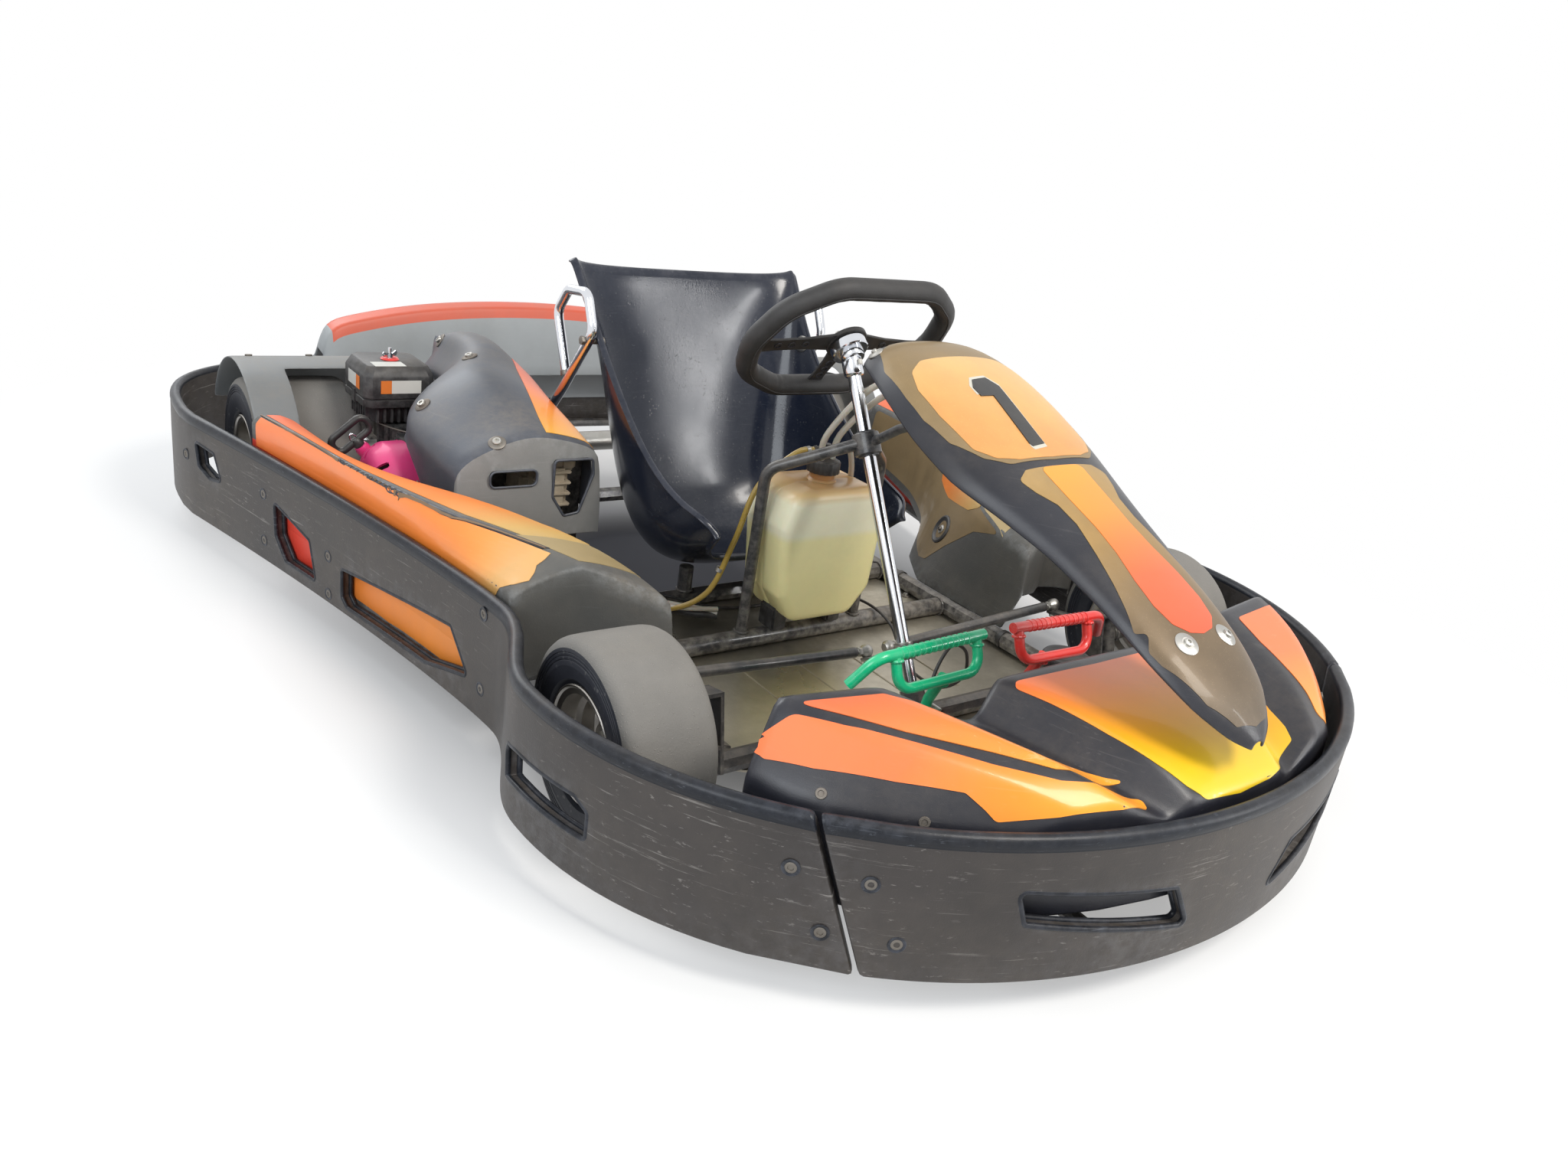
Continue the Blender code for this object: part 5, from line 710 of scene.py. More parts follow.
                    "vary": 0.2, "bump": 0.3, "wear": 0.6, "wearColour": (0.22, 0.21, 0.2)},
    "hotSteel": {"base": (0.58, 0.50, 0.38), "rough": 0.78, "metal": 0.1, "dust": 0.6, "dustColour": (0.18, 0.10, 0.05),
                 "vary": 0.3, "varyScale": 22.0, "bump": 0.5, "grainScale": 320.0},
    "pinkPlastic": {"base": (0.80, 0.040, 0.215), "rough": 0.40, "coat": 0.15, "dust": 0.26, "vary": 0.08, "bump": 0.18,
                    "dustColour": (0.45, 0.18, 0.22)},
    "labelWhite": {"base": (0.62, 0.62, 0.58), "rough": 0.42, "dust": 0.3, "vary": 0.08, "bump": 0.08},
    "labelOrange": {"base": (0.72, 0.19, 0.03), "rough": 0.42, "dust": 0.3, "vary": 0.08, "bump": 0.08},
    "redPaint": {"base": (0.78, 0.030, 0.024), "rough": 0.28, "coat": 0.35, "dust": 0.12, "vary": 0.08, "bump": 0.12,
                 "scratch": 0.12, "scratchColour": (0.75, 0.28, 0.24), "wear": 0.25, "wearColour": (0.72, 0.32, 0.28)},
    "greenPaint": {"base": (0.005, 0.56, 0.24), "rough": 0.28, "coat": 0.35, "dust": 0.10, "vary": 0.08, "bump": 0.12,
                   "scratch": 0.12, "scratchColour": (0.25, 0.55, 0.42), "wear": 0.25, "wearColour": (0.35, 0.62, 0.50)},
    "trayMetal": {"base": (0.54, 0.50, 0.41), "rough": 0.28, "metal": 0.85, "dust": 0.45, "dustColour": (0.17, 0.135, 0.085),
                  "dustScale": 3.2, "upward": 0.9, "vary": 0.30, "varyScale": 5.0, "bump": 0.35, "grainScale": 160.0,
                  "scratch": 0.5, "scratchColour": (0.55, 0.5, 0.4)},
    "wheelGrip": {"base": (0.024, 0.023, 0.023), "rough": 0.55, "dust": 0.30, "dustColour": (0.16, 0.14, 0.12),
                  "vary": 0.22, "varyScale": 18.0, "bump": 0.45, "grainScale": 700.0, "wear": 0.4,
                  "wearColour": (0.10, 0.10, 0.10)},
    "tankPlastic": {"base": (0.80, 0.74, 0.44), "rough": 0.32, "dust": 0.18, "dustColour": (0.36, 0.25, 0.10),
                    "dustScale": 7.0, "upward": 0.5, "vary": 0.06, "bump": 0.15, "grainScale": 200.0,
                    "subsurface": 0.12,
                    "ramp": ((0.0, 0.0, 1.0), 0.10, 0.32, [(0.0, (0.93, 0.83, 0.40)), (0.62, (0.96, 0.87, 0.46)),
                                                          (0.67, (0.97, 0.92, 0.66)), (0.88, (0.97, 0.91, 0.66)),
                                                          (0.95, (0.80, 0.56, 0.26)), (1.0, (0.42, 0.20, 0.07))])},
    "clearHose": {"base": (0.50, 0.46, 0.38), "rough": 0.22, "coat": 0.4, "dust": 0.3, "vary": 0.15, "bump": 0.1,
                  "subsurface": 0.3},
    "fuelHose": {"base": (0.42, 0.28, 0.055), "rough": 0.24, "coat": 0.4, "dust": 0.3, "vary": 0.2, "bump": 0.1},
    "blueFitting": {"base": (0.05, 0.16, 0.5), "rough": 0.3, "dust": 0.2, "vary": 0.1, "bump": 0.1},
    "bronzeLine": {"base": (0.20, 0.13, 0.075), "rough": 0.45, "dust": 0.2, "vary": 0.1, "bump": 0.1, "metal": 0.3},
}
for name, values in finishes.items():
    paint(name, **values)
print("finishes:", len(materials))


# Held cords: the same routes as the solids that they stand for

tankTop = 0.100 + 0.216 + 0.012 + 0.0003 + 0.036
hoseRoute = [(-0.0246, 0.301, tankTop), (-0.055, 0.305, tankTop - 0.006), (-0.104, 0.321, tankTop - 0.060),
             (-0.128, 0.331, 0.210), (-0.158, 0.343, 0.125), (-0.208, 0.385, 0.086), (-0.250, 0.470, 0.083),
             (-0.268, 0.560, 0.090), (-0.262, 0.640, 0.130), (-0.282, 0.700, 0.190), (-0.3125, 0.704, 0.203)]
cableRoute = [(-0.055, -0.0955, 0.074), (-0.055, -0.0855, 0.074), (-0.055, -0.068, 0.100), (-0.040, -0.048, 0.150),
              (-0.005, -0.036, 0.186), (0.040, -0.026, 0.165), (0.068, -0.006, 0.110), (0.080, 0.050, 0.064),
              (0.105, 0.150, 0.052), (0.150, 0.240, 0.070), (0.155, 0.310, 0.079), (0.140, 0.370, 0.070),
              (0.070, 0.415, 0.050), (-0.060, 0.425, 0.050), (-0.160, 0.445, 0.076), (-0.215, 0.490, 0.082),
              (-0.250, 0.560, 0.068), (-0.280, 0.650, 0.090), (-0.3120, 0.712, 0.118)]


def makeCords():
    bm = bmesh.new()
    for reach, radius, rise, finish in ((0.0, 0.0055, 0.0, 0), (0.022, 0.0045, 0.004, 1), (-0.018, 0.0040, 0.012, 1)):
        route = [(-0.285, 0.640, 0.080 + rise), (-0.262 + reach, 0.560, 0.066 + rise), (-0.238 + reach, 0.480, 0.070 + rise),
                 (-0.205 + reach, 0.410, 0.078 + rise), (-0.168 + reach, 0.365, 0.082 + rise), (-0.128, 0.350, 0.078 + rise)]
        sweep(bm, flowing(route, 0.010), radius, finish, 14)
    put("floorHoses", bm, [materials["blackPlastic"], materials["clearHose"]], "chassis")
    bm = bmesh.new()
    sweep(bm, flowing(hoseRoute, 0.008), 0.0045, 0, 12)
    put("fuelHose", bm, materials["fuelHose"], "chassis", ["fuel_hose"])
    bm = bmesh.new()
    route = flowing(cableRoute, 0.008)
    sweep(bm, route, 0.0025, 0, 10)
    first = route[:4]
    sweep(bm, [first[0], first[0].lerp(first[-1], 0.8)], 0.0042, 1, 12)
    put("throttleCable", bm, [materials["blackPlastic"], materials["blueFitting"]], "chassis",
        ["throttle_cable"])


makeCords()


# Bumper: outline seen from above; the place runs from 0 at the nose to 4 at the tail

bumper = {"wall": 0.018, "bottom": 0.045, "top": 0.222, "frontHalf": 0.626, "waistHalf": 0.568, "waistBack": 0.195,
          "rearHalf": 0.755, "front": 0.515, "wheelbase": 1.080, "tail": 0.420, "corner": 3.2, "jointAngle": 46.0,
          "jointLean": 3.4, "jointGap": 0.6, "rearJoint": 3.62, "lip": 0.0034}


def outlinePoint(place):
    b = bumper
    if place <= 1:
        turned = math.radians(90 * place)
        return Vector((b["frontHalf"] * math.sin(turned), -b["front"] * math.cos(turned)))
    if place <= 2:
        ease = (1 - math.cos(math.pi * (place - 1))) / 2
        return Vector((b["frontHalf"] + (b["waistHalf"] - b["frontHalf"]) * ease, b["waistBack"] * (place - 1)))
    if place <= 3:
        share = place - 2
        return Vector((b["waistHalf"] + (b["rearHalf"] - b["waistHalf"]) * share ** 1.3,
                       b["waistBack"] + (b["wheelbase"] - b["waistBack"]) * share))
    turned = math.radians(90 * (4 - place))
    power = 2 / b["corner"]
    across = math.sin(turned) ** power if turned > 1e-6 else 0.0
    back = math.cos(turned) ** power if turned < math.pi / 2 - 1e-6 else 0.0
    return Vector((b["rearHalf"] * across, b["wheelbase"] + b["tail"] * back))


def outlineInset(place, inset):
    side = -1 if place < 0 else 1
    place, step = abs(place), 1e-3
    ahead = outlinePoint(min(place + step, 4)) - outlinePoint(max(place - step, 0))
    inward = Vector((-ahead.y, ahead.x)).normalized()
    if place < step:
        inward = Vector((0, 1))
    if place > 4 - step:
        inward = Vector((0, -1))
    point = outlinePoint(place) + inward * inset
    return Vector((point.x * side, point.y))


def placeAt(back):
    return 2 + (back - bumper["waistBack"]) / (bumper["wheelbase"] - bumper["waistBack"])


def jointPlace(z, gap):
    middle = (bumper["top"] + bumper["bottom"]) / 2
    lean = bumper["jointLean"] * (z - middle) / (bumper["top"] - middle)
    return (bumper["jointAngle"] + lean + gap * bumper["jointGap"] / 2) / 90


def bandProfile():
    w, low, high = bumper["wall"], bumper["bottom"], bumper["top"]
    return [(0.0035, low), (0.0012, low + 0.0010), (0.0, low + 0.0035), (0.0, low + 0.060), (0.0, high - 0.060),
            (0.0006, high - 0.0205), (0.0016, high - 0.0175), (0.0008, high - 0.0145), (0.0001, high - 0.0105),
            (0.0008, high - 0.0060), (0.0026, high - 0.0028), (0.0060, high - 0.0006), (0.0100, high),
            (0.0138, high - 0.0014), (0.0165, high - 0.0045), (w, high - 0.0090), (w, low + 0.0040),
            (w - 0.0030, low)]


def bandRing(placeOf, shrink=1.0, shorten=0.0):
    middle, centre = bumper["wall"] / 2, (bumper["top"] + bumper["bottom"]) / 2
    half = (bumper["top"] - bumper["bottom"]) / 2
    ring = []
    for depth, z in bandProfile():
        depth = middle + (depth - middle) * shrink
        z = centre + (z - centre) * (1 - shorten / half)
        point = outlineInset(placeOf(z), depth)
        ring.append((point.x, point.y, z))
    return ring


def spread(first, last, step):
    count = max(1, round(abs(last - first) / step))
    return [first + (last - first) * k / count for k in range(count + 1)]


windowShapes = {
    "front": [(0.0734, 0.084), (0.3010, 0.118), (0.3180, 0.160), (0.1105, 0.142)],
    "wheel": [(0.835, 0.100), (1.135, 0.092), (1.16, 0.124), (1.13, 0.136), (0.86, 0.146), (0.835, 0.135)],
    "long": [(placeAt(0.262), 0.092), (placeAt(0.375), 0.063), (placeAt(0.585), 0.058), (placeAt(0.600), 0.070),
             (placeAt(0.600), 0.116), (placeAt(0.310), 0.146)],
    "short": [(placeAt(0.672), 0.066), (placeAt(0.762), 0.066), (placeAt(0.792), 0.100), (placeAt(0.795), 0.156),
              (placeAt(0.690), 0.128)],
    "rear": [(2.860, 0.135), (2.905, 0.128), (2.945, 0.140), (2.955, 0.182), (2.885, 0.178)],
}


def windowLoop(corners, bend=0.007):
    # rounds the corners in metres along the band, then goes back to places
    middle = sum(place for place, z in corners) / len(corners)
    scale = (outlinePoint(middle + 0.01) - outlinePoint(middle - 0.01)).length / 0.02
    flat = [Vector((place * scale, z)) for place, z in corners]
    loop = rounded(flat, bend, 5, closed=True)
    fine = []
    for a, b in zip(loop, loop[1:] + loop[:1]):
        count = max(1, round((b - a).length / 0.012))
        fine += [a.lerp(b, k / count) for k in range(count)]
    return [(p.x / scale, p.y) for p in fine]


def windowRing(loop, inset, side):
    return [(outlineInset(place, inset).x * side, outlineInset(place, inset).y, z) for place, z in loop]


def applied(piece, angle=38):
    # keeps the shape that the modifiers make, and shades it again
    graph = bpy.context.evaluated_depsgraph_get()
    mesh = bpy.data.meshes.new_from_object(piece.evaluated_get(graph))
    old, piece.data = piece.data, mesh
    piece.modifiers.clear()
    bpy.data.meshes.remove(old)
    mesh.shade_smooth()
    mesh.set_sharp_from_angle(angle=math.radians(angle))
    return piece


def cutOut(piece, cutters):
    for bm in cutters:
        bmesh.ops.recalc_face_normals(bm, faces=bm.faces)
        mesh = bpy.data.meshes.new("cutter")
        bm.to_mesh(mesh)
        bm.free()
        mesh.transform(toRow)
        tool = bpy.data.objects.new("cutter", mesh)
        bpy.context.scene.collection.objects.link(tool)
        cut = piece.modifiers.new("cut", "BOOLEAN")
        cut.operation, cut.solver, cut.object = "DIFFERENCE", "EXACT", tool
    bpy.context.view_layer.update()
    applied(piece)
    for tool in [o for o in bpy.data.objects if o.name.startswith("cutter")]:
        bpy.data.objects.remove(tool, do_unlink=True)
    weighted = piece.modifiers.new("shade", "WEIGHTED_NORMAL")
    weighted.keep_sharp = True
    return piece


def screwHead(bm, at, radius, height, mat=0, socket=True):
    # a round head with a hex socket, standing on the XY plane of the matrix
    if not socket:
        turn(bm, [(0, 0), (radius, 0), (radius, height * 0.5), (radius * 0.9, height * 0.85), (radius * 0.6, height),
                  (0, height)], at, mat, 24)
        return
    turn(bm, [(0, 0), (radius, 0), (radius, height * 0.8), (radius * 0.93, height), (radius * 0.55, height),
              (radius * 0.5, height * 0.45), (0, height * 0.45)], at, mat, 24)


def washerBolt(bm, at, radius, washerMat, boltMat, socket=True):
    # a dished washer with a bolt head on it, standing on the XY plane of the matrix
    turn(bm, [(0, 0), (radius, 0), (radius, 0.0011), (radius * 0.93, 0.0019), (radius * 0.55, 0.0027), (0, 0.0027)], at,
         washerMat, 40)
    head = radius * 0.5
    if socket:
        turn(bm, [(0, 0.0024), (head, 0.0024), (head, 0.0052), (head * 0.86, 0.0064), (head * 0.52, 0.0064),
                  (head * 0.5, 0.0040), (0, 0.0040)], at, boltMat, 30)
    else:
        prism(bm, [(head * math.cos(math.tau * k / 6), head * math.sin(math.tau * k / 6)) for k in range(6)], 0.0024,
              0.0066, at, boltMat, 0.0004)


def bandSpot(place, z, inset=0.0, side=1):
    point = outlineInset(place, inset)
    deeper = outlineInset(place, inset + 0.01)
    outward = Vector((point.x - deeper.x, point.y - deeper.y, 0)).normalized()
    return Vector((point.x * side, point.y, z)), Vector((outward.x * side, outward.y, 0))


bandBolts = [(placeAt(0.826), 0.158), (placeAt(0.826), 0.080), (placeAt(0.637), 0.122), (placeAt(0.636), 0.034),
             (placeAt(0.231), 0.196), (placeAt(0.230), 0.090), (0.5665, 0.160), (0.5220, 0.092), (0.4780, 0.157),
             (0.4370, 0.090), (2.99, 0.150), (3.30, 0.120), (3.50, 0.120)]


def glossLip(bm):
    # the rolled top edge is polished by hands and tyres
    for face in bm.faces:
        if face.calc_center_median().z > bumper["top"] - 0.0175:
            face.material_index = 1


def makeBumper():
    joint = bumper["jointAngle"] / 90
    rims = []

    def ends(first, last):
        # rings that round off the two ends of a band
        return [(first, 0.62, 0.004), (first, 0.90, 0.0012), (first, 1.0, 0.0)], [(last, 1.0, 0.0), (last, 0.90, 0.0012),
                                                                                  (last, 0.62, 0.004)]

    def bandOf(name, leftEnd, middle, rightEnd, side, replaced, windows):
        bm = bmesh.new()
        rings = []
        nudge = (0.0, 0.0016, 0.0055)
        for (placeOf, shrink, shorten), off in zip(leftEnd, nudge):
            rings.append(bandRing(lambda z, f=placeOf, o=off: f(z) + o * 1.0, shrink, shorten))
        rings += [bandRing(lambda z, p=p: p) for p in middle]
        for (placeOf, shrink, shorten), off in zip(rightEnd, nudge[::-1]):
            rings.append(bandRing(lambda z, f=placeOf, o=off: f(z) - o * 1.0, shrink, shorten))
        skin(bm, [[flip(p, side) for p in ring] for ring in rings])
        glossLip(bm)
        band = put(name, bm, [materials["bumperPlastic"], materials["bumperEdge"]], "chassis",
                   [replaced])
        cutters = []
        for key, way in windows:
            loop = windowLoop(windowShapes[key])
            cutter = bmesh.new()
            skin(cutter, [windowRing(loop, -0.02, way), windowRing(loop, bumper["wall"] + 0.02, way)])
            cutters.append(cutter)
            rims.append((key, way))
        if cutters:
            cutOut(band, cutters)
        return band

    low, high = ends(lambda z: -jointPlace(z, -1), lambda z: jointPlace(z, -1))
    bandOf("frontBand", low, spread(-joint * 0.9, joint * 0.9, 0.016), high, 1, "front_band",
           [("front", 1), ("front", -1)])
    for name, side in sides.items():
        low, high = ends(lambda z: jointPlace(z, 1), lambda z: bumper["rearJoint"] - 0.003)
        bandOf(name + "Band", low, spread(0.60, 3.55, 0.030), high, side, name + "_band",
               [(key, side) for key in ("wheel", "long", "short", "rear")])
    bm = bmesh.new()
    half = spread(bumper["rearJoint"] + 0.012, 3.995, 0.030)
    rings = [bandRing(lambda z: bumper["rearJoint"] + 0.003, 0.7, 0.003)] + [bandRing(lambda z, p=p: p) for p in half]
    whole = rings + [[flip(p, -1) for p in ring] for ring in rings[::-1]]
    skin(bm, whole)
    glossLip(bm)
    put("rearBand", bm, [materials["bumperPlastic"], materials["bumperEdge"]], "chassis",
        ["rear_band"])

    bm = bmesh.new()
    for key, way in rims:
        loop = windowLoop(windowShapes[key])
        for inset in (0.0022, bumper["wall"] - 0.0022):
            sweep(bm, windowRing(loop, inset, way), bumper["lip"], 0, 10, closed=True)
    put("windowLips", bm, materials["bumperEdge"], "chassis")

    bm = bmesh.new()
    for place, z in bandBolts:
        z = max(z, bumper["bottom"] + 0.016)
        for side in (1, -1):
            spot, outward = bandSpot(place, z, 0.0012, side)
            at = facing(spot, outward)
            screwHead(bm, at, 0.0062, 0.0016, 0)
            turn(bm, [(0.0062, 0), (0.0092, 0), (0.0098, 0.0014), (0.0090, 0.0018), (0.0064, 0.0012)], at, 1, 28)
    put("bumperBolts", bm, [materials["oldSteel"], materials["bumperEdge"]], "chassis")


makeBumper()
print("bumper made")


def softLoop(outline, bend, steps=4):
    return [tuple(p) for p in rounded([Vector(p) for p in outline], bend, steps, closed=True)]


# Side pods

pod = {"lip": 0.058, "bottom": 0.105, "gap": 0.004, "wall": 0.004, "shoulder": 0.230, "flank": 0.10, "foot": 0.0731}
podStations = [(0.212, 0.452, 0.262, 0.345, 0.222, 0.332, 0.0), (0.290, 0.505, 0.272, 0.372, 0.240, 0.332, 0.0),
               (0.380, 0.562, 0.276, 0.418, 0.250, 0.332, 0.0003), (0.480, 0.598, 0.277, 0.470, 0.254, 0.400, 0.0),
               (0.580, 0.624, 0.277, 0.545, 0.252, 0.520, 0.015), (0.690, 0.642, 0.276, 0.595, 0.252, 0.580, 0.030),
               (0.790, 0.660, 0.274, 0.608, 0.254, 0.596, 0.050), (0.900, 0.674, 0.266, 0.620, 0.254, 0.606, 0.080)]


def podRow(back, ridge, ridgeZ, inner, innerZ, foot, lift):
    wall = outlineInset(placeAt(back), bumper["wall"] + pod["gap"]).x
    shoulder, footZ = pod["shoulder"], pod["foot"] + lift
    return [(wall, back, pod["bottom"]), (wall, back, shoulder),
            ((wall + ridge) / 2 + 0.006, back, (shoulder + ridgeZ) / 2 + 0.006), (ridge, back, ridgeZ),
            ((ridge + inner) / 2, back, (ridgeZ + innerZ) / 2 + 0.006), (inner, back, innerZ),
            ((inner + foot) / 2, back, (innerZ + footZ) / 2), (foot, back, footZ)]


def podFlank(back):
    # the top of the outer wall and the ridge above it, at this distance back
    back = min(max(back, podStations[0][0]), podStations[-1][0])
    near, far = next((a, b) for a, b in zip(podStations, podStations[1:]) if back <= b[0])
    ridge = Vector(near[:3]).lerp(Vector(far[:3]), (back - near[0]) / (far[0] - near[0]))
    wall = outlineInset(placeAt(back), bumper["wall"] + pod["gap"]).x
    return Vector((wall, back, pod["shoulder"])), Vector((ridge.y, back, ridge.z))


def podAt(back, share):
    # x on the pod's top at this distance back: 0 at the outer wall, 1 on the ridge, 2 at the inner edge
    back = min(max(back, podStations[0][0]), podStations[-1][0])
    for near, far in zip(podStations, podStations[1:]):
        if back <= far[0]:
            t = (back - near[0]) / (far[0] - near[0])
            ridge, inner = near[1] + (far[1] - near[1]) * t, near[3] + (far[3] - near[3]) * t
            break
    wall = outlineInset(placeAt(back), bumper["wall"] + pod["gap"]).x
    return wall + (ridge - wall) * share if share <= 1 else ridge + (inner - ridge) * (share - 1)


def podEdge(first, last, share, shift=0.0, step=0.02):
    return [(podAt(y, share) + shift, y) for y in spread(first, last, step)]


def makePods():
    rows = [podRow(*station) for station in podStations]
    first = rows[0]
    reach = [0.0, 0.0, 0.0, 0.004, 0.040, 0.062, 0.066, 0.040]
    end = [(x, y - 0.008 - r, min(z, 0.090 + 0.010 * j)) for j, ((x, y, z), r) in enumerate(zip(first, reach))]
    shelf = [(x, y - 0.006 - r * 0.9, z - (0.004 if z > 0.2 else 0)) for (x, y, z), r in zip(first, reach)]
    end[-1] = (first[-1][0], first[-1][1] - 0.048, first[-1][2])
    grid = [end, shelf] + rows
    for name, side in sides.items():
        def finishOf(i, j, side=side):
            across = j if side > 0 else 6 - j
            if i < 3:
                return 0
            return 1 if across == 0 else 0
        points = [[flip(p, side) for p in (row if side > 0 else row[::-1])] for row in grid]
        lines = [(1, 0.75), (3, 0.55), (5, 0.45)]
        creases = [(line if side > 0 else 7 - line, amount) for line, amount in lines]
        base = shell(name + "Pod", points, pod["wall"], [materials[k] for k in ("podMoulding", "podWall")],
                     "chassis", [name + "_pod"], creases, [(1, 0.5)], matOf=finishOf)
        surface = Surface(base)
        spot = lambda a, b: (a, b, 0.6)
        down = (0, 0, -1)

        def sheet(key, outline, finish, lift=0.0006, step=0.005):
            flat = [(x * side, y) for x, y in outline]
            return film(name + key, surface, flat, spot, down, materials[finish], "chassis", lift,
                        step)

        # the outer sheet lies on the steep flank, so its rays come square to it
        def flank(share, back, side=side):
            wall, top = podFlank(back)
            slope = top - wall
            out = Vector((slope.z, 0, -slope.x)).normalized()
            return flip(wall + slope * share / pod["flank"] + out * 0.15, side), flip(-out, side)
        edge = [(-0.28, y) for y in spread(0.262, 0.885, 0.02)] + [(0.93, y) for y in spread(0.885, 0.275, 0.02)]
        edge += [(0.93, 0.243), (0.75, 0.236), (0.58, 0.232), (0.45, 0.222), (0.30, 0.214), (0.14, 0.222)]
        film(name + "PodOuter", surface, [(share * pod["flank"], y) for share, y in edge],
             lambda a, b: flank(a, b)[0], lambda a, b: flank(a, b)[1], materials["podOrange"], "chassis",
             0.0007)
        inner = podEdge(0.300, 0.890, 1.14, 0, 0.02) + podEdge(0.890, 0.300, 1.90, 0, 0.02)
        sheet("PodInner", inner, "podInner")
        gold = podEdge(0.219, 0.300, 1.06, 0, 0.01) + podEdge(0.300, 0.219, 1.97, 0, 0.01)
        sheet("PodGold", gold, "podGold")
        line = podEdge(0.255, 0.892, 0.955, 0, 0.02) + podEdge(0.892, 0.255, 1.055, 0, 0.02)
        sheet("PodLine", line, "darkMoulding", 0.0012, 0.0025)
        thin = podEdge(0.255, 0.892, 0.985, 0, 0.02) + podEdge(0.892, 0.255, 1.015, 0, 0.02)
        sheet("PodLineBronze", thin, "bronzeLine", 0.0017, 0.0025)

        # on the inner wall: khaki above the moulding, an orange patch under the crest, and a bolt in a dished recess
        low = [(0.232, 0.216), (0.300, 0.195), (0.360, 0.145), (0.400, 0.104), (0.430, 0.096), (0.600, 0.110),
               (0.880, 0.150)]
        high = [(0.880, 0.246), (0.600, 0.245), (0.480, 0.246), (0.400, 0.243), (0.330, 0.237), (0.250, 0.222)]
        film(name + "PodKhaki", surface, softLoop(low + high, 0.012), lambda a, b, side=side: (0.25 * side, a, b),
             (side, 0, 0), materials["khaki"], "chassis", 0.0006)
        patch = [(0.292, 0.244), (0.343, 0.218), (0.432, 0.208), (0.505, 0.214), (0.548, 0.236), (0.430, 0.246)]
        film(name + "PodPatch", surface, softLoop(patch, 0.008), lambda a, b, side=side: (0.25 * side, a, b), (side, 0, 0),
             materials["podInner"], "chassis", 0.0014)
        rings = []      # lower lip of the outer wall, seen through the band's windows
        for back in spread(0.300, 0.885, 0.03):
            wall = podFlank(back)[0]
            rings.append([flip(Vector((wall.x - inward, back, z)), side)
                          for inward, z in ((0.0, pod["bottom"] + 0.004), (0.003, pod["bottom"] + 0.004),
                                            (0.003, pod["lip"]), (0.0, pod["lip"]))])
        bm = bmesh.new()
        skin(bm, rings)
        put(name + "PodLip", bm, materials["podWall"], "chassis")
        hit, up = surface.meet((0.25 * side, 0.398, 0.161), (side, 0, 0))
        bm = bmesh.new()
        at = facing(hit - up * 0.001, up)
        turn(bm, [(0, 0.0012), (0.0150, 0.0012), (0.0200, 0.0022), (0.0240, 0.0040), (0.0275, 0.0030),
                  (0.0285, 0.0), (0, 0.0)], at, 0, 48)
        washerBolt(bm, at @ Matrix.Translation((0, 0, 0.001)), 0.0085, 1, 2)
        put(name + "PodRecess", bm, [materials[k] for k in ("blackPlastic", "zincSteel", "oldSteel")], "chassis")


makePods()
print("pods made")


# Nose fairing

noseRows = [
    [(0.0, -0.238, 0.150), (0.145, -0.233, 0.150), (0.205, -0.262, 0.150), (0.312, -0.214, 0.150),
     (0.440, -0.198, 0.150), (0.482, -0.226, 0.150), (0.488, -0.236, 0.130)],
    [(0.0, -0.242, 0.270), (0.145, -0.237, 0.264), (0.205, -0.266, 0.228), (0.315, -0.218, 0.276),
     (0.438, -0.203, 0.280), (0.486, -0.232, 0.216), (0.492, -0.240, 0.120)],
    [(0.0, -0.310, 0.272), (0.128, -0.305, 0.267), (0.180, -0.318, 0.226), (0.288, -0.288, 0.273),
     (0.400, -0.272, 0.276), (0.468, -0.285, 0.212), (0.474, -0.290, 0.110)],
    [(0.0, -0.380, 0.268), (0.110, -0.375, 0.263), (0.156, -0.380, 0.222), (0.250, -0.358, 0.268),
     (0.345, -0.340, 0.266), (0.415, -0.340, 0.208), (0.420, -0.345, 0.105)],
    [(0.0, -0.445, 0.252), (0.092, -0.440, 0.249), (0.132, -0.438, 0.214), (0.210, -0.420, 0.258),
     (0.280, -0.402, 0.252), (0.345, -0.390, 0.206), (0.350, -0.394, 0.105)],
    [(0.0, -0.486, 0.226), (0.080, -0.482, 0.225), (0.112, -0.478, 0.206), (0.180, -0.465, 0.238),
     (0.230, -0.450, 0.230), (0.285, -0.432, 0.200), (0.288, -0.434, 0.105)],
    [(0.0, -0.490, 0.110), (0.080, -0.487, 0.110), (0.112, -0.483, 0.110), (0.180, -0.470, 0.110),
     (0.230, -0.455, 0.110), (0.286, -0.436, 0.110), (0.289, -0.438, 0.102)],
]
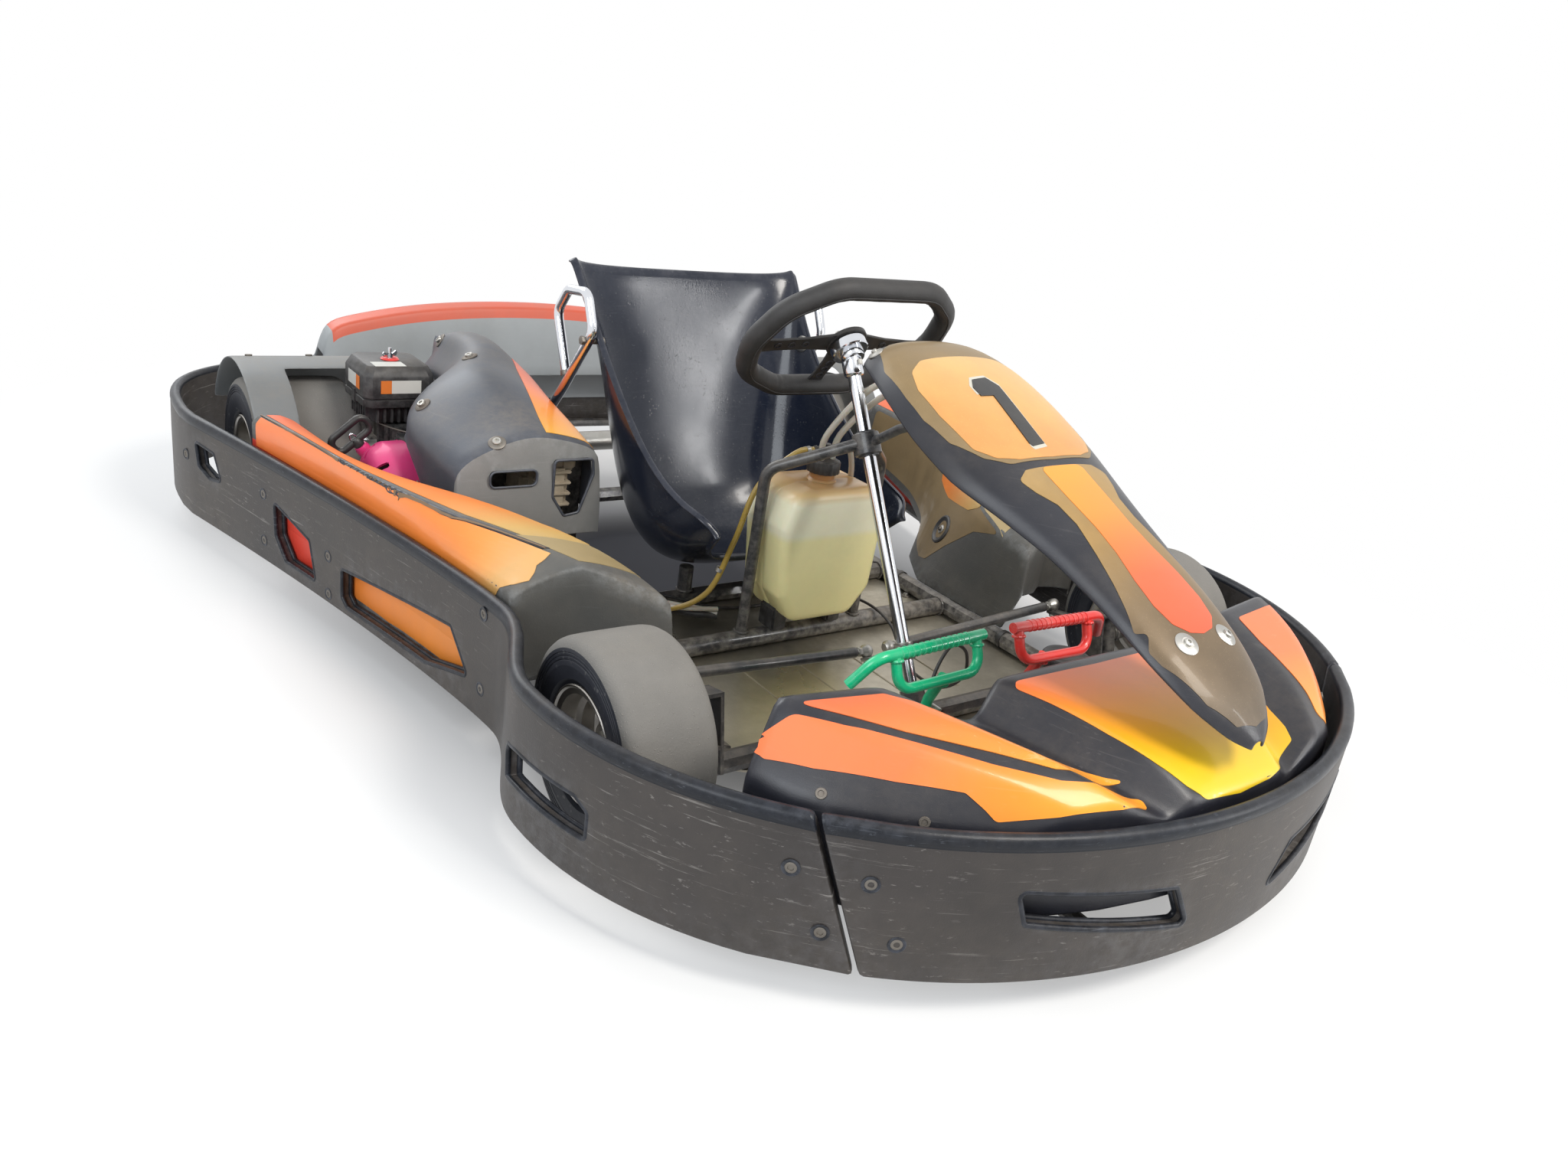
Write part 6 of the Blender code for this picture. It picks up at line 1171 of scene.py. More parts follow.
nosePanels = {
    "outer": [(0.434, -0.216), (0.400, -0.258), (0.335, -0.325), (0.290, -0.370), (0.232, -0.418), (0.160, -0.455),
              (0.122, -0.468), (0.130, -0.484), (0.182, -0.476), (0.249, -0.456), (0.305, -0.432), (0.312, -0.415),
              (0.325, -0.388), (0.380, -0.344), (0.439, -0.290), (0.470, -0.252), (0.474, -0.236), (0.462, -0.222)],
    "inner": [(0.424, -0.206), (0.322, -0.222), (0.270, -0.275), (0.205, -0.350), (0.138, -0.426), (0.124, -0.440),
              (0.141, -0.436), (0.170, -0.430), (0.229, -0.402), (0.278, -0.355), (0.348, -0.292), (0.416, -0.218)],
    "far": [(0.436, -0.214), (0.326, -0.228), (0.290, -0.290), (0.264, -0.350), (0.244, -0.404), (0.226, -0.440),
            (0.246, -0.456), (0.305, -0.432), (0.380, -0.346), (0.439, -0.290), (0.470, -0.252), (0.474, -0.236),
            (0.462, -0.222)],
    "centreFar": [(0.0, -0.252), (0.190, -0.247), (0.218, -0.262), (0.232, -0.292), (0.232, -0.318), (0.206, -0.361),
                  (0.184, -0.405), (0.170, -0.440), (0.158, -0.462), (0.104, -0.490), (0.060, -0.502), (0.0, -0.506)],
    "centre": [(0.0, -0.252), (0.132, -0.247), (0.142, -0.257), (0.130, -0.300), (0.112, -0.374), (0.092, -0.440),
               (0.078, -0.476), (0.062, -0.500), (0.0, -0.506)],
}


def insideBand(x, y):
    inset = bumper["wall"] + pod["gap"]
    reach = math.hypot(x / (bumper["frontHalf"] - inset), y / (bumper["front"] - inset))
    return x / max(reach, 1.0), y / max(reach, 1.0)


def makeNose():
    grid = []
    for row in noseRows:
        half = [Vector((*insideBand(x, y), z)) for x, y, z in row]
        grid.append([flip(p, -1) for p in half[:0:-1]] + half)
    middle = 6
    creases = []
    for offset, amount in ((1, 0.85), (2, 0.35), (3, 0.80), (4, 0.75), (5, 0.55)):
        creases += [(middle + offset, amount), (middle - offset, amount)]
    base = shell("noseFairing", grid, 0.004, materials["darkMoulding"], "chassis", ["nose_fairing"],
                 creases, [(1, 0.8), (5, 0.8)], levels=3)
    top = Surface(base)
    lean = Vector((0, 0.55, -0.83))       # rays from in front, so that they meet the rolled front edge as well
    spot = lambda a, b: Vector((a, b, 0.25)) - lean * 0.4
    for name, side in sides.items():
        for key, finish, bend in (("outer", "noseOuter", 0.010), ("inner", "noseInner", 0.006), ("far", "noseOuter", 0.014)):
            if (key == "far") != (side == 1):
                continue
            outline = [(x * side, y) for x, y in softLoop(nosePanels[key], bend)]
            film(name + "Nose" + key.capitalize(), top, outline, spot, lean, materials[finish], "chassis",
                 0.0009, 0.004)
    near, far = ([tuple(p) for p in rounded([Vector(p) for p in nosePanels[key]], 0.012, 4)]
                 for key in ("centre", "centreFar"))
    whole = far + [(-x, y) for x, y in near[-2:0:-1]]
    film("noseCentre", top, whole, spot, lean, materials["noseCentre"], "chassis", 0.0008)
    bm = bmesh.new()
    for side in (1, -1):
        for x, y in ((0.442, -0.300), (0.366, -0.372)):
            hit, up = top.meet((x * side, y, 0.6), (0, 0, -1))
            if hit:
                screwHead(bm, facing(hit - up * 0.0006, up), 0.006, 0.0022)
    put("noseScrews", bm, materials["oldSteel"], "chassis")


makeNose()
print("nose made")


# Steering fairing with its number panel

fairingSections = [
    (0.160, 0.554, 0.080, 0.028), (0.128, 0.577, 0.106, 0.040), (0.060, 0.568, 0.128, 0.050),
    (-0.020, 0.536, 0.139, 0.053), (-0.095, 0.502, 0.136, 0.050), (-0.160, 0.473, 0.116, 0.042),
    (-0.230, 0.443, 0.098, 0.036), (-0.310, 0.407, 0.088, 0.032), (-0.385, 0.370, 0.083, 0.030),
    (-0.440, 0.335, 0.066, 0.026), (-0.474, 0.304, 0.038, 0.018), (-0.488, 0.284, 0.010, 0.010)]
fairingPanels = {
    "surround": [(0.0, 0.142), (0.052, 0.140), (0.090, 0.118), (0.112, 0.078), (0.121, 0.020), (0.124, -0.020),
                 (0.119, -0.066), (0.098, -0.106), (0.072, -0.127), (0.0, -0.131)],
    "number": [(0.0, 0.062), (0.070, 0.062), (0.094, 0.048), (0.106, 0.018), (0.108, -0.030), (0.102, -0.090),
               (0.084, -0.113), (0.055, -0.124), (0.0, -0.127)],
    "lower": [(0.0, -0.141), (0.060, -0.140), (0.078, -0.150), (0.070, -0.172), (0.056, -0.196), (0.053, -0.226),
              (0.060, -0.268), (0.067, -0.304), (0.074, -0.334), (0.080, -0.356), (0.070, -0.366), (0.078, -0.378),
              (0.074, -0.396), (0.052, -0.446), (0.028, -0.472), (0.0, -0.478)],
    "orange": [(0.0, -0.1415), (0.036, -0.1415), (0.034, -0.190), (0.031, -0.237), (0.033, -0.273), (0.040, -0.312),
               (0.042, -0.345), (0.036, -0.370), (0.020, -0.384), (0.0, -0.388)],
}
digitOutline = [(-0.024, 0.010), (-0.034, -0.004), (-0.033, -0.020), (-0.012, -0.021), (-0.022, -0.104), (-0.020, -0.109),
                (0.003, -0.106), (0.013, -0.004), (0.002, 0.013)]


def makeFairing():
    across = [(-1.0, 1.0), (-0.92, 0.50), (-0.66, 0.16), (-0.34, 0.035), (0.0, 0.0), (0.34, 0.035), (0.66, 0.16),
              (0.92, 0.50), (1.0, 1.0)]
    grid = [[(half * x, back, height - drop * fall) for x, fall in across]
            for back, height, half, drop in fairingSections]
    base = shell("steeringFairing", grid, 0.004, materials["darkMoulding"], "chassis",
                 ["steering_fairing"], [(1, 0.15), (7, 0.15)], [], levels=2, rim=0.35)
    top = Surface(base)
    spot = lambda a, b: (a, b, 0.8)
    for key, finish, lift, bend in (("surround", "khaki", 0.0006, 0.02), ("number", "numberPanel", 0.0011, 0.014),
                                    ("lower", "khakiNose", 0.0006, 0.006), ("orange", "fairingOrange", 0.0011, 0.008)):
        half = [tuple(p) for p in rounded([Vector(p) for p in fairingPanels[key]], bend, 4)]
        whole = half + [(-x, y) for x, y in half[-2:0:-1]]
        film("fairing" + key.capitalize(), top, whole, spot, (0, 0, -1), materials[finish], "chassis",
             lift)
    middle = sum((Vector(p) for p in digitOutline), Vector((0, 0))) / len(digitOutline)
    wide = [tuple(middle + (Vector(p) - middle) * 1.0 + (Vector(p) - middle).normalized() * 0.0050) for p in digitOutline]
    film("digitEdge", top, wide, spot, (0, 0, -1), materials["digitEdge"], "chassis", 0.0015)
    film("digit", top, digitOutline, spot, (0, 0, -1), materials["digitBlack"], "chassis", 0.0024,
         0.003)
    bm = bmesh.new()
    for x, y, r in ((0.036, -0.393, 0.0145), (-0.036, -0.393, 0.0145), (0.088, 0.128, 0.011), (-0.088, 0.128, 0.011)):
        hit, up = top.meet((x, y, 0.8), (0, 0, -1))
        if hit is None:
            continue
        at = facing(hit - up * 0.0003, up)
        turn(bm, [(0, 0), (r, 0), (r, 0.0012), (r * 0.93, 0.0020), (r * 0.55, 0.0030), (r * 0.5, 0.0036), (0, 0.0036)],
             at, 0, 40)
        turn(bm, [(0, 0.0030), (r * 0.36, 0.0030), (r * 0.36, 0.0058), (r * 0.28, 0.0066), (r * 0.16, 0.0066),
                  (r * 0.14, 0.0046), (0, 0.0046)], at, 0, 30)
    put("fairingWashers", bm, materials["zincSteel"], "chassis")


makeFairing()
print("steering fairing made")


# Rear cover and wheel arches

rearCover = {"half": 0.440, "top": 0.352, "wall": 0.004}
arch = {"radius": 0.174, "outer": 0.672, "inner": 0.400, "strip": 0.600, "opening": 1.035, "wall": 0.004,
        "axleZ": 0.140 * math.cos(math.pi / 20)}


def tailAt(x):
    share = abs(x / bumper["rearHalf"]) ** bumper["corner"]
    return bumper["wheelbase"] + bumper["tail"] * (1 - share) ** (1 / bumper["corner"])


def makeRearCover():
    rows = []
    for share in (-1.0, -0.97, -0.85, -0.7, -0.55, -0.4, -0.2, 0.0, 0.2, 0.4, 0.55, 0.7, 0.85, 0.97, 1.0):
        x = rearCover["half"] * share
        back = tailAt(x)
        top = rearCover["top"] - 0.050 * abs(share) ** 2.2 - (0.05 if abs(share) == 1 else 0)
        inside = back - bumper["wall"] - pod["gap"]
        rows.append([(x, inside, 0.120), (x, inside, 0.228), (x, back - 0.030, top - 0.030), (x, back - 0.055, top),
                     (x, back - 0.095, top - 0.006), (x, back - 0.102, top - 0.024),
                     (x, back - 0.112, top - 0.060), (x, back - 0.122, 0.200)])

    def finishOf(i, j):
        return 1 if j in (2, 3, 4) and 0 < i < 13 else 0
    shell("rearCover", rows[::-1], rearCover["wall"], [materials["greyMoulding"], materials["tailStrip"]], "chassis",
          ["rear_cover"], [(1, 0.6), (3, 0.5), (4, 0.6)], [], matOf=finishOf)


def makeArches():
    finish = materials["archMoulding"]
    turns = [-12, 0, 12, 24, 36, 48, 60, 68, 75, 85, 95, 105, 115, 125, 135, 147, 158]
    across = [arch["inner"], 0.46, 0.53, 0.585, arch["strip"], 0.628, 0.655, arch["outer"]]
    for name, side in sides.items():
        bm = bmesh.new()
        crease = bm.edges.layers.float.new("crease_edge")
        rows = []
        for degrees in turns:
            turned = math.radians(degrees)
            back = bumper["wheelbase"] - arch["radius"] * math.cos(turned)
            up = arch["axleZ"] + arch["radius"] * math.sin(turned)
            rows.append([bm.verts.new(flip((x, back, up), side)) for x in across])
        for i in range(len(rows) - 1):
            for j in range(len(across) - 1):
                if turns[i] < 75 and across[j + 1] <= arch["strip"]:
                    continue
                bm.faces.new((rows[i][j], rows[i][j + 1], rows[i + 1][j + 1], rows[i + 1][j]))
        bmesh.ops.delete(bm, geom=[v for v in bm.verts if not v.link_faces], context="VERTS")
        bmesh.ops.recalc_face_normals(bm, faces=bm.faces)
        middle = Vector((0.5 * side, bumper["wheelbase"], arch["axleZ"]))
        if sum((f.calc_center_median() - middle).dot(f.normal) for f in bm.faces) < 0:
            bmesh.ops.reverse_faces(bm, faces=bm.faces)
        mesh = bpy.data.meshes.new(name + "Arch")
        bm.to_mesh(mesh)
        bm.free()
        mesh.transform(toRow)
        piece = bpy.data.objects.new(name + "Arch", mesh)
        bpy.context.scene.collection.objects.link(piece)
        mesh.materials.append(finish)
        mesh.shade_smooth()
        thick = piece.modifiers.new("wall", "SOLIDIFY")
        thick.thickness, thick.offset, thick.edge_crease_rim = arch["wall"], -1.0, 0.5
        smooth = piece.modifiers.new("smooth", "SUBSURF")
        smooth.levels = smooth.render_levels = 2
        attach(piece, "chassis")
        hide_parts(name + "_wheel_arch")
        bm = bmesh.new()
        for x in (0.43, 0.54, 0.64):
            for degrees in (100, 140):
                turned = math.radians(degrees)
                direction = Vector((0, -math.cos(turned), math.sin(turned)))
                spot = Vector((x * side, bumper["wheelbase"], arch["axleZ"])) + direction * (arch["radius"] - 0.0006)
                screwHead(bm, facing(spot, direction), 0.006, 0.0024)
        foot = [(0.330, 0.0734), (0.420, arch["axleZ"] + math.sqrt(arch["radius"] ** 2 - 0.085 ** 2) - 0.004)]
        rings = [[flip((x + dx, 1.165 + dy, z), side) for dx, dy in ((-0.01, -0.012), (0.01, -0.012), (0.01, 0.012),
                                                                     (-0.01, 0.012))] for x, z in foot]
        skin(bm, rings, 1)
        put(name + "ArchFixings", bm, [materials["oldSteel"], finish], "chassis")


makeRearCover()
makeArches()
print("rear cover and arches made")


# Seat

seat = {"wall": 0.005, "lip": 0.007, "stayX": 0.232, "stayRadius": 0.008, "postX": 0.115, "postBack": 0.470,
        "postRadius": 0.012, "boltBack": 0.654, "boltZ": 0.446}
seatStations = [(0.375, 0.168, 0.184, 0.298, 0.246), (0.425, 0.130, 0.200, 0.312, 0.264),
                (0.490, 0.106, 0.208, 0.352, 0.270), (0.560, 0.100, 0.210, 0.402, 0.282),
                (0.625, 0.130, 0.211, 0.452, 0.302), (0.668, 0.200, 0.212, 0.512, 0.338),
                (0.695, 0.300, 0.212, 0.578, 0.388), (0.718, 0.400, 0.213, 0.638, 0.442),
                (0.738, 0.490, 0.217, 0.690, 0.498), (0.750, 0.546, 0.222, 0.738, 0.560)]
seatAcross = (-1.0, -0.97, -0.91, -0.80, -0.62, -0.42, -0.20, 0.0, 0.20, 0.42, 0.62, 0.80, 0.91, 0.97, 1.0)
stayPath = [(0.970, 0.0813), (0.725, 0.355), (0.640, 0.462), (0.668, 0.520), (0.735, 0.512), (0.770, 0.470),
            (0.722, 0.372)]


def nut(bm, at, across, height, mat=0):
    radius = across / math.sqrt(3)
    prism(bm, [(radius * math.cos(math.tau * k / 6), radius * math.sin(math.tau * k / 6)) for k in range(6)], 0.0,
          height, at, mat, 0.0004)


def makeSeat():
    rows = []
    for back, height, half, rimBack, rimHeight in seatStations:
        row = []
        for across in seatAcross:
            rise = abs(across) ** 3.4
            rib = 0.006 * math.exp(-(abs(across) - 0.30) ** 2 / 0.004) * min(1.0, max(0.0, (height - 0.16) / 0.10))
            row.append(Vector((half * math.sin(across * math.pi / 2 * 0.98),
                               back + (rimBack - back) * rise - rib, height + (rimHeight - height) * rise)))
        for end, index in ((-1, 0), (1, len(row))):
            edge = row[0 if end < 0 else -1]
            row.insert(index, edge + Vector((seat["lip"] * end, 0.001, -0.005)))
        rows.append(row)
    rows.insert(0, [p + Vector((0, -0.008, -0.008)) for p in rows[0]])
    rows.append([p + Vector((0, 0.012, -0.005)) for p in rows[-1]])
    base = shell("seat", rows, seat["wall"], materials["seatPlastic"], "chassis", ["seat"],
                 [(1, 0.30), (len(rows[0]) - 2, 0.30)], [(1, 0.3), (len(rows) - 2, 0.35)], rim=0.2)
    inside = Surface(base)

    bm = bmesh.new()
    for side in (1, -1):
        for x, y in ((seat["postX"], seat["postBack"]),):
            hit, up = inside.meet((x * side, y, 0.5), (0, 0, -1))
            washerBolt(bm, facing(hit + up * 0.0003, up), 0.016, 0, 1)
        start = Vector((0, seat["boltBack"] + 0.008, seat["boltZ"] - 0.004))
        hit, up = inside.meet(start, (side, 0, 0))
        washerBolt(bm, facing(hit + up * 0.0003, up), 0.015, 0, 1)
        turn(bm, rod(0.006, 0.0, 0.022), facing((0.2100 * side, seat["boltBack"], seat["boltZ"]), (side, 0, 0)), 1, 20)
        nut(bm, facing(((seat["stayX"] + seat["stayRadius"]) * side, seat["boltBack"], seat["boltZ"]), (side, 0, 0)),
            0.013, 0.006, 1)
    put("seatBolts", bm, [materials["zincSteel"], materials["oldSteel"]], "chassis")

    for name, side in sides.items():
        bm = bmesh.new()
        path = [Vector((seat["stayX"] * side, y, z)) for y, z in stayPath]
        bend = rounded(path, 0.024, 8)
        sweep(bm, bend, seat["stayRadius"], 0, 24)
        for end, next_ in ((bend[0], bend[1]), (bend[-1], bend[-2])):
            turn(bm, [(0.0, 0), (seat["stayRadius"] + 0.0012, 0), (seat["stayRadius"] + 0.0016, 0.002),
                      (seat["stayRadius"] + 0.0012, 0.008), (seat["stayRadius"] - 0.001, 0.0085)],
                 facing(end, next_ - end), 1, 24)
        put(name + "SeatStay", bm, [materials["chromePlate"], materials["oldSteel"]], "chassis",
            [name + "_seat_stay"])


makeSeat()
print("seat made")


# Wheels

wheel = {"flange": 0.0725, "seat": 0.0635, "well": 0.056, "wall": 0.003, "steps": 96, "flat": math.cos(math.pi / 20)}


def tyreProfile(radius, width, rimWidth):
    h, w, s, f = rimWidth / 2, width / 2, wheel["seat"], wheel["flange"]
    half = [(h * 0.66, s), (h - 0.009, s), (h - 0.0074, s + 0.003), (h - 0.0074, f - 0.001), (h - 0.003, f + 0.0035),
            (h + 0.0012, f + 0.0065), (w - 0.0012, f + 0.0150), (w - 0.0002, f + 0.0220), (w, radius - 0.034),
            (w - 0.0004, radius - 0.0290)]
    for groove in range(3):
        at = radius - 0.0280 + groove * 0.0042
        half += [(w - 0.0006, at), (w - 0.0016, at + 0.0005), (w - 0.0016, at + 0.0014), (w - 0.0006, at + 0.0019)]
    half += [(w - 0.0012, radius - 0.0135), (w - 0.0032, radius - 0.0085), (w - 0.0066, radius - 0.0044),
             (w - 0.0110, radius - 0.0018), (w - 0.0170, radius - 0.0006), (w * 0.45, radius)]
    treads = [reach >= radius - 0.0135 for across, reach in half]
    inside = [(-w * 0.6, radius - 0.012), (-w + 0.016, f + 0.016)]
    whole = half + [(-a, r) for a, r in half[::-1]] + inside[::-1] + [(-a, r) for a, r in inside]
    marks = [1 if t else 0 for t in treads[:-1]] + [1] + [1 if t else 0 for t in treads[:-1]][::-1] + [0] * 5
    return [(r, a) for a, r in whole], marks


def rimProfile(width, disc, hubRadius):
    h, f, s, w, t = width / 2, wheel["flange"], wheel["seat"], wheel["well"], wheel["wall"]
    lip = [(-h + 0.0002, f - 0.0030), (-h, f - 0.0010), (-h + 0.0012, f + 0.0002), (-h + 0.0035, f), (-h + 0.0055, f - 0.0018),
           (-h + 0.0066, s + 0.0020), (-h + 0.0085, s), (-h * 0.56, s), (-h * 0.50, s - 0.0012), (-h * 0.44, w + 0.0008),
           (-h * 0.40, w)]
    outer = lip + [(-a, r) for a, r in lip[::-1]]
    inner = [(h - 0.0028, f - 0.0050), (h - 0.0048, s - t), (h * 0.58, s - t), (h * 0.52, s - t - 0.001),
             (h * 0.44, w - t), (disc + 0.0075, w - t), (disc + 0.0035, w - t - 0.0035), (disc + 0.0030, 0.0440),
             (disc + 0.0042, 0.0400), (disc + 0.0042, hubRadius + 0.0040), (disc + 0.0030, hubRadius),
             (disc - 0.0030, hubRadius), (disc - 0.0030, w - t - 0.004), (disc - 0.0070, w - t),
             (-h * 0.44, w - t), (-h * 0.52, s - t - 0.001), (-h * 0.58, s - t), (-h + 0.0048, s - t),
             (-h + 0.0028, f - 0.0050)]
    return [(r, a) for a, r in outer + inner]


def makeWheel(key, name, centre, radius, width, side, disc, hubRadius, body):
    at = facing(centre, (side, 0, 0))
    rimWidth = width - 0.008
    profile, marks = tyreProfile(radius * wheel["flat"], width, rimWidth)
    bm = bmesh.new()
    turn(bm, profile, at, 0, wheel["steps"], marks)
    put(key + "Tyre", bm, [materials["sidewallRubber"], materials["treadRubber"]], body,
        [name + "_tyre"], 32)
    bm = bmesh.new()
    turn(bm, rimProfile(rimWidth, disc, hubRadius), at, 0, wheel["steps"])
    front = hubRadius < 0.02
    if front:       # hub with its two bearings and three clamp bolts
        turn(bm, [(0.0095, -0.024), (0.0200, -0.024), (0.0215, -0.0225), (0.0215, -0.003), (0.0215, 0.003),
                  (0.0215, 0.0225), (0.0200, 0.024), (0.0095, 0.024)], at, 0, 48)
        for height in (-0.0236, 0.0236):
            turn(bm, [(0.0092, height - 0.0006), (0.0175, height - 0.0006), (0.0175, height + 0.0008),
                      (0.0150, height + 0.0010), (0.0092, height + 0.0008)], at, 1, 40)
        ring, count, head = 0.0300, 3, 0.0055
    else:
        ring, count, head = 0.0350, 3, 0.0065
    for k in range(count):
        turned = math.tau * k / count + 0.4
        spot = at @ Matrix.Translation((ring * math.cos(turned), ring * math.sin(turned), disc + 0.0040))
        washerBolt(bm, spot, head * 1.7, 1, 1, socket=False)
    for k in range(8):      # lightening holes: black cups in the disc paint the shade inside them
        turned = math.tau * k / 8
        spot = at @ Matrix.Translation((0.0475 * math.cos(turned), 0.0475 * math.sin(turned), disc + 0.0030))
        turn(bm, [(0, 0.0002), (0.0026, 0.0002), (0.0032, 0.0007), (0.0038, 0.0007), (0.0040, 0.0)], spot, 2, 16)
    valve = at @ Matrix.Rotation(0.9, 4, "Z") @ Matrix.Translation((wheel["seat"] - 0.004, 0, rimWidth * 0.30))
    turned = valve @ Matrix.Rotation(math.radians(-50), 4, "Y")
    turn(bm, [(0, -0.001), (0.0040, -0.001), (0.0038, 0.003), (0.0026, 0.004), (0.0026, 0.013), (0.0022, 0.014),
              (0.0022, 0.016), (0, 0.0162)], turned, 2, 20)
    put(key + "Rim", bm, [materials["rimAluminium"], materials["zincSteel"], materials["blackPlastic"]], body,
        [name + "_rim"], 32)


def makeWheels():
    for name, side in sides.items():
        makeWheel("front" + name.capitalize(), "front_" + name, (0.493 * side, 0, 0.130 * wheel["flat"]), 0.130, 0.120,
                  side, 0.0, 0.0095, "front_" + name + "_wheel")
        makeWheel("rear" + name.capitalize(), "rear_" + name, (0.575 * side, 1.080, 0.140 * wheel["flat"]), 0.140,
                  0.178, side, -0.015, 0.026, "rear_wheels")


makeWheels()
print("wheels made")


# Rear axle, chain and brake

drive = {"back": 1.080, "z": 0.140 * wheel["flat"], "axle": 0.020, "crankBack": 0.780, "crankZ": 0.165,
         "chainX": -0.262, "sprocket": 0.080, "pinion": 0.026, "brakeX": 0.268, "disc": 0.095}


def gearOutline(radius, teeth, depth):
    outline = []
    for k in range(teeth):
        for share, reach in ((0.0, -depth), (0.18, -depth * 0.9), (0.34, -depth * 0.15), (0.42, 0.0), (0.58, 0.0),
                             (0.66, -depth * 0.15), (0.82, -depth * 0.9)):
            turned = math.tau * (k + share) / teeth
            outline.append(((radius + reach) * math.cos(turned), (radius + reach) * math.sin(turned)))
    return outline


def ringPlate(bm, outline, hole, low, high, at, mat=0):
    # a flat plate with a round hole of as many steps as its outline has points
    count = len(outline)
    inner = []
    for x, y in outline:
        length = math.hypot(x, y)
        inner.append((x / length * hole, y / length * hole))
    rings = [[at @ Vector((*p, z)) for p in loop] for loop, z in
             ((outline, low), (outline, high), (inner, high), (inner, low))]
    skin(bm, rings, mat, closed=True)
    return count


def makeAxle():
    at = facing((0, drive["back"], drive["z"]), (1, 0, 0))
    a, seatX = drive["axle"], 0.5567
    bm = bmesh.new()
    turn(bm, rod(a, -seatX - 0.028, seatX + 0.028, 0.0015), at, 0, 48)
    for side in (1, -1):
        way = facing((0, drive["back"], drive["z"]), (side, 0, 0))
        turn(bm, [(a, seatX - 0.050), (a + 0.0100, seatX - 0.050), (a + 0.0115, seatX - 0.0485), (a + 0.0115, seatX - 0.014),
                  (a + 0.016, seatX - 0.010), (0.0440, seatX - 0.010), (0.0460, seatX - 0.008), (0.0460, seatX - 0.002),
                  (0.0450, seatX - 0.0008), (a, seatX - 0.0008)], way, 1, 64)
        for k in range(3):
            turned = math.tau * k / 3 + 0.4
            stud = way @ Matrix.Translation((0.035 * math.cos(turned), 0.035 * math.sin(turned), seatX - 0.016))
            turn(bm, rod(0.004, 0.0, 0.030), stud, 2, 16)
            nut(bm, stud, 0.012, 0.006, 2)
        for k in range(2):
            box(bm, (-0.003, a + 0.008, seatX - 0.040 + 0.014 * k), (0.003, a + 0.014, seatX - 0.034 + 0.014 * k), 0.0006,
                way, 2)
        # bearing in its carrier
        turn(bm, [(a, 0.316), (a + 0.0075, 0.316), (a + 0.0075, 0.344), (a, 0.344)], way, 1, 48)
        turn(bm, [(a, 0.348), (a + 0.006, 0.348), (a + 0.0065, 0.356), (a, 0.356)], way, 2, 48)
    put("rearAxle", bm, [materials["zincSteel"], materials["rimAluminium"], materials["oldSteel"]], "rear_wheels",
        ["rear_axle"])

    bm = bmesh.new()
    outline = [(drive["disc"] * math.cos(math.tau * k / 96), drive["disc"] * math.sin(math.tau * k / 96))
               for k in range(96)]
    ringPlate(bm, outline, 0.052, drive["brakeX"] - 0.0025, drive["brakeX"] + 0.0025, at, 0)
    for k in range(6):      # arms from the ring to the carrier
        arm = at @ Matrix.Rotation(math.tau * k / 6, 4, "Z")
        box(bm, (0.026, -0.007, drive["brakeX"] - 0.0024), (0.056, 0.007, drive["brakeX"] + 0.0020), 0.001, arm, 1)
        washerBolt(bm, arm @ Matrix.Translation((0.050, 0, drive["brakeX"] + 0.0018)), 0.0055, 2, 2, socket=False)
    for k in range(24):     # drilled holes: black discs on both faces paint the shade inside them
        turned = math.tau * k / 24
        reach = (0.064, 0.074, 0.084)[k % 3]
        for face, way in ((0.0026, 1), (-0.0026, -1)):
            spot = at @ Matrix.Translation((reach * math.cos(turned), reach * math.sin(turned), drive["brakeX"] + face))
            turn(bm, [(0, 0), (0.0036, 0), (0.0036, 0.0002 * way), (0, 0.0002 * way)], spot, 3, 16)
    turn(bm, [(a + 0.0003, drive["brakeX"] - 0.020), (a + 0.0110, drive["brakeX"] - 0.020), (a + 0.0118, drive["brakeX"] - 0.018),
              (a + 0.0118, drive["brakeX"] + 0.006), (a + 0.011, drive["brakeX"] + 0.008),
              (a + 0.0003, drive["brakeX"] + 0.008)], at, 1, 48)
    put("brakeDisc", bm, [materials[k] for k in ("zincSteel", "rimAluminium", "oldSteel", "blackPlastic")], "rear_wheels",
        ["brake_disc"])

    bm = bmesh.new()
    outline = gearOutline(drive["sprocket"] + 0.0022, 50, 0.0046)
    ringPlate(bm, outline, 0.060, drive["chainX"] - 0.0022, drive["chainX"] + 0.0022, at, 0)
    for k in range(6):
        arm = at @ Matrix.Rotation(math.tau * k / 6, 4, "Z")
        box(bm, (0.026, -0.008, drive["chainX"] - 0.0021), (0.063, 0.008, drive["chainX"] + 0.0021), 0.001, arm, 0)
        washerBolt(bm, arm @ Matrix.Translation((0.040, 0, drive["chainX"] + 0.0024)), 0.0055, 1, 1, socket=False)
    turn(bm, [(a + 0.0003, drive["chainX"] - 0.0025), (a + 0.0110, drive["chainX"] - 0.0025), (a + 0.0115, drive["chainX"]),
              (a + 0.0115, drive["chainX"] + 0.018), (a + 0.0105, drive["chainX"] + 0.020),
              (a + 0.0003, drive["chainX"] + 0.020)], at, 1, 48)
    put("axleSprocket", bm, [materials["zincSteel"], materials["oldSteel"]], "rear_wheels",
        ["axle_sprocket"])


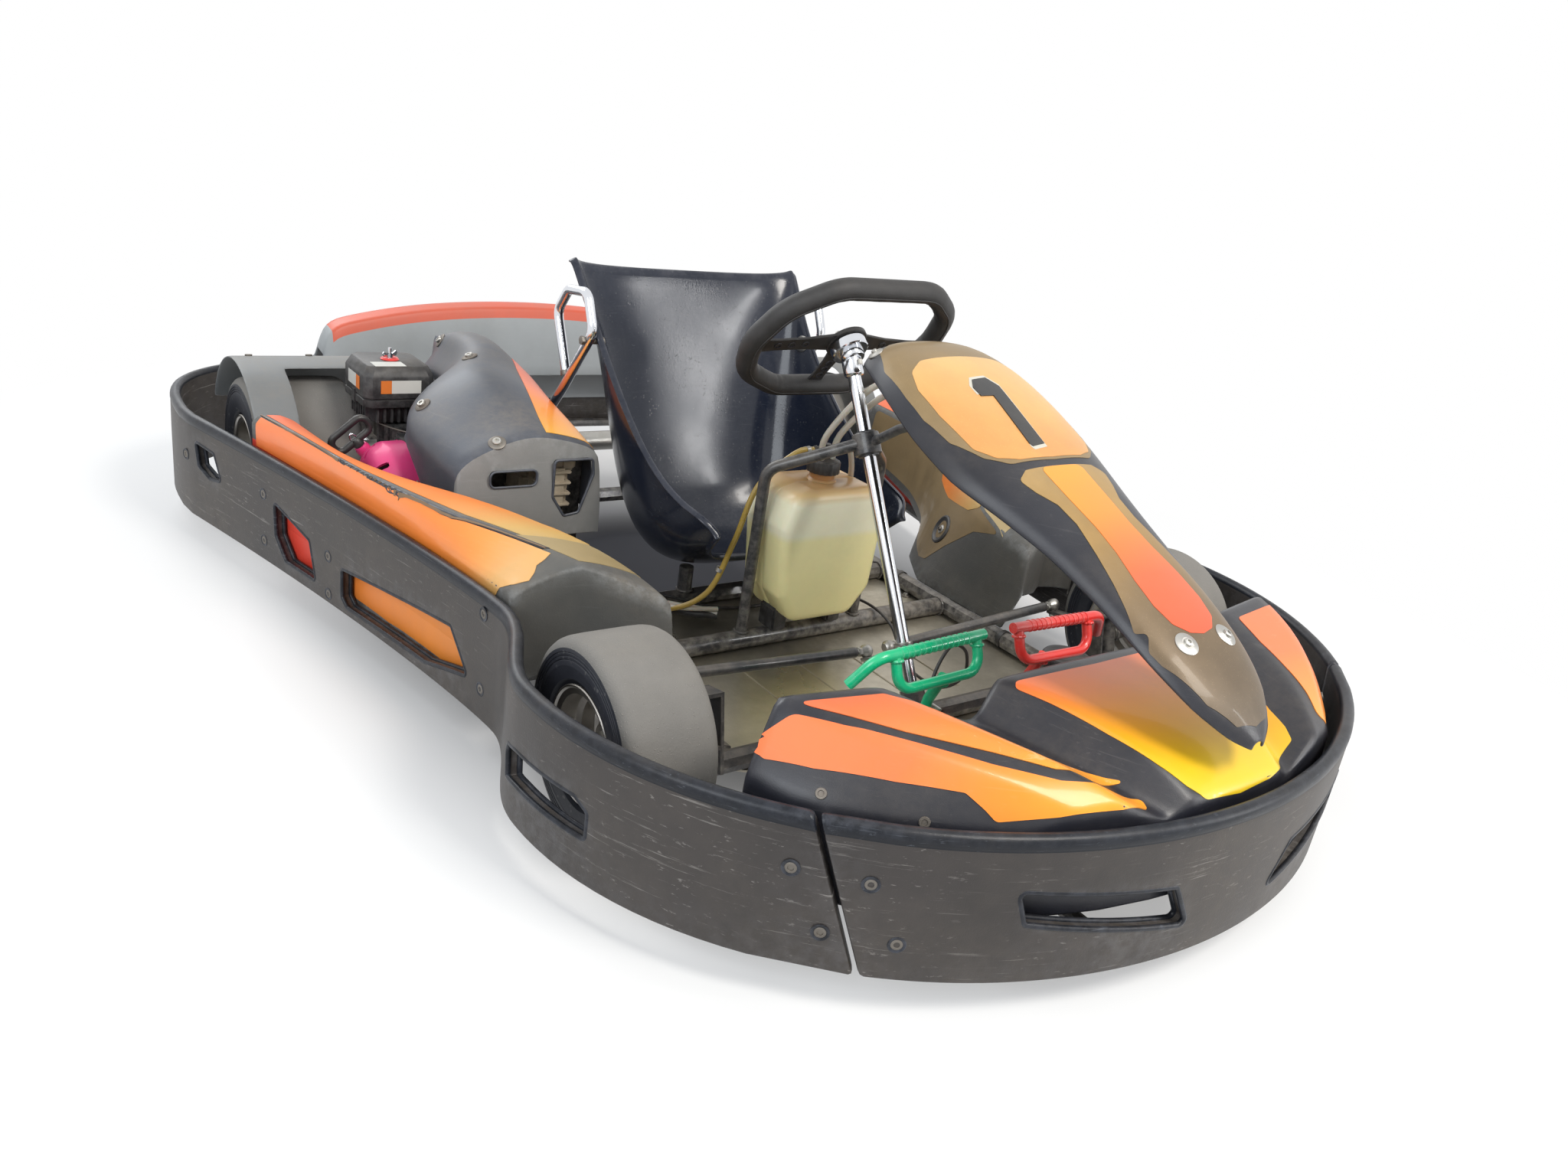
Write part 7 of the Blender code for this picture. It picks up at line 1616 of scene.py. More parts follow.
def makeClutch():
    at = facing((0, drive["crankBack"], drive["crankZ"]), (1, 0, 0))
    edge = drive["chainX"] - 0.0045
    bm = bmesh.new()
    turn(bm, [(0.0120, edge - 0.024), (0.0500, edge - 0.024), (0.0520, edge - 0.022), (0.0520, edge - 0.002),
              (0.0500, edge), (0.0160, edge), (0.0160, edge + 0.0022), (0.0120, edge + 0.0022)], at, 0, 72)
    # eight black discs on the drum's face paint the shade inside its holes
    for k in range(8):
        turned = math.tau * k / 8
        spot = at @ Matrix.Translation((0.034 * math.cos(turned), 0.034 * math.sin(turned), edge))
        turn(bm, [(0, 0), (0.0052, 0), (0.0052, 0.0003), (0, 0.0003)], spot, 1, 20)
    ringPlate(bm, gearOutline(drive["pinion"] + 0.0008, 17, 0.0040), 0.0120, drive["chainX"] - 0.0022,
              drive["chainX"] + 0.0022, at, 0)
    put("clutchDrum", bm, [materials["oldSteel"], materials["blackPlastic"]], "clutch", ["clutch_drum"])


def chainLine(offset):
    # the loop round both sprockets, as points and unit directions at even steps
    crank, axle = Vector((drive["crankBack"], drive["crankZ"])), Vector((drive["back"], drive["z"]))
    run = axle - crank
    big, small = drive["sprocket"] + offset, drive["pinion"] + offset
    tilt, opening = math.atan2(run.y, run.x), math.acos((big - small) / run.length)
    points = []
    for centre, radius, start, end in ((axle, big, math.pi - opening, -(math.pi - opening)),
                                       (crank, small, -(math.pi - opening), -(math.pi + opening))):
        for step in range(33):
            turned = tilt + start + (end - start) * step / 32
            points.append(centre + Vector((math.cos(turned), math.sin(turned))) * radius)
    return points


def makeChain():
    line = chainLine(0.0036)
    line.append(line[0])
    lengths = [(b - a).length for a, b in zip(line, line[1:])]
    links = round(sum(lengths) / 0.0095 / 2) * 2
    bm = bmesh.new()
    for number in range(links):
        wanted = sum(lengths) * number / links
        for length, a, b in zip(lengths, line, line[1:]):
            if wanted <= length:
                break
            wanted -= length
        spot, way = a.lerp(b, wanted / max(length, 1e-9)), (b - a).normalized()
        at = Matrix.Translation((drive["chainX"], spot.x, spot.y)) @ \
            Matrix.Rotation(math.atan2(way.y, way.x), 4, "X")
        wide = 0.0034 if number % 2 else 0.0022
        for side in (1, -1):
            box(bm, (side * wide - 0.0005, -0.0062, -0.0036), (side * wide + 0.0005, 0.0062, 0.0036), 0.0004, at, 0, 1)
        turn(bm, rod(0.0022, -0.0038, 0.0038), at @ Matrix.Translation((0, 0.0047, 0)) @
             Matrix.Rotation(math.pi / 2, 4, "Y"), 1, 10)
    put("driveChain", bm, [materials["oldSteel"], materials["zincSteel"]], "chassis", ["drive_chain"])


def makeCaliper():
    x1, x2, ahead = drive["brakeX"] - 0.022, drive["brakeX"] + 0.022, drive["back"] - drive["disc"]
    bm = bmesh.new()
    for low, high in ((x1, drive["brakeX"] - 0.0042), (drive["brakeX"] + 0.0042, x2)):
        box(bm, (low, ahead - 0.028, 0.108), (high, ahead + 0.030, 0.172), 0.005, None, 0, 3)
    box(bm, (x1 + 0.004, ahead - 0.0275, 0.116), (x2 - 0.004, ahead - 0.013, 0.164), 0.003, None, 0)
    box(bm, (x1 + 0.004, 0.958, 0.0736), (x2 - 0.004, ahead - 0.014, 0.125), 0.002, None, 0)
    for z in (0.124, 0.156):
        washerBolt(bm, facing((x2 - 0.0004, ahead - 0.014, z), (1, 0, 0)), 0.007, 1, 1, socket=False)
        turn(bm, [(0, 0), (0.013, 0), (0.013, 0.002), (0.011, 0.0035), (0, 0.0035)],
             facing((x2 - 0.0004, ahead + 0.012, z - (0.016 if z > 0.14 else -0.016)), (1, 0, 0)), 0, 32)
    turn(bm, [(0, 0), (0.0042, 0), (0.0042, 0.006), (0.0028, 0.008), (0.0028, 0.014), (0, 0.0145)],
         facing((drive["brakeX"] + 0.012, ahead + 0.012, 0.1715), (0, 0, 1)), 1, 20)
    put("brakeCaliper", bm, [materials["engineBlack"], materials["zincSteel"]], "chassis",
        ["brake_caliper"])


makeAxle()
makeClutch()
makeChain()
makeCaliper()
print("drive and brake made")


# Engine, down the kart's right side

engine = {"back": 0.780, "plateTop": 0.0816, "left": -0.315, "right": -0.480, "lean": 40.0,
          "rope": (-0.520, 0.840, 0.210), "filter": (-0.4525, 0.944)}


def makeEngine():
    back, low = engine["back"], engine["plateTop"]
    bm = bmesh.new()
    box(bm, (engine["right"], back - 0.105, low), (engine["left"], back + 0.085, 0.240), 0.010, None, 0, 3)
    box(bm, (-0.500, back - 0.120, 0.0736), (-0.300, back + 0.120, low), 0.002, None, 1)
    for k in range(5):      # cooling ribs on the crankcase side and the sump
        y = back - 0.085 + 0.036 * k
        box(bm, (engine["left"] - 0.002, y, low + 0.010), (engine["left"] + 0.004, y + 0.005, 0.150), 0.0012, None, 0)
    turn(bm, [(0, 0), (0.040, 0), (0.043, 0.003), (0.043, 0.008), (0.036, 0.012), (0.034, 0.024), (0.020, 0.026), (0, 0.026)],
         facing((engine["left"] - 0.002, back, drive["crankZ"]), (1, 0, 0)), 0, 48)
    turn(bm, rod(0.011, 0.0, 0.060, 0.001), facing((engine["left"], back, drive["crankZ"]), (1, 0, 0)), 1, 32)
    for k in range(6):
        turned = math.tau * k / 6 + 0.3
        spot = (engine["left"] + 0.0062, back + 0.037 * math.cos(turned), drive["crankZ"] + 0.037 * math.sin(turned))
        nut(bm, facing(spot, (1, 0, 0)), 0.008, 0.005, 1)
    # cylinder with its fins, head cover and plug
    box(bm, (-0.455, back + 0.060, 0.150), (-0.345, back + 0.170, 0.232), 0.006, None, 0)
    for k in range(9):
        y = back + 0.088 + 0.0095 * k
        box(bm, (-0.472, y, 0.141), (-0.332, y + 0.0032, 0.243), 0.0010, None, 0)
    box(bm, (-0.445, back + 0.168, 0.156), (-0.355, back + 0.182, 0.226), 0.006, None, 0, 3)
    for x in (-0.436, -0.364):
        for z in (0.166, 0.216):
            washerBolt(bm, facing((x, back + 0.1815, z), (0, 1, 0)), 0.006, 1, 1, socket=False)
    turn(bm, [(0, 0), (0.008, 0), (0.008, 0.004), (0.006, 0.005), (0.0055, 0.016), (0.010, 0.018), (0.010, 0.030),
              (0.008, 0.033), (0, 0.033)], facing((-0.400, back + 0.165, 0.226), (0, 0.8, 0.6)), 2, 28)
    plug = Vector((-0.400, back + 0.165, 0.226)) + Vector((0, 0.8, 0.6)) * 0.026
    sweep(bm, flowing([plug, plug + Vector((-0.020, 0.010, -0.004)), plug + Vector((-0.052, -0.014, -0.030)),
                       plug + Vector((-0.060, -0.070, -0.048)), (-0.474, back + 0.050, 0.170)], 0.006), 0.0038, 2, 12)
    # oil filler caps and drain
    for x, y in ((-0.470, back - 0.092), (-0.335, back - 0.100)):
        turn(bm, [(0, 0), (0.011, 0), (0.011, 0.010), (0.014, 0.011), (0.014, 0.020), (0.012, 0.022), (0, 0.022)],
             facing((x, y, low + 0.028), (0, -0.9, 0.42)), 2, 26)
    nut(bm, facing((-0.400, back - 0.104, low + 0.014), (0, -1, 0)), 0.014, 0.008, 1)
    # carburettor, intake and the linkage on top
    box(bm, (-0.470, back + 0.150, 0.200), (-0.430, back + 0.196, 0.244), 0.005, None, 1)
    turn(bm, rod(0.017, 0.0, 0.022, 0.002), facing((-0.450, back + 0.173, 0.200), (0, 0, -1)), 1, 30)
    sweep(bm, flowing([(-0.4750, back + 0.175, 0.236), (-0.482, back + 0.120, 0.244), (-0.470, back + 0.060, 0.250),
                       (-0.440, back + 0.010, 0.252)], 0.01), 0.0014, 1, 8)
    box(bm, (-0.462, back - 0.010, 0.239), (-0.424, back + 0.052, 0.246), 0.002, None, 1)
    for x, y in ((-0.455, back), (-0.431, back + 0.042), (-0.345, back - 0.085), (-0.455, back - 0.085)):
        washerBolt(bm, facing((x, y, 0.2395), (0, 0, 1)), 0.007, 1, 1, socket=False)
    turn(bm, rod(0.008, 0.0, 0.098), facing((-0.368, back - 0.040, 0.238), (0, 0, 1)), 1, 20)
    put("engineBlock", bm, [materials[k] for k in ("engineBlack", "oldSteel", "blackPlastic")], "chassis",
        ["engine_block"])


def makeRecoil():
    inner, back, z = 0.4803, engine["back"], drive["crankZ"]
    at = facing((-inner, back, z), (-1, 0, 0))
    radius = 0.083
    bm = bmesh.new()
    turn(bm, [(radius - 0.004, 0.0), (radius, 0.0), (radius, 0.0020), (radius - 0.0006, 0.030), (radius - 0.0020, 0.036),
              (radius - 0.0110, 0.0500), (radius - 0.0180, 0.0560), (0.0560, 0.0600), (0.0500, 0.0618), (0.0, 0.0620),
              (0.0, 0.0590), (0.0500, 0.0588), (radius - 0.020, 0.0528), (radius - 0.006, 0.033)], at, 0, 96)
    housing = put("recoilHousing", bm, materials["pinkPlastic"], "chassis", ["recoil_housing"])
    cutters = []
    slots = bmesh.new()
    for k in range(20):
        if k in (4, 5):     # the rope's boss takes this place
            continue
        turned = at @ Matrix.Rotation(math.tau * k / 20, 4, "Z")
        box(slots, (0.0550, -0.0050, 0.030), (0.0775, 0.0050, 0.080), 0.0014, turned)
    cutters.append(slots)
    slots = bmesh.new()
    for k in range(10):
        turned = at @ Matrix.Rotation(math.tau * k / 10 + 0.1, 4, "Z")
        box(slots, (0.0280, -0.0042, 0.040), (0.0480, 0.0042, 0.080), 0.0012, turned)
    cutters.append(slots)
    cutOut(housing, cutters)

    bm = bmesh.new()
    turn(bm, [(0, 0.0615), (0.0220, 0.0615), (0.0228, 0.0628), (0.0215, 0.0640), (0.0180, 0.0640), (0.0170, 0.0632),
              (0, 0.0632)], at, 0, 64)
    turn(bm, rod(0.079, 0.006, 0.030), at, 1, 48)
    for k in range(4):
        turned = at @ Matrix.Rotation(math.tau * k / 4 + 0.5, 4, "Z") @ Matrix.Translation((0.0790, 0, 0.0200))
        box(bm, (-0.002, -0.008, -0.0195), (0.0052, 0.008, -0.0160), 0.0012, turned, 0)
        washerBolt(bm, turned @ Matrix.Translation((0.0014, 0, -0.0162)), 0.0042, 2, 2, socket=False)
    boss = ropePlace()
    turn(bm, [(0.0045, -0.030), (0.0120, -0.030), (0.0120, 0.016), (0.0105, 0.0215), (0.0080, 0.022), (0.0045, 0.020)],
         boss, 0, 40)
    put("recoilFittings", bm, [materials[k] for k in ("pinkPlastic", "blackPlastic", "zincSteel")], "chassis")


def ropePlace():
    return Matrix.Translation(engine["rope"]) @ Matrix.Rotation(math.radians(-engine["lean"]), 4, "Y")


def makeStarterGrip():
    at = ropePlace()
    bm = bmesh.new()
    base = 0.022
    corners = [(-0.034, 0, base + 0.010), (-0.034, 0, base + 0.038), (0.034, 0, base + 0.038), (0.034, 0, base + 0.010)]
    loop = rounded([at @ Vector(p) for p in corners], 0.0125, 8, closed=True)
    sweep(bm, loop, 0.0060, 0, 20, closed=True)
    turn(bm, rod(0.0026, -0.028, base + 0.012), at, 1, 14)
    turn(bm, [(0, base + 0.0008), (0.0088, base + 0.0008), (0.0094, base + 0.003), (0.0082, base + 0.0125),
              (0.0060, base + 0.0150), (0, base + 0.0150)], at, 0, 28)
    link = [at @ Vector((0.0052 * math.cos(math.tau * k / 24), 0, base + 0.0160 + 0.0085 * math.sin(math.tau * k / 24)))
            for k in range(24)]
    sweep(bm, link, 0.0015, 2, 10, closed=True)
    put("starterGrip", bm, [materials[k] for k in ("blackPlastic", "oldSteel", "chromePlate")], "starter",
        ["starter_grip"])


def makeAirFilter():
    cx, cy = engine["filter"]
    corner = [(-0.0595, -0.048), (-0.0475, -0.060), (0.0475, -0.060), (0.0595, -0.048), (0.0595, 0.048),
              (0.0475, 0.060), (-0.0475, 0.060), (-0.0595, 0.048)]

    def ring(z, scale):
        return [(cx + x * scale, cy + y * scale, z) for x, y in corner]
    bm = bmesh.new()
    skin(bm, [ring(0.2463, 0.74), ring(0.2475, 0.76), ring(0.2740, 0.82), ring(0.2752, 0.985), ring(0.2775, 1.0),
              ring(0.2875, 1.0), ring(0.2885, 0.972), ring(0.2905, 0.972), ring(0.2915, 1.0), ring(0.3260, 1.0),
              ring(0.3290, 0.985), ring(0.3425, 0.865), ring(0.3440, 0.835)])
    for k in range(7):      # ribs round the lower half
        x = cx - 0.036 + 0.012 * k
        for y in (cy - 0.0497, cy + 0.0497):
            box(bm, (x - 0.0022, y - 0.0035, 0.2475), (x + 0.0022, y + 0.0035, 0.2735), 0.0008)
    for k in range(7):
        y = cy - 0.036 + 0.012 * k
        for x in (cx - 0.0490, cx + 0.0490):
            box(bm, (x - 0.0035, y - 0.0022, 0.2475), (x + 0.0035, y + 0.0022, 0.2735), 0.0008)
    for x, y in ((0.0575, 0.0), (-0.0575, 0.0)):        # snaps between lid and base
        box(bm, (cx + x - 0.004, cy + y - 0.008, 0.2720), (cx + x + 0.004, cy + y + 0.008, 0.2960), 0.0015)
    turn(bm, [(0, 0.3430), (0.0150, 0.3430), (0.0155, 0.3450), (0.0130, 0.3475), (0, 0.3475)],
         Matrix.Translation((cx, cy, 0)), 1, 36)
    turn(bm, rod(0.0030, 0.3440, 0.3635), Matrix.Translation((cx, cy, 0)), 2, 18)
    for side in (1, -1):
        at = Matrix.Translation((cx, cy, 0.3475)) @ Matrix.Rotation(math.radians(25), 4, "Z")
        turn(bm, [(0, 0), (0.0052, 0), (0.0044, 0.0065), (0, 0.0065)], at, 2, 20)
        prism(bm, [(0.003, 0.0006), (0.0135, 0.0020), (0.0160, 0.0075), (0.0128, 0.0105), (0.0080, 0.0078),
                   (0.0035, 0.0055)] if side > 0 else
              [(-0.003, 0.0006), (-0.0035, 0.0055), (-0.0080, 0.0078), (-0.0128, 0.0105), (-0.0160, 0.0075),
               (-0.0135, 0.0020)], -0.0012, 0.0012, at @ Matrix.Rotation(math.pi / 2, 4, "X"), 2, 0.0003)
    put("airFilterBox", bm, [materials[k] for k in ("blackPlastic", "redPaint", "chromePlate")], "chassis",
        ["air_filter_box"])

    bm = bmesh.new()
    box(bm, (cx - 0.040, cy - 0.050, 0.3438), (cx + 0.012, cy - 0.020, 0.3445), 0.0002)
    slope = math.atan2(0.0135, 0.0085)
    for name, side, width in (("left", 1, 0.030), ("right", -1, 0.030)):
        at = Matrix.Translation((cx + side * 0.0593, cy, 0.311))
        box(bm, (-0.0007, -width, -0.011), (0.0007, width, 0.011), 0.0002, at)
        box(bm, (-0.0010, -width, -0.011), (0.0010, -width + 0.018, 0.011), 0.0002, at, 1)
    at = Matrix.Translation((cx, cy - 0.0598, 0.311))
    box(bm, (-0.034, -0.0007, -0.011), (0.034, 0.0007, 0.011), 0.0002, at)
    box(bm, (-0.034, -0.0010, -0.011), (-0.016, 0.0010, 0.011), 0.0002, at, 1)
    put("filterLabels", bm, [materials["labelWhite"], materials["labelOrange"]], "chassis")


def makeMuffler():
    low, high = (-0.355, 0.6047, 0.150), (-0.280, 0.6747, 0.262)
    bm = bmesh.new()
    box(bm, low, high, 0.011, None, 0, 4)
    for z in (0.176, 0.206, 0.236):
        box(bm, (low[0] - 0.0006, low[1] - 0.0015, z - 0.002), (high[0] + 0.0006, high[1] - 0.004, z + 0.002), 0.0012)
    turn(bm, [(0.0095, 0), (0.0120, 0), (0.0120, 0.052), (0.0140, 0.0535), (0.0095, 0.0535)],
         facing((-0.315, 0.640, 0.100), (0, 0, 1)), 0, 30)
    turn(bm, [(0.0085, 0), (0.0115, 0), (0.0125, 0.004), (0.0105, 0.012), (0.0085, 0.012)],
         facing((-0.292, 0.6060, 0.222), (0, -1, 0.1)), 0, 30)
    # the rough casting that shows in the cover's opening, and the plate beside it
    box(bm, (-0.336, 0.5780, 0.186), (-0.286, 0.6100, 0.268), 0.009, None, 0, 4)
    for k in range(4):
        box(bm, (-0.338, 0.5745, 0.196 + 0.018 * k), (-0.284, 0.6080, 0.202 + 0.018 * k), 0.0018)
    box(bm, (-0.300, 0.5840, 0.252), (-0.272, 0.6080, 0.276), 0.005, None, 0, 3)
    box(bm, (-0.284, 0.6060, 0.105), (-0.250, 0.6150, 0.286), 0.003, None, 1)
    for x, z in ((-0.345, 0.160), (-0.290, 0.160), (-0.345, 0.252), (-0.290, 0.252)):
        washerBolt(bm, facing((x, low[1] + 0.0004, z), (0, -1, 0)), 0.005, 0, 0, socket=False)
    put("muffler", bm, [materials["hotSteel"], materials["engineBlack"]], "chassis", ["muffler"])


coverSections = [(0.556, -0.486, -0.246, 0.290, 0.322, 0.160, 0.165), (0.605, -0.494, -0.244, 0.298, 0.332, 0.160, 0.180),
                 (0.668, -0.500, -0.244, 0.312, 0.354, 0.225, 0.205), (0.740, -0.500, -0.244, 0.324, 0.378, 0.270, 0.215),
                 (0.800, -0.465, -0.244, 0.342, 0.378, 0.272, 0.232), (0.860, -0.388, -0.246, 0.350, 0.388, 0.300, 0.238),
                 (0.930, -0.370, -0.248, 0.352, 0.392, 0.305, 0.240), (1.010, -0.365, -0.252, 0.344, 0.384, 0.300, 0.240),
                 (1.075, -0.352, -0.262, 0.320, 0.356, 0.290, 0.240)]
coverStripLine = [(-0.3360, 0.5700), (-0.3270, 0.6200), (-0.3165, 0.6700), (-0.3030, 0.7300), (-0.2890, 0.7900), (-0.2730, 0.8500)]


def makeEngineCover():
    rows = []
    for back, outer, inner, shoulder, crown, lowOuter, lowInner in coverSections:
        middle = (outer + inner) / 2
        rows.append([(inner, back, lowInner), (inner, back, shoulder - 0.010), (inner - 0.016, back, shoulder + 0.012),
                     (middle + 0.03, back, crown), (middle - 0.02, back, crown), (outer + 0.022, back, shoulder),
                     (outer, back, shoulder - 0.028), (outer + 0.002, back, lowOuter)])
    low = min(z for x, y, z in rows[0])
    front = [[(x, y - 0.012, low) for x, y, z in rows[0]],
             [(x, y - 0.011, low + (z - low) * 0.52) for x, y, z in rows[0]]]
    grid = front + rows

    def finishOf(i, j):
        return 1 if i < 2 else 0
    cover = shell("engineCover", grid, 0.004, [materials["coverMoulding"], materials["coverSkirt"]], "chassis",
                  ["engine_cover"], [(1, 0.35), (2, 0.25), (3, 0.1), (4, 0.1), (5, 0.2), (6, 0.3)],
                  [(1, 0.45), (2, 0.45)], matOf=finishOf)
    applied(cover)
    slots = bmesh.new()
    slotLoop = [(-0.434, 0.246), (-0.358, 0.246), (-0.358, 0.271), (-0.434, 0.271)]
    holeLoop = [(-0.330, 0.284), (-0.330, 0.225), (-0.309, 0.192), (-0.284, 0.196), (-0.262, 0.258), (-0.265, 0.284)]
    slotLoop, holeLoop = ([tuple(p) for p in rounded([Vector(p) for p in loop], bend, 5, closed=True)]
                          for loop, bend in ((slotLoop, 0.009), (holeLoop, 0.006)))
    skin(slots, [[(x, y, z) for x, z in slotLoop] for y in (0.50, 0.59)])
    hole = bmesh.new()
    skin(hole, [[(x, y, z) for x, z in holeLoop] for y in (0.50, 0.59)])
    cutOut(cover, [slots, hole])
    top = Surface(cover)
    spot = lambda a, b: (a, b, 0.6)
    down = (0, 0, -1)
    edge = [(x, y) for x, y in coverStripLine]
    outline = edge + [(-0.2475, 0.850), (-0.2485, 0.780), (-0.2490, 0.700), (-0.2500, 0.630), (-0.2520, 0.572)]
    film("coverStrip", top, outline, spot, down, materials["coverStrip"], "chassis", 0.0008)
    bm = bmesh.new()
    for x, y in ((-0.358, 0.829), (-0.417, 0.566), (-0.330, 1.035), (-0.470, 0.735)):
        hit, up = top.meet((x, y, 0.6), down)
        if hit is not None:
            washerBolt(bm, facing(hit - up * 0.0003, up), 0.0135, 0, 1)
    put("coverBolts", bm, [materials["oldSteel"], materials["zincSteel"]], "chassis")
    bm = bmesh.new()
    for loop, radius in ((slotLoop, 0.0018), (holeLoop, 0.0022)):
        sweep(bm, [Vector((x, 0.5450, z)) for x, z in loop], radius, 0, 10, closed=True)
    put("coverLips", bm, materials["coverMoulding"], "chassis")


makeEngine()
makeRecoil()
makeStarterGrip()
makeAirFilter()
makeMuffler()
makeEngineCover()
print("engine made")


# Steering

steering = {"foot": (0, 0.020, 0.080), "lean": 31.0, "faceLean": 19.0, "length": 0.475, "radius": 0.010,
            "halfWidth": 0.168, "top": 0.116, "bottom": 0.108, "grip": 0.0160, "ringZ": 0.014, "bush": 0.372}


def columnPlace():
    return Matrix.Translation(steering["foot"]) @ Matrix.Rotation(math.radians(-steering["lean"]), 4, "X")


def columnAt(up, back=0.0, x=0.0):
    return columnPlace() @ Vector((x, back, up))


def wheelRing():
    w, t, b = steering["halfWidth"], steering["top"], steering["bottom"]
    corners = [(-0.086, t), (0.086, t), (w - 0.018, t * 0.60), (w, 0.0), (w - 0.022, -b * 0.62), (0.070, -b),
               (-0.070, -b), (-w + 0.022, -b * 0.62), (-w, 0.0), (-w + 0.018, t * 0.60)]
    loop = rounded([Vector((x, -y, steering["ringZ"])) for x, y in corners], 0.070, 9, closed=True)
    fine = []
    for a, b in zip(loop, loop[1:] + loop[:1]):
        count = max(1, round((b - a).length / 0.010))
        fine += [a.lerp(b, k / count) for k in range(count)]
    return fine


def makeSteering():
    column, length = columnPlace(), steering["length"]
    face = column @ Matrix.Translation((0, 0, 0.515)) @ Matrix.Rotation(math.radians(-steering["faceLean"]), 4, "X")
    bm = bmesh.new()
    turn(bm, [(0, 0.0006), (0.0085, 0.0006), (0.0100, 0.0020), (0.0100, length - 0.002), (0.0135, length),
              (0.0150, length + 0.003), (0.0150, length + 0.033), (0.0135, length + 0.036), (0, length + 0.036)], column,
         0, 48)
    for up in (0.052, 0.072):
        turn(bm, [(0.0100, up), (0.0135, up), (0.0142, up + 0.0015), (0.0142, up + 0.0055), (0.0100, up + 0.0060)],
             column, 1, 36)
    arm = [(-0.012, 0.004), (0.012, 0.004), (0.033, 0.048), (0.032, 0.064), (0.026, 0.070), (-0.026, 0.070), (-0.032, 0.064),
           (-0.033, 0.048)]
    prism(bm, arm, 0.059, 0.065, column, 1, 0.0008)
    for x in (-0.022, 0.022):
        nut(bm, column @ Matrix.Translation((x, 0.060, 0.0530)), 0.012, 0.006, 1)
        turn(bm, rod(0.0045, 0.052, 0.068), column @ Matrix.Translation((x, 0.060, 0)), 1, 18)
    # flange under the wheel, and its three bolts
    turn(bm, [(0, -0.0060), (0.0265, -0.0060), (0.0280, -0.0045), (0.0280, 0.0080), (0.0265, 0.0097), (0, 0.0097)], face,
         0, 48)
    turn(bm, [(0, -0.0180), (0.0165, -0.0180), (0.0185, -0.0150), (0.0185, -0.0060), (0, -0.0060)], face, 0, 40)
    box(bm, (-0.004, -0.020, length + 0.012), (0.004, 0.020, length + 0.020), 0.001, column, 1)
    put("steeringColumn", bm, [materials["chromePlate"], materials["zincSteel"]], "steering",
        ["steering_column"])

    bm = bmesh.new()
    ring = wheelRing()
    count = len(ring)
    rings = []
    for i, point in enumerate(ring):
        way = (ring[(i + 1) % count] - ring[i - 1]).normalized()
        up = Vector((0, 0, 1))
        out = way.cross(up).normalized()
        section = []
        for k in range(20):
            turned = math.tau * k / 20
            # a fuller back with shallow finger waves on the inner side
            wave = 0.0006 * math.sin(i * 1.5) * max(0.0, -math.cos(turned))
            section.append(face @ (point + out * (steering["grip"] * 0.97 + wave) * math.cos(turned)
                                   + up * steering["grip"] * math.sin(turned)))
        rings.append(section)
    skin(bm, rings, 0, closed=True)
    # seam round the inner side
    seam = []
    for i, point in enumerate(ring):
        way = (ring[(i + 1) % count] - ring[i - 1]).normalized()
        seam.append(face @ (point + way.cross(Vector((0, 0, 1))).normalized() * -steering["grip"] * 0.0
                            + Vector((0, 0, -steering["grip"]))))
    sweep(bm, seam, 0.0011, 0, 8, closed=True)
    turn(bm, [(0, 0.0100), (0.0305, 0.0100), (0.0320, 0.0112), (0.0320, 0.0168), (0.0305, 0.0180), (0, 0.0180)], face, 1,
         56)
    w, b = steering["halfWidth"], steering["bottom"]
    for x1, y1, x2, y2 in ((0.012, 0.0, w - 0.010, -0.012), (-0.012, 0.0, -w + 0.010, -0.012), (0, -0.012, 0, -b + 0.004)):
        along = Vector((x2 - x1, y2 - y1))
        across = Vector((-along.y, along.x)).normalized()
        outline = []
        for share, half in ((0.0, 0.019), (0.18, 0.016), (0.40, 0.0125), (0.75, 0.0115), (1.0, 0.0140)):
            outline.append(Vector((x1, y1)) + along * share + across * half)
        outline += [Vector((x1, y1)) + along * share - across * half
                    for share, half in ((1.0, 0.0140), (0.75, 0.0115), (0.40, 0.0125), (0.18, 0.016), (0.0, 0.019))]
        prism(bm, [(p.x, -p.y) for p in outline], 0.0120, 0.0160, face, 1, 0.0008)
        for share in (0.42, 0.58, 0.74):
            spot = Vector((x1, y1)) + along * share
            turn(bm, [(0.0042, 0.0110), (0.0058, 0.0110), (0.0062, 0.0118), (0.0062, 0.0162), (0.0058, 0.0170),
                      (0.0048, 0.0170), (0.0042, 0.0162)], face @ Matrix.Translation((spot.x, -spot.y, 0)), 2, 26)
    turn(bm, [(0, 0.0178), (0.0150, 0.0178), (0.0160, 0.0190), (0.0155, 0.0215), (0.0120, 0.0230), (0, 0.0234)], face, 2,
         44)
    for k in range(3):
        turned = math.tau * k / 3 + math.pi / 2
        screwHead(bm, face @ Matrix.Translation((0.0235 * math.cos(turned), 0.0235 * math.sin(turned), 0.0178)), 0.0042,
                  0.0034, 3)
    put("steeringWheel", bm, [materials[k] for k in ("wheelGrip", "blackPlastic", "darkMoulding", "zincSteel")],
        "steering", ["steering_wheel"])


def beadRound(bm, at, radius, mat=0):
    # a weld bead round a tube that stands on the XY plane of the matrix
    loop = []
    for k in range(36):
        turned = math.tau * k / 36
        reach = radius + 0.0006 + 0.0005 * math.sin(k * 2.2)
        loop.append(at @ Vector((reach * math.cos(turned), reach * math.sin(turned), 0.0012)))
    sweep(bm, loop, 0.0022, mat, 8, closed=True)


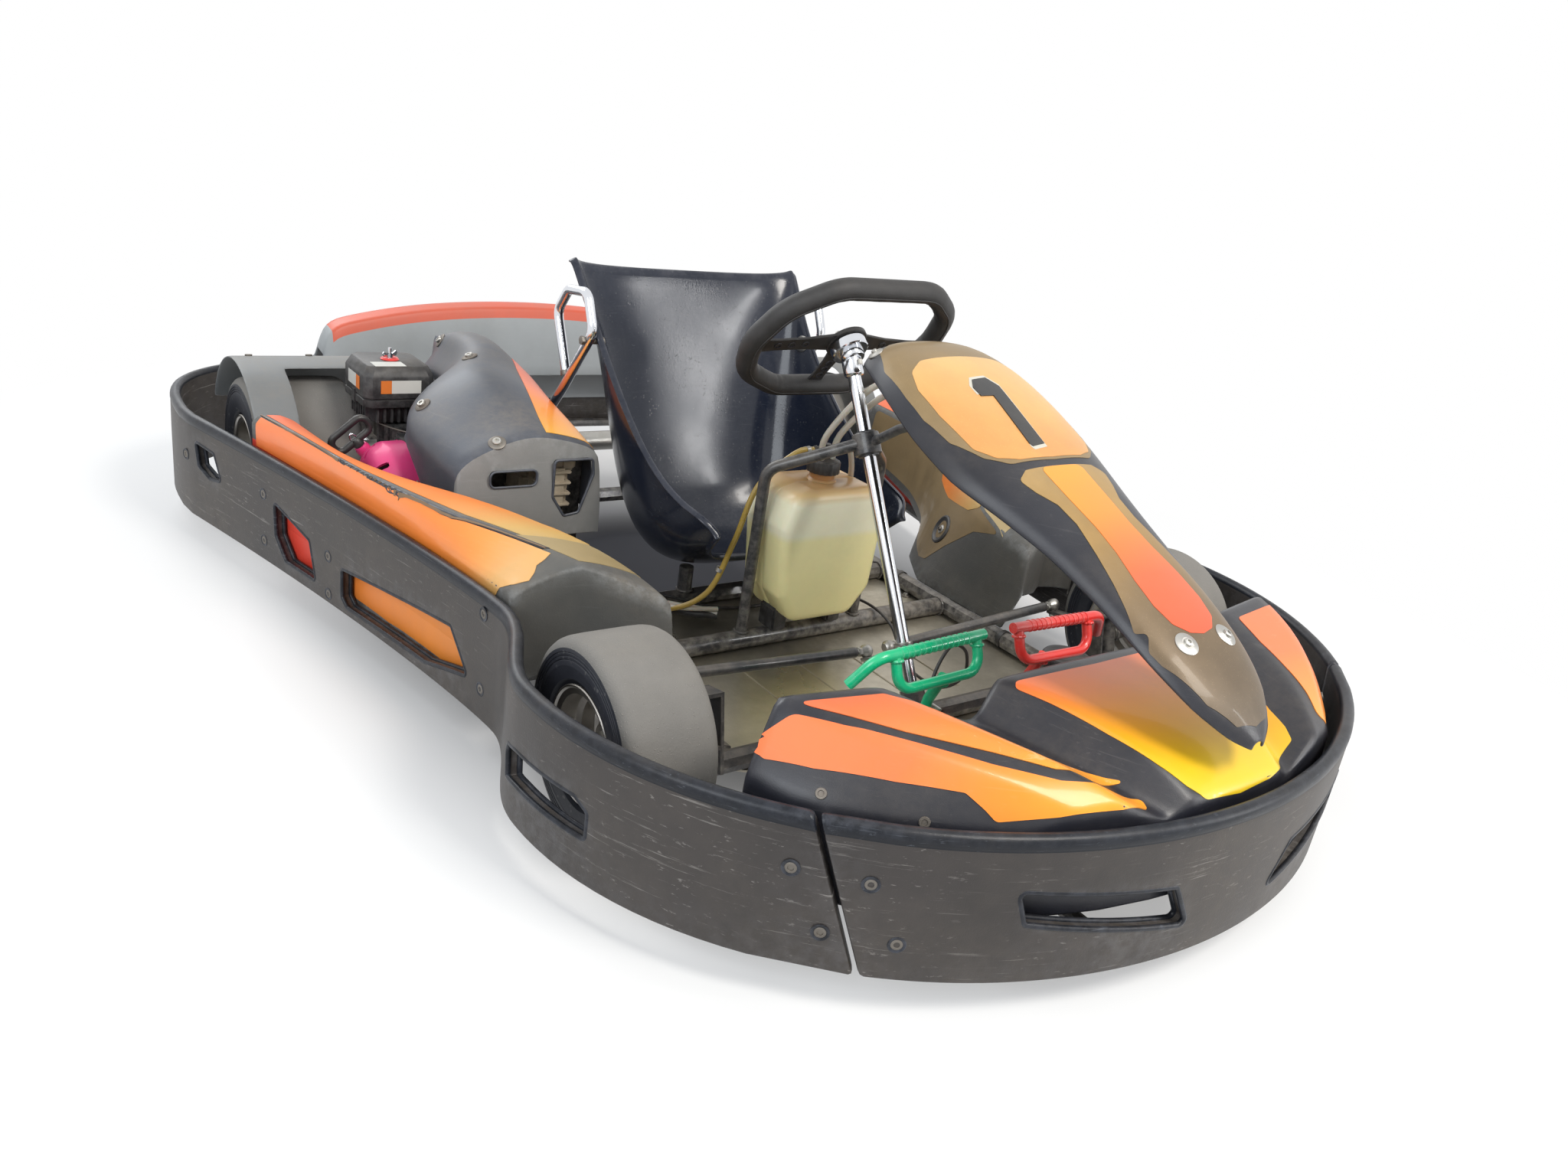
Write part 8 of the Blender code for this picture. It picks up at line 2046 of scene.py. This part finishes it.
def makeColumnSupport():
    radius, tubeBack, tubeZ = 0.009, 0.300, 0.0583
    bm = bmesh.new()
    sweep(bm, [(-0.3147, tubeBack, tubeZ), (0.3147, tubeBack, tubeZ)], 0.015, 0, 28)
    top = columnAt(steering["bush"])
    for side in (1, -1):
        path = rounded([Vector((0.113 * side, tubeBack, tubeZ)), Vector((0.113 * side, tubeBack - 0.005, 0.340)),
                        Vector((0.012 * side, top.y + 0.004, top.z))], 0.030, 8)
        sweep(bm, path, radius, 0, 20)
        beadRound(bm, facing((0.113 * side, tubeBack, tubeZ + 0.0140), (0, 0, 1)), radius + 0.0010)
        beadRound(bm, facing((0.3140 * side, tubeBack, tubeZ), (-side, 0, 0)), 0.0150)
    axis = columnPlace() @ Matrix.Translation((0, 0, steering["bush"]))
    turn(bm, [(0.0106, -0.016), (0.0188, -0.016), (0.0200, -0.0148), (0.0200, 0.0148), (0.0188, 0.016), (0.0106, 0.016)],
         axis, 0, 48)
    turn(bm, [(0.0104, -0.0185), (0.0150, -0.0185), (0.0155, -0.0165), (0.0155, 0.0165), (0.0150, 0.0185), (0.0104, 0.0185)],
         axis, 1, 40)
    stay = rounded([Vector(p) for p in (tuple(columnAt(steering["bush"], -0.012)), (0, 0.150, 0.440), (0, 0.030, 0.500),
                                        (0, -0.120, 0.440))], 0.040, 6)
    sweep(bm, stay, 0.007, 0, 18)
    for back, low, high in ((0.030, 0.496, 0.5460), (-0.112, 0.438, 0.4800)):
        turn(bm, rod(0.010, low, high, 0.001), Matrix.Translation((0, back, 0)), 1, 28)
    put("columnSupport", bm, [materials["framePaint"], materials["blackPlastic"]], "chassis",
        ["column_support"])


def makeTieRods():
    cos12, sin12 = math.cos(math.radians(12)), math.sin(math.radians(12))
    axleZ = 0.130 * wheel["flat"]
    for name, side in sides.items():
        inner = columnAt(0.074, 0.060, 0.022 * side)
        outer = Vector((0.385 * side, 0.105 * cos12 + 0.0282 * sin12, axleZ - 0.105 * sin12 + 0.0282 * cos12))
        run = outer - inner
        length = run.length
        at = facing(inner, run)
        bm = bmesh.new()
        turn(bm, [(0, 0.020), (0.0066, 0.020), (0.0078, 0.022), (0.0080, 0.026), (0.0080, length - 0.026),
                  (0.0078, length - 0.022), (0.0066, length - 0.020), (0, length - 0.020)], at, 0, 28)
        for spot, way in ((0.0, 1), (length, -1)):
            turn(bm, [(0, spot - way * 0.0085), (0.0062, spot - way * 0.0085), (0.0096, spot - way * 0.005),
                      (0.0102, spot), (0.0096, spot + way * 0.005), (0.0058, spot + way * 0.010),
                      (0.0052, spot + way * 0.022), (0, spot + way * 0.022)], at, 1, 26)
            nut(bm, at @ Matrix.Translation((0, 0, spot + way * 0.014 - 0.003)), 0.0125, 0.006, 1)
        put(name + "TieRod", bm, [materials["framePaint"], materials["zincSteel"]], name + "_link",
            [name + "_tie_rod"])


def makeSpindles():
    axleZ = 0.130 * wheel["flat"]
    for name, side in sides.items():
        at = Matrix.Translation((0.395 * side, 0, axleZ)) @ Matrix.Rotation(math.radians(-12), 4, "X")
        bm = bmesh.new()
        turn(bm, [(0.0056, -0.0315), (0.0125, -0.0315), (0.0140, -0.0300), (0.0140, 0.0300), (0.0125, 0.0315),
                  (0.0056, 0.0315)], at, 0, 40)
        stub = at @ Matrix.Rotation(math.pi / 2 * side, 4, "Y")
        turn(bm, [(0, 0.010), (0.0125, 0.010), (0.0125, 0.0725), (0.0115, 0.0732), (0.0085, 0.0734), (0.0085, 0.1226),
                  (0.0080, 0.1320), (0, 0.1325)], stub, 1, 32)
        nut(bm, stub @ Matrix.Translation((0, 0, 0.1232)), 0.022, 0.0085, 1)
        x = -0.010
        arm = [(-0.0090, 0.008), (0.0090, 0.008), (x + 0.0085, 0.060), (x + 0.0100, 0.105), (x + 0.0050, 0.114),
               (x - 0.0050, 0.114), (x - 0.0100, 0.105), (x - 0.0090, 0.060)]
        prism(bm, [(a * side, b) for a, b in arm], 0.0130, 0.0180, at, 0, 0.0007)
        turn(bm, rod(0.0032, 0.0100, 0.0200), at @ Matrix.Translation((x * side, 0.105, 0)), 1, 16)
        nut(bm, at @ Matrix.Translation((x * side, 0.105, 0.0080)), 0.010, 0.005, 1)
        beadRound(bm, stub @ Matrix.Translation((0, 0, 0.0135)), 0.0125)
        put(name + "Spindle", bm, [materials["framePaint"], materials["zincSteel"]], name + "_steer",
            [name + "_spindle"])
        bm = bmesh.new()        # kingpin bolt through the bracket
        turn(bm, rod(0.0050, -0.0420, 0.0440), at, 0, 20)
        nut(bm, at @ Matrix.Translation((0, 0, 0.0374)), 0.016, 0.0060, 0)
        nut(bm, at @ Matrix.Translation((0, 0, -0.0434)), 0.016, 0.0060, 0)
        turn(bm, [(0.0050, 0.0322), (0.0110, 0.0322), (0.0110, 0.0368), (0.0050, 0.0368)], at, 0, 26)
        put(name + "Kingpin", bm, materials["zincSteel"], "chassis")


makeSteering()
makeColumnSupport()
makeTieRods()
makeSpindles()
print("steering made")


# Fuel tank

tank = {"half": 0.098, "front": 0.245, "back": 0.357, "bottom": 0.100, "top": 0.316}


def makeTank():
    half, low, high = tank["half"], tank["bottom"], tank["top"]
    outline = [(-half + 0.012, low + 0.045), (-half + 0.0405, low), (half - 0.0405, low), (half - 0.006, low + 0.045),
               (half, high - 0.050), (half - 0.020, high - 0.004), (half - 0.050, high), (-half + 0.050, high),
               (-half + 0.014, high - 0.010), (-half, high - 0.060)]
    loop = rounded([Vector(p) for p in outline], 0.022, 6, closed=True)
    middle = Vector((0, (low + high) / 2))
    bm = bmesh.new()
    rings = []
    for y, inset in ((0.0000, 0.0140), (0.0012, 0.0095), (0.0040, 0.0045), (0.0095, 0.0010), (0.0160, 0.0), (0.0530, 0.0),
                     (0.0545, 0.0014), (0.0575, 0.0014), (0.0590, 0.0), (0.0960, 0.0), (0.1025, 0.0010), (0.1080, 0.0045),
                     (0.1108, 0.0095), (0.1120, 0.0140)):
        rings.append([(p.x * (1 - inset / half), tank["front"] + y, middle.y + (p.y - middle.y) * (1 - inset / 0.108))
                      for p in loop])
    skin(bm, rings)
    at = Matrix.Translation((0, 0.301, 0))
    turn(bm, [(0, high - 0.010), (0.0260, high - 0.004), (0.0225, high + 0.002), (0.0200, high + 0.004),
              (0.0200, high + 0.012), (0.0160, high + 0.012), (0, high + 0.012)], at, 0, 48)
    for side in (1, -1):
        box(bm, (side * 0.055 - 0.014, 0.280, 0.0736), (side * 0.055 + 0.014, 0.320, low + 0.012), 0.003,
            None, 1)
    put("fuelTank", bm, [materials["tankPlastic"], materials["blackPlastic"]], "chassis",
        ["fuel_tank"], 50)

    base = high + 0.0123
    bm = bmesh.new()
    loop = []
    for k in range(72):
        turned, reach = math.tau * k / 72, 0.0260 - (0.0010 if k % 4 > 1 else 0.0)
        loop.append((reach * math.cos(turned), reach * math.sin(turned)))
    prism(bm, loop, base, base + 0.0185, at, 0, 0.0012)
    turn(bm, [(0, base + 0.0180), (0.0225, base + 0.0180), (0.0215, base + 0.0200), (0.0120, base + 0.0215),
              (0.0080, base + 0.0225), (0.0065, base + 0.0300), (0.0068, base + 0.0440), (0, base + 0.0450)], at, 0, 40)
    turn(bm, rod(0.0050, -0.024, 0.024, 0.0008), facing((0, 0.301, base + 0.036), (1, 0, 0)), 0, 24)
    for x in (-0.0205, 0.0205):
        turn(bm, [(0.0050, -0.0012), (0.0062, -0.0012), (0.0062, 0.0012), (0.0050, 0.0012)],
             facing((x, 0.301, base + 0.036), (1, 0, 0)), 0, 24)
    turn(bm, rod(0.0040, base + 0.018, base + 0.030), at @ Matrix.Translation((0.012, -0.004, 0)), 0, 20)
    turn(bm, [(0, base + 0.028), (0.0058, base + 0.028), (0.0058, base + 0.034), (0, base + 0.035)],
         at @ Matrix.Translation((0.012, -0.004, 0)), 0, 22)
    put("fuelCap", bm, materials["blackPlastic"], "chassis", ["fuel_cap"])

    # breather loop in clear hose, with clips where the fuel hose leaves the cap and meets the engine
    bm = bmesh.new()
    spout = Vector((0.024, 0.301, base + 0.036))
    path = flowing([spout, spout + Vector((0.018, -0.002, 0.002)), spout + Vector((0.036, 0.004, -0.030)),
                    spout + Vector((0.052, 0.018, -0.080)), spout + Vector((0.064, 0.030, -0.140)),
                    spout + Vector((0.062, 0.034, -0.200))], 0.007)
    sweep(bm, path, 0.0046, 0, 16)
    for point, way in ((spout + Vector((0.008, 0, 0)), (1, 0, 0)), (Vector((-0.034, 0.302, base + 0.0350)), (1, -0.1, 0.2)),
                       (Vector((-0.1435, 0.337, 0.165)), (0.3, -0.1, 1))):
        at = facing(point, way)
        turn(bm, [(0.0044, -0.003), (0.0062, -0.003), (0.0062, 0.003), (0.0044, 0.003)], at, 1, 22)
        box(bm, (0.0052, -0.0022, -0.003), (0.0115, 0.0022, 0.003), 0.0006, at, 1)
    for side, top in ((1, 0.055), (-1, 0.070)):      # return hoses going up beside the column
        path = flowing([Vector((0.010 * side, 0.296, base + 0.018)), Vector((0.013 * side, 0.290, base + 0.060)),
                        Vector((0.030 + 0.010 * side, 0.262, base + 0.060 + top)), Vector((0.044 + 0.008 * side, 0.226, base + 0.090 + top)),
                        Vector((0.052, 0.175, base + 0.100 + top)), Vector((0.050, 0.120, 0.540))], 0.008)
        sweep(bm, path, 0.0050, 0, 16)
    put("tankHoses", bm, [materials["clearHose"], materials["zincSteel"]], "chassis")


makeTank()
print("tank made")


# Pedals and the brake cylinder

pedals = {"axis": (0, -0.085, 0.073), "tube": 0.0075, "height": 0.168}


def makePedal(key, node, side, finish, body):
    origin = Vector(pedals["axis"])
    top, low = pedals["height"], pedals["height"] - 0.048
    at = lambda x, y, z: origin + Vector((x * side, y, z))
    bm = bmesh.new()
    sweep(bm, rounded([at(0.235, -0.006, top - 0.045), at(0.210, -0.022, top - 0.006), at(0.028, -0.022, top)], 0.030, 8),
          pedals["tube"], 0, 20)
    hoop = [at(0.180, -0.022, top - 0.006), at(0.180, -0.038, low), at(0.040, -0.038, low + 0.004),
            at(0.040, -0.022, top - 0.004)]
    sweep(bm, rounded(hoop, 0.022, 8), 0.0070, 0, 18)
    sweep(bm, rounded([at(0.095, 0, 0), at(0.095, -0.012, 0.08), at(0.095, -0.030, low + 0.002)], 0.030, 6), 0.0073, 0, 18)
    for x in (0.180, 0.040):
        beadRound(bm, facing(at(x, -0.0245, top - 0.011), (0, -0.3, -1)), 0.0068)
    beadRound(bm, facing(at(0.095, -0.0285, low - 0.006), (0, 0.25, -1)), 0.0072)
    turn(bm, [(0.0047, -0.016), (0.0100, -0.016), (0.0110, -0.0150), (0.0110, 0.0150), (0.0100, 0.016), (0.0047, 0.016)],
         facing(at(0.095, 0, 0), (1, 0, 0)), 0, 32)
    # ribs of the grip wrapped on the top bar
    for k in range(13):
        x = 0.060 + 0.0095 * k
        turn(bm, [(0.0068, -0.0016), (0.0084, -0.0010), (0.0084, 0.0010), (0.0068, 0.0016)],
             facing(at(x, -0.022, top - 0.0061 * (x - 0.028) / 0.182), (1, 0, 0.03)), 0, 20)
    # lever tab for the cable or the brake rod
    box(bm, (-0.002, -0.009, 0.0), (0.002, 0.009, 0.034), 0.0008, Matrix.Translation(at(0.074, -0.010, 0.030)), 1)
    turn(bm, rod(0.0036, -0.006, 0.006), facing(at(0.074, -0.010, 0.056), (1, 0, 0)), 1, 18)
    put(key, bm, [materials[finish], materials["zincSteel"]], body, [node])


def makeBrakeCylinder():
    x, y, z = 0.200, -0.078, 0.0653
    bm = bmesh.new()
    at = facing((x, y, z), (0, 1, 0))
    turn(bm, [(0, -0.055), (0.0120, -0.055), (0.0150, -0.052), (0.0150, 0.030), (0.0130, 0.032), (0.0130, 0.042),
              (0.0110, 0.045), (0, 0.045)], at, 0, 40)
    box(bm, (x - 0.016, y - 0.030, 0.0433), (x + 0.016, y + 0.030, z), 0.002, None, 0)
    for dx in (-0.010, 0.010):
        for dy in (-0.022, 0.022):
            turn(bm, rod(0.0030, 0.0, 0.0050), Matrix.Translation((x + dx, y + dy, z - 0.0005)), 1, 12)
    turn(bm, [(0, 0.073), (0.0190, 0.073), (0.0220, 0.076), (0.0235, 0.108), (0.0310, 0.112), (0.0330, 0.116),
              (0.0330, 0.144), (0.0345, 0.1455), (0.0360, 0.1475), (0.0360, 0.1565), (0.0345, 0.1585), (0.0250, 0.1590),
              (0.0235, 0.1600), (0, 0.1600)], Matrix.Translation((x, y, 0)), 2, 64)
    for k in range(32):
        turned = Matrix.Translation((x, y, 0)) @ Matrix.Rotation(math.tau * k / 32, 4, "Z")
        box(bm, (0.0352, -0.0009, 0.1485), (0.0366, 0.0009, 0.1560), 0.0004, turned, 2, 1)
    # adjuster with its blue nut, and the rod to the pedal
    turn(bm, rod(0.0035, 0.045, 0.070), at, 1, 18)
    nut(bm, at @ Matrix.Translation((0, 0, 0.050)), 0.013, 0.006, 3)
    turn(bm, [(0, 0), (0.0060, 0), (0.0066, 0.004), (0.0066, 0.012), (0.0040, 0.014), (0.0040, 0.026), (0, 0.026)],
         facing((x - 0.017, y + 0.010, z + 0.002), (-1, 0.1, 0.15)), 3, 24)
    put("masterCylinder", bm, [materials[k] for k in ("engineBlack", "zincSteel", "blackPlastic", "blueFitting")],
        "chassis", ["master_cylinder"])


makePedal("throttlePedal", "throttle_pedal", -1, "greenPaint", "throttle")
makePedal("brakePedal", "brake_pedal", 1, "redPaint", "brake")
makeBrakeCylinder()
print("pedals made")


# Frame extras: weld beads, tray bolts and ribs, and clips on the rails

def makeFrameDetails():
    bm = bmesh.new()
    for side in (1, -1):
        for y, z, radius in ((0.470, 0.0583, 0.015), (0.970, 0.0583, 0.015)):
            beadRound(bm, facing((0.3145 * side, y, z), (-side, 0, 0)), radius)
        for x, y in ((seat["postX"], seat["postBack"]),):
            beadRound(bm, facing((x * side, y, 0.0720), (0, 0, 1)), seat["postRadius"])
    put("frameBeads", bm, materials["framePaint"], "chassis")

    bm = bmesh.new()
    for side in (1, -1):
        for x, y in ((0.215, -0.350), (0.228, -0.200), (0.232, -0.080), (0.320, 0.060), (0.312, 0.200), (0.312, 0.380),
                     (0.255, 0.462), (0.090, 0.462), (0.080, -0.355)):
            washerBolt(bm, Matrix.Translation((x * side, y, 0.0431)), 0.0085, 0, 1)
    put("trayBolts", bm, [materials["oldSteel"], materials["zincSteel"]], "chassis")

    bm = bmesh.new()
    # pressed ribs along the tray
    for x in (-0.150, -0.050, 0.050, 0.150):
        box(bm, (x - 0.004, 0.070, 0.0428), (x + 0.004, 0.235, 0.0444), 0.0012)
    put("trayRibs", bm, materials["trayMetal"], "chassis")

    # clips on both side rails
    bm = bmesh.new()
    for x, y in ((0.330, 0.150), (0.330, 0.420), (0.330, 0.640), (0.330, 0.860), (-0.330, 0.200), (-0.330, 0.520)):
        turn(bm, [(0.0150, -0.004), (0.0162, -0.004), (0.0162, 0.004), (0.0150, 0.004)],
             facing((x, y, 0.0583), (0, 1, 0)), 0, 28)
    put("railClips", bm, materials["blackPlastic"], "chassis")


makeFrameDetails()
print("frame details made")


# Everything that still shows as a solid gets its finish

nodeFinishes = {
    "floor_tray": "trayMetal", "brake_caliper": "engineBlack", "engine_block": "engineBlack", "muffler": "hotSteel",
    "drive_chain": "oldSteel", "clutch_drum": "oldSteel", "axle_sprocket": "zincSteel", "brake_disc": "oldSteel",
    "rear_axle": "zincSteel", "master_cylinder": "blackPlastic", "pedal_bracket": "framePaint",
}
slotFinishes = {
    "black_frame_paint": "framePaint", "bare_steel": "zincSteel", "chrome": "chromePlate",
    "rim_aluminium": "rimAluminium", "tray_metal": "trayMetal", "tyre_rubber": "sidewallRubber",
    "bumper_plastic": "bumperPlastic", "orange_bodywork": "podOrange", "grey_moulding": "podMoulding",
    "seat_plastic": "seatPlastic", "wheel_grip": "wheelGrip", "tank_plastic": "tankPlastic", "fuel_hose": "fuelHose",
    "green_paint": "greenPaint", "red_paint": "redPaint", "pink_recoil_cover": "pinkPlastic",
    "engine_black": "engineBlack", "hot_steel": "hotSteel", "black_plastic": "blackPlastic",
}


def finishNodes():
    for name, node in frame["nodes"].items():
        for holder in node.material_slots:
            slot = holder.material.name.split(".")[0] if holder.material else ""
            holder.material = materials[nodeFinishes.get(name) or slotFinishes.get(slot, "framePaint")]
        node.data.shade_smooth()
        node.data.set_sharp_from_angle(angle=math.radians(35))


finishNodes()


# Floor, backdrop, lamps

# the shade colour here is a painted shadow in the floor's colour under the kart's middle
stage = {"size": 30.0, "floorColour": (0.86, 0.86, 0.86), "shadowAcross": 1.25, "shadowAlong": 1.55,
         "underKart": 0.4, "underFloor": 0.0, "paintedShadowColour": (0.10, 0.10, 0.11), "world": 0.55, "key": 118.0, "fill": 58.0, "rim": 60.0, "strip": 15.0}


# Paper floor: it takes the kart's shadow, its colour holds a painted shadow under the kart's middle, and away from the
# kart it is plain white to the camera.
def makePaper():
    material = bpy.data.materials.new("floorPaper")
    material.use_nodes = True
    tree = material.node_tree
    s = Shader(tree)
    paper = tree.nodes["Principled BSDF"]
    paper.inputs["Roughness"].default_value = 0.95
    paper.inputs["Specular IOR Level"].default_value = 0.05
    x, y, z = (s.add("ShaderNodeSeparateXYZ", {0: s.coordinates()}, k) for k in range(3))
    away = s.math("SQRT", s.math("ADD", s.math("POWER", s.math("DIVIDE", x, stage["shadowAcross"]), 2.0),
                                 s.math("POWER", s.math("DIVIDE", y, stage["shadowAlong"]), 2.0)))
    # painted shadow: the paper's own colour turns dark under the middle of the kart
    shade = s.mix(s.between(away, 0.30, 0.62), colour(*stage["paintedShadowColour"]), colour(*stage["floorColour"]))
    tree.links.new(shade, paper.inputs["Base Color"])
    path = s.add("ShaderNodeLightPath", out=None)
    seen = s.math("MAXIMUM", path.outputs["Is Camera Ray"],
                  s.math("MAXIMUM", path.outputs["Is Transmission Ray"], path.outputs["Is Glossy Ray"]))
    white = s.add("ShaderNodeEmission", {"Color": colour(1, 1, 1), "Strength": 1.0})
    plain = s.math("MAXIMUM", s.between(away, 0.26, 0.60, stage["underFloor"], stage["underKart"]),
                   s.between(away, 0.75, 1.25, 0.0, 1.0))
    both = s.add("ShaderNodeMixShader", {0: s.math("MULTIPLY", plain, seen), 1: paper.outputs[0], 2: white})
    tree.links.new(both, tree.nodes["Material Output"].inputs["Surface"])
    return material


def makeStage():
    bm = bmesh.new()
    half = stage["size"] / 2
    bm.faces.new([bm.verts.new(p) for p in ((-half, -half, 0), (half, -half, 0), (half, half, 0), (-half, half, 0))])
    mesh = bpy.data.meshes.new("studioFloor")
    bm.to_mesh(mesh)
    bm.free()
    floor = bpy.data.objects.new("studioFloor", mesh)
    floor.location.z = -0.0005
    bpy.context.scene.collection.objects.link(floor)
    mesh.materials.append(makePaper())

    world = bpy.data.worlds.new("studio")
    bpy.context.scene.world = world
    world.use_nodes = True
    tree = world.node_tree
    s = Shader(tree)
    plain = tree.nodes["Background"]
    plain.inputs["Color"].default_value = colour(0.94, 0.97, 1.0)
    plain.inputs["Strength"].default_value = stage["world"]
    seen = s.add("ShaderNodeBackground", {"Color": colour(1, 1, 1), "Strength": 1.0})
    path = s.add("ShaderNodeLightPath", out=None)
    direct = s.math("MAXIMUM", path.outputs["Is Camera Ray"],
                    s.math("MAXIMUM", path.outputs["Is Transmission Ray"], path.outputs["Is Glossy Ray"]))
    both = s.add("ShaderNodeMixShader", {0: direct, 1: plain.outputs[0], 2: seen})
    tree.links.new(both, tree.nodes["World Output"].inputs["Surface"])

    for name, place, aim, size, power, tone in (
            ("keyLamp", (0.7, -2.9, 3.6), (0, -0.1, 0.2), (1.3, 1.3), stage["key"], (1.0, 0.96, 0.90)),
            ("fillLamp", (-3.2, -1.6, 2.2), (0, -0.1, 0.2), (1.9, 1.9), stage["fill"], (0.90, 0.95, 1.0)),
            ("backLamp", (-0.8, 3.2, 2.6), (0, -0.1, 0.2), (2.2, 2.2), stage["rim"], (0.95, 0.98, 1.0)),
            ("stripLamp", (1.62, -2.44, 1.05), (-0.1, 0.2, 0.4), (0.14, 1.5), stage["strip"], (1.0, 1.0, 1.0))):
        lamp = bpy.data.lights.new(name, "AREA")
        lamp.shape, lamp.size, lamp.size_y, lamp.energy, lamp.color = "RECTANGLE", *size, power, tone
        holder = bpy.data.objects.new(name, lamp)
        bpy.context.scene.collection.objects.link(holder)
        holder.location = place
        holder.rotation_euler = (Vector(aim) - Vector(place)).to_track_quat("-Z", "Y").to_euler()
        holder.visible_camera = False
    bpy.context.scene.view_settings.view_transform = "Standard"


makeStage()
print("stage made")
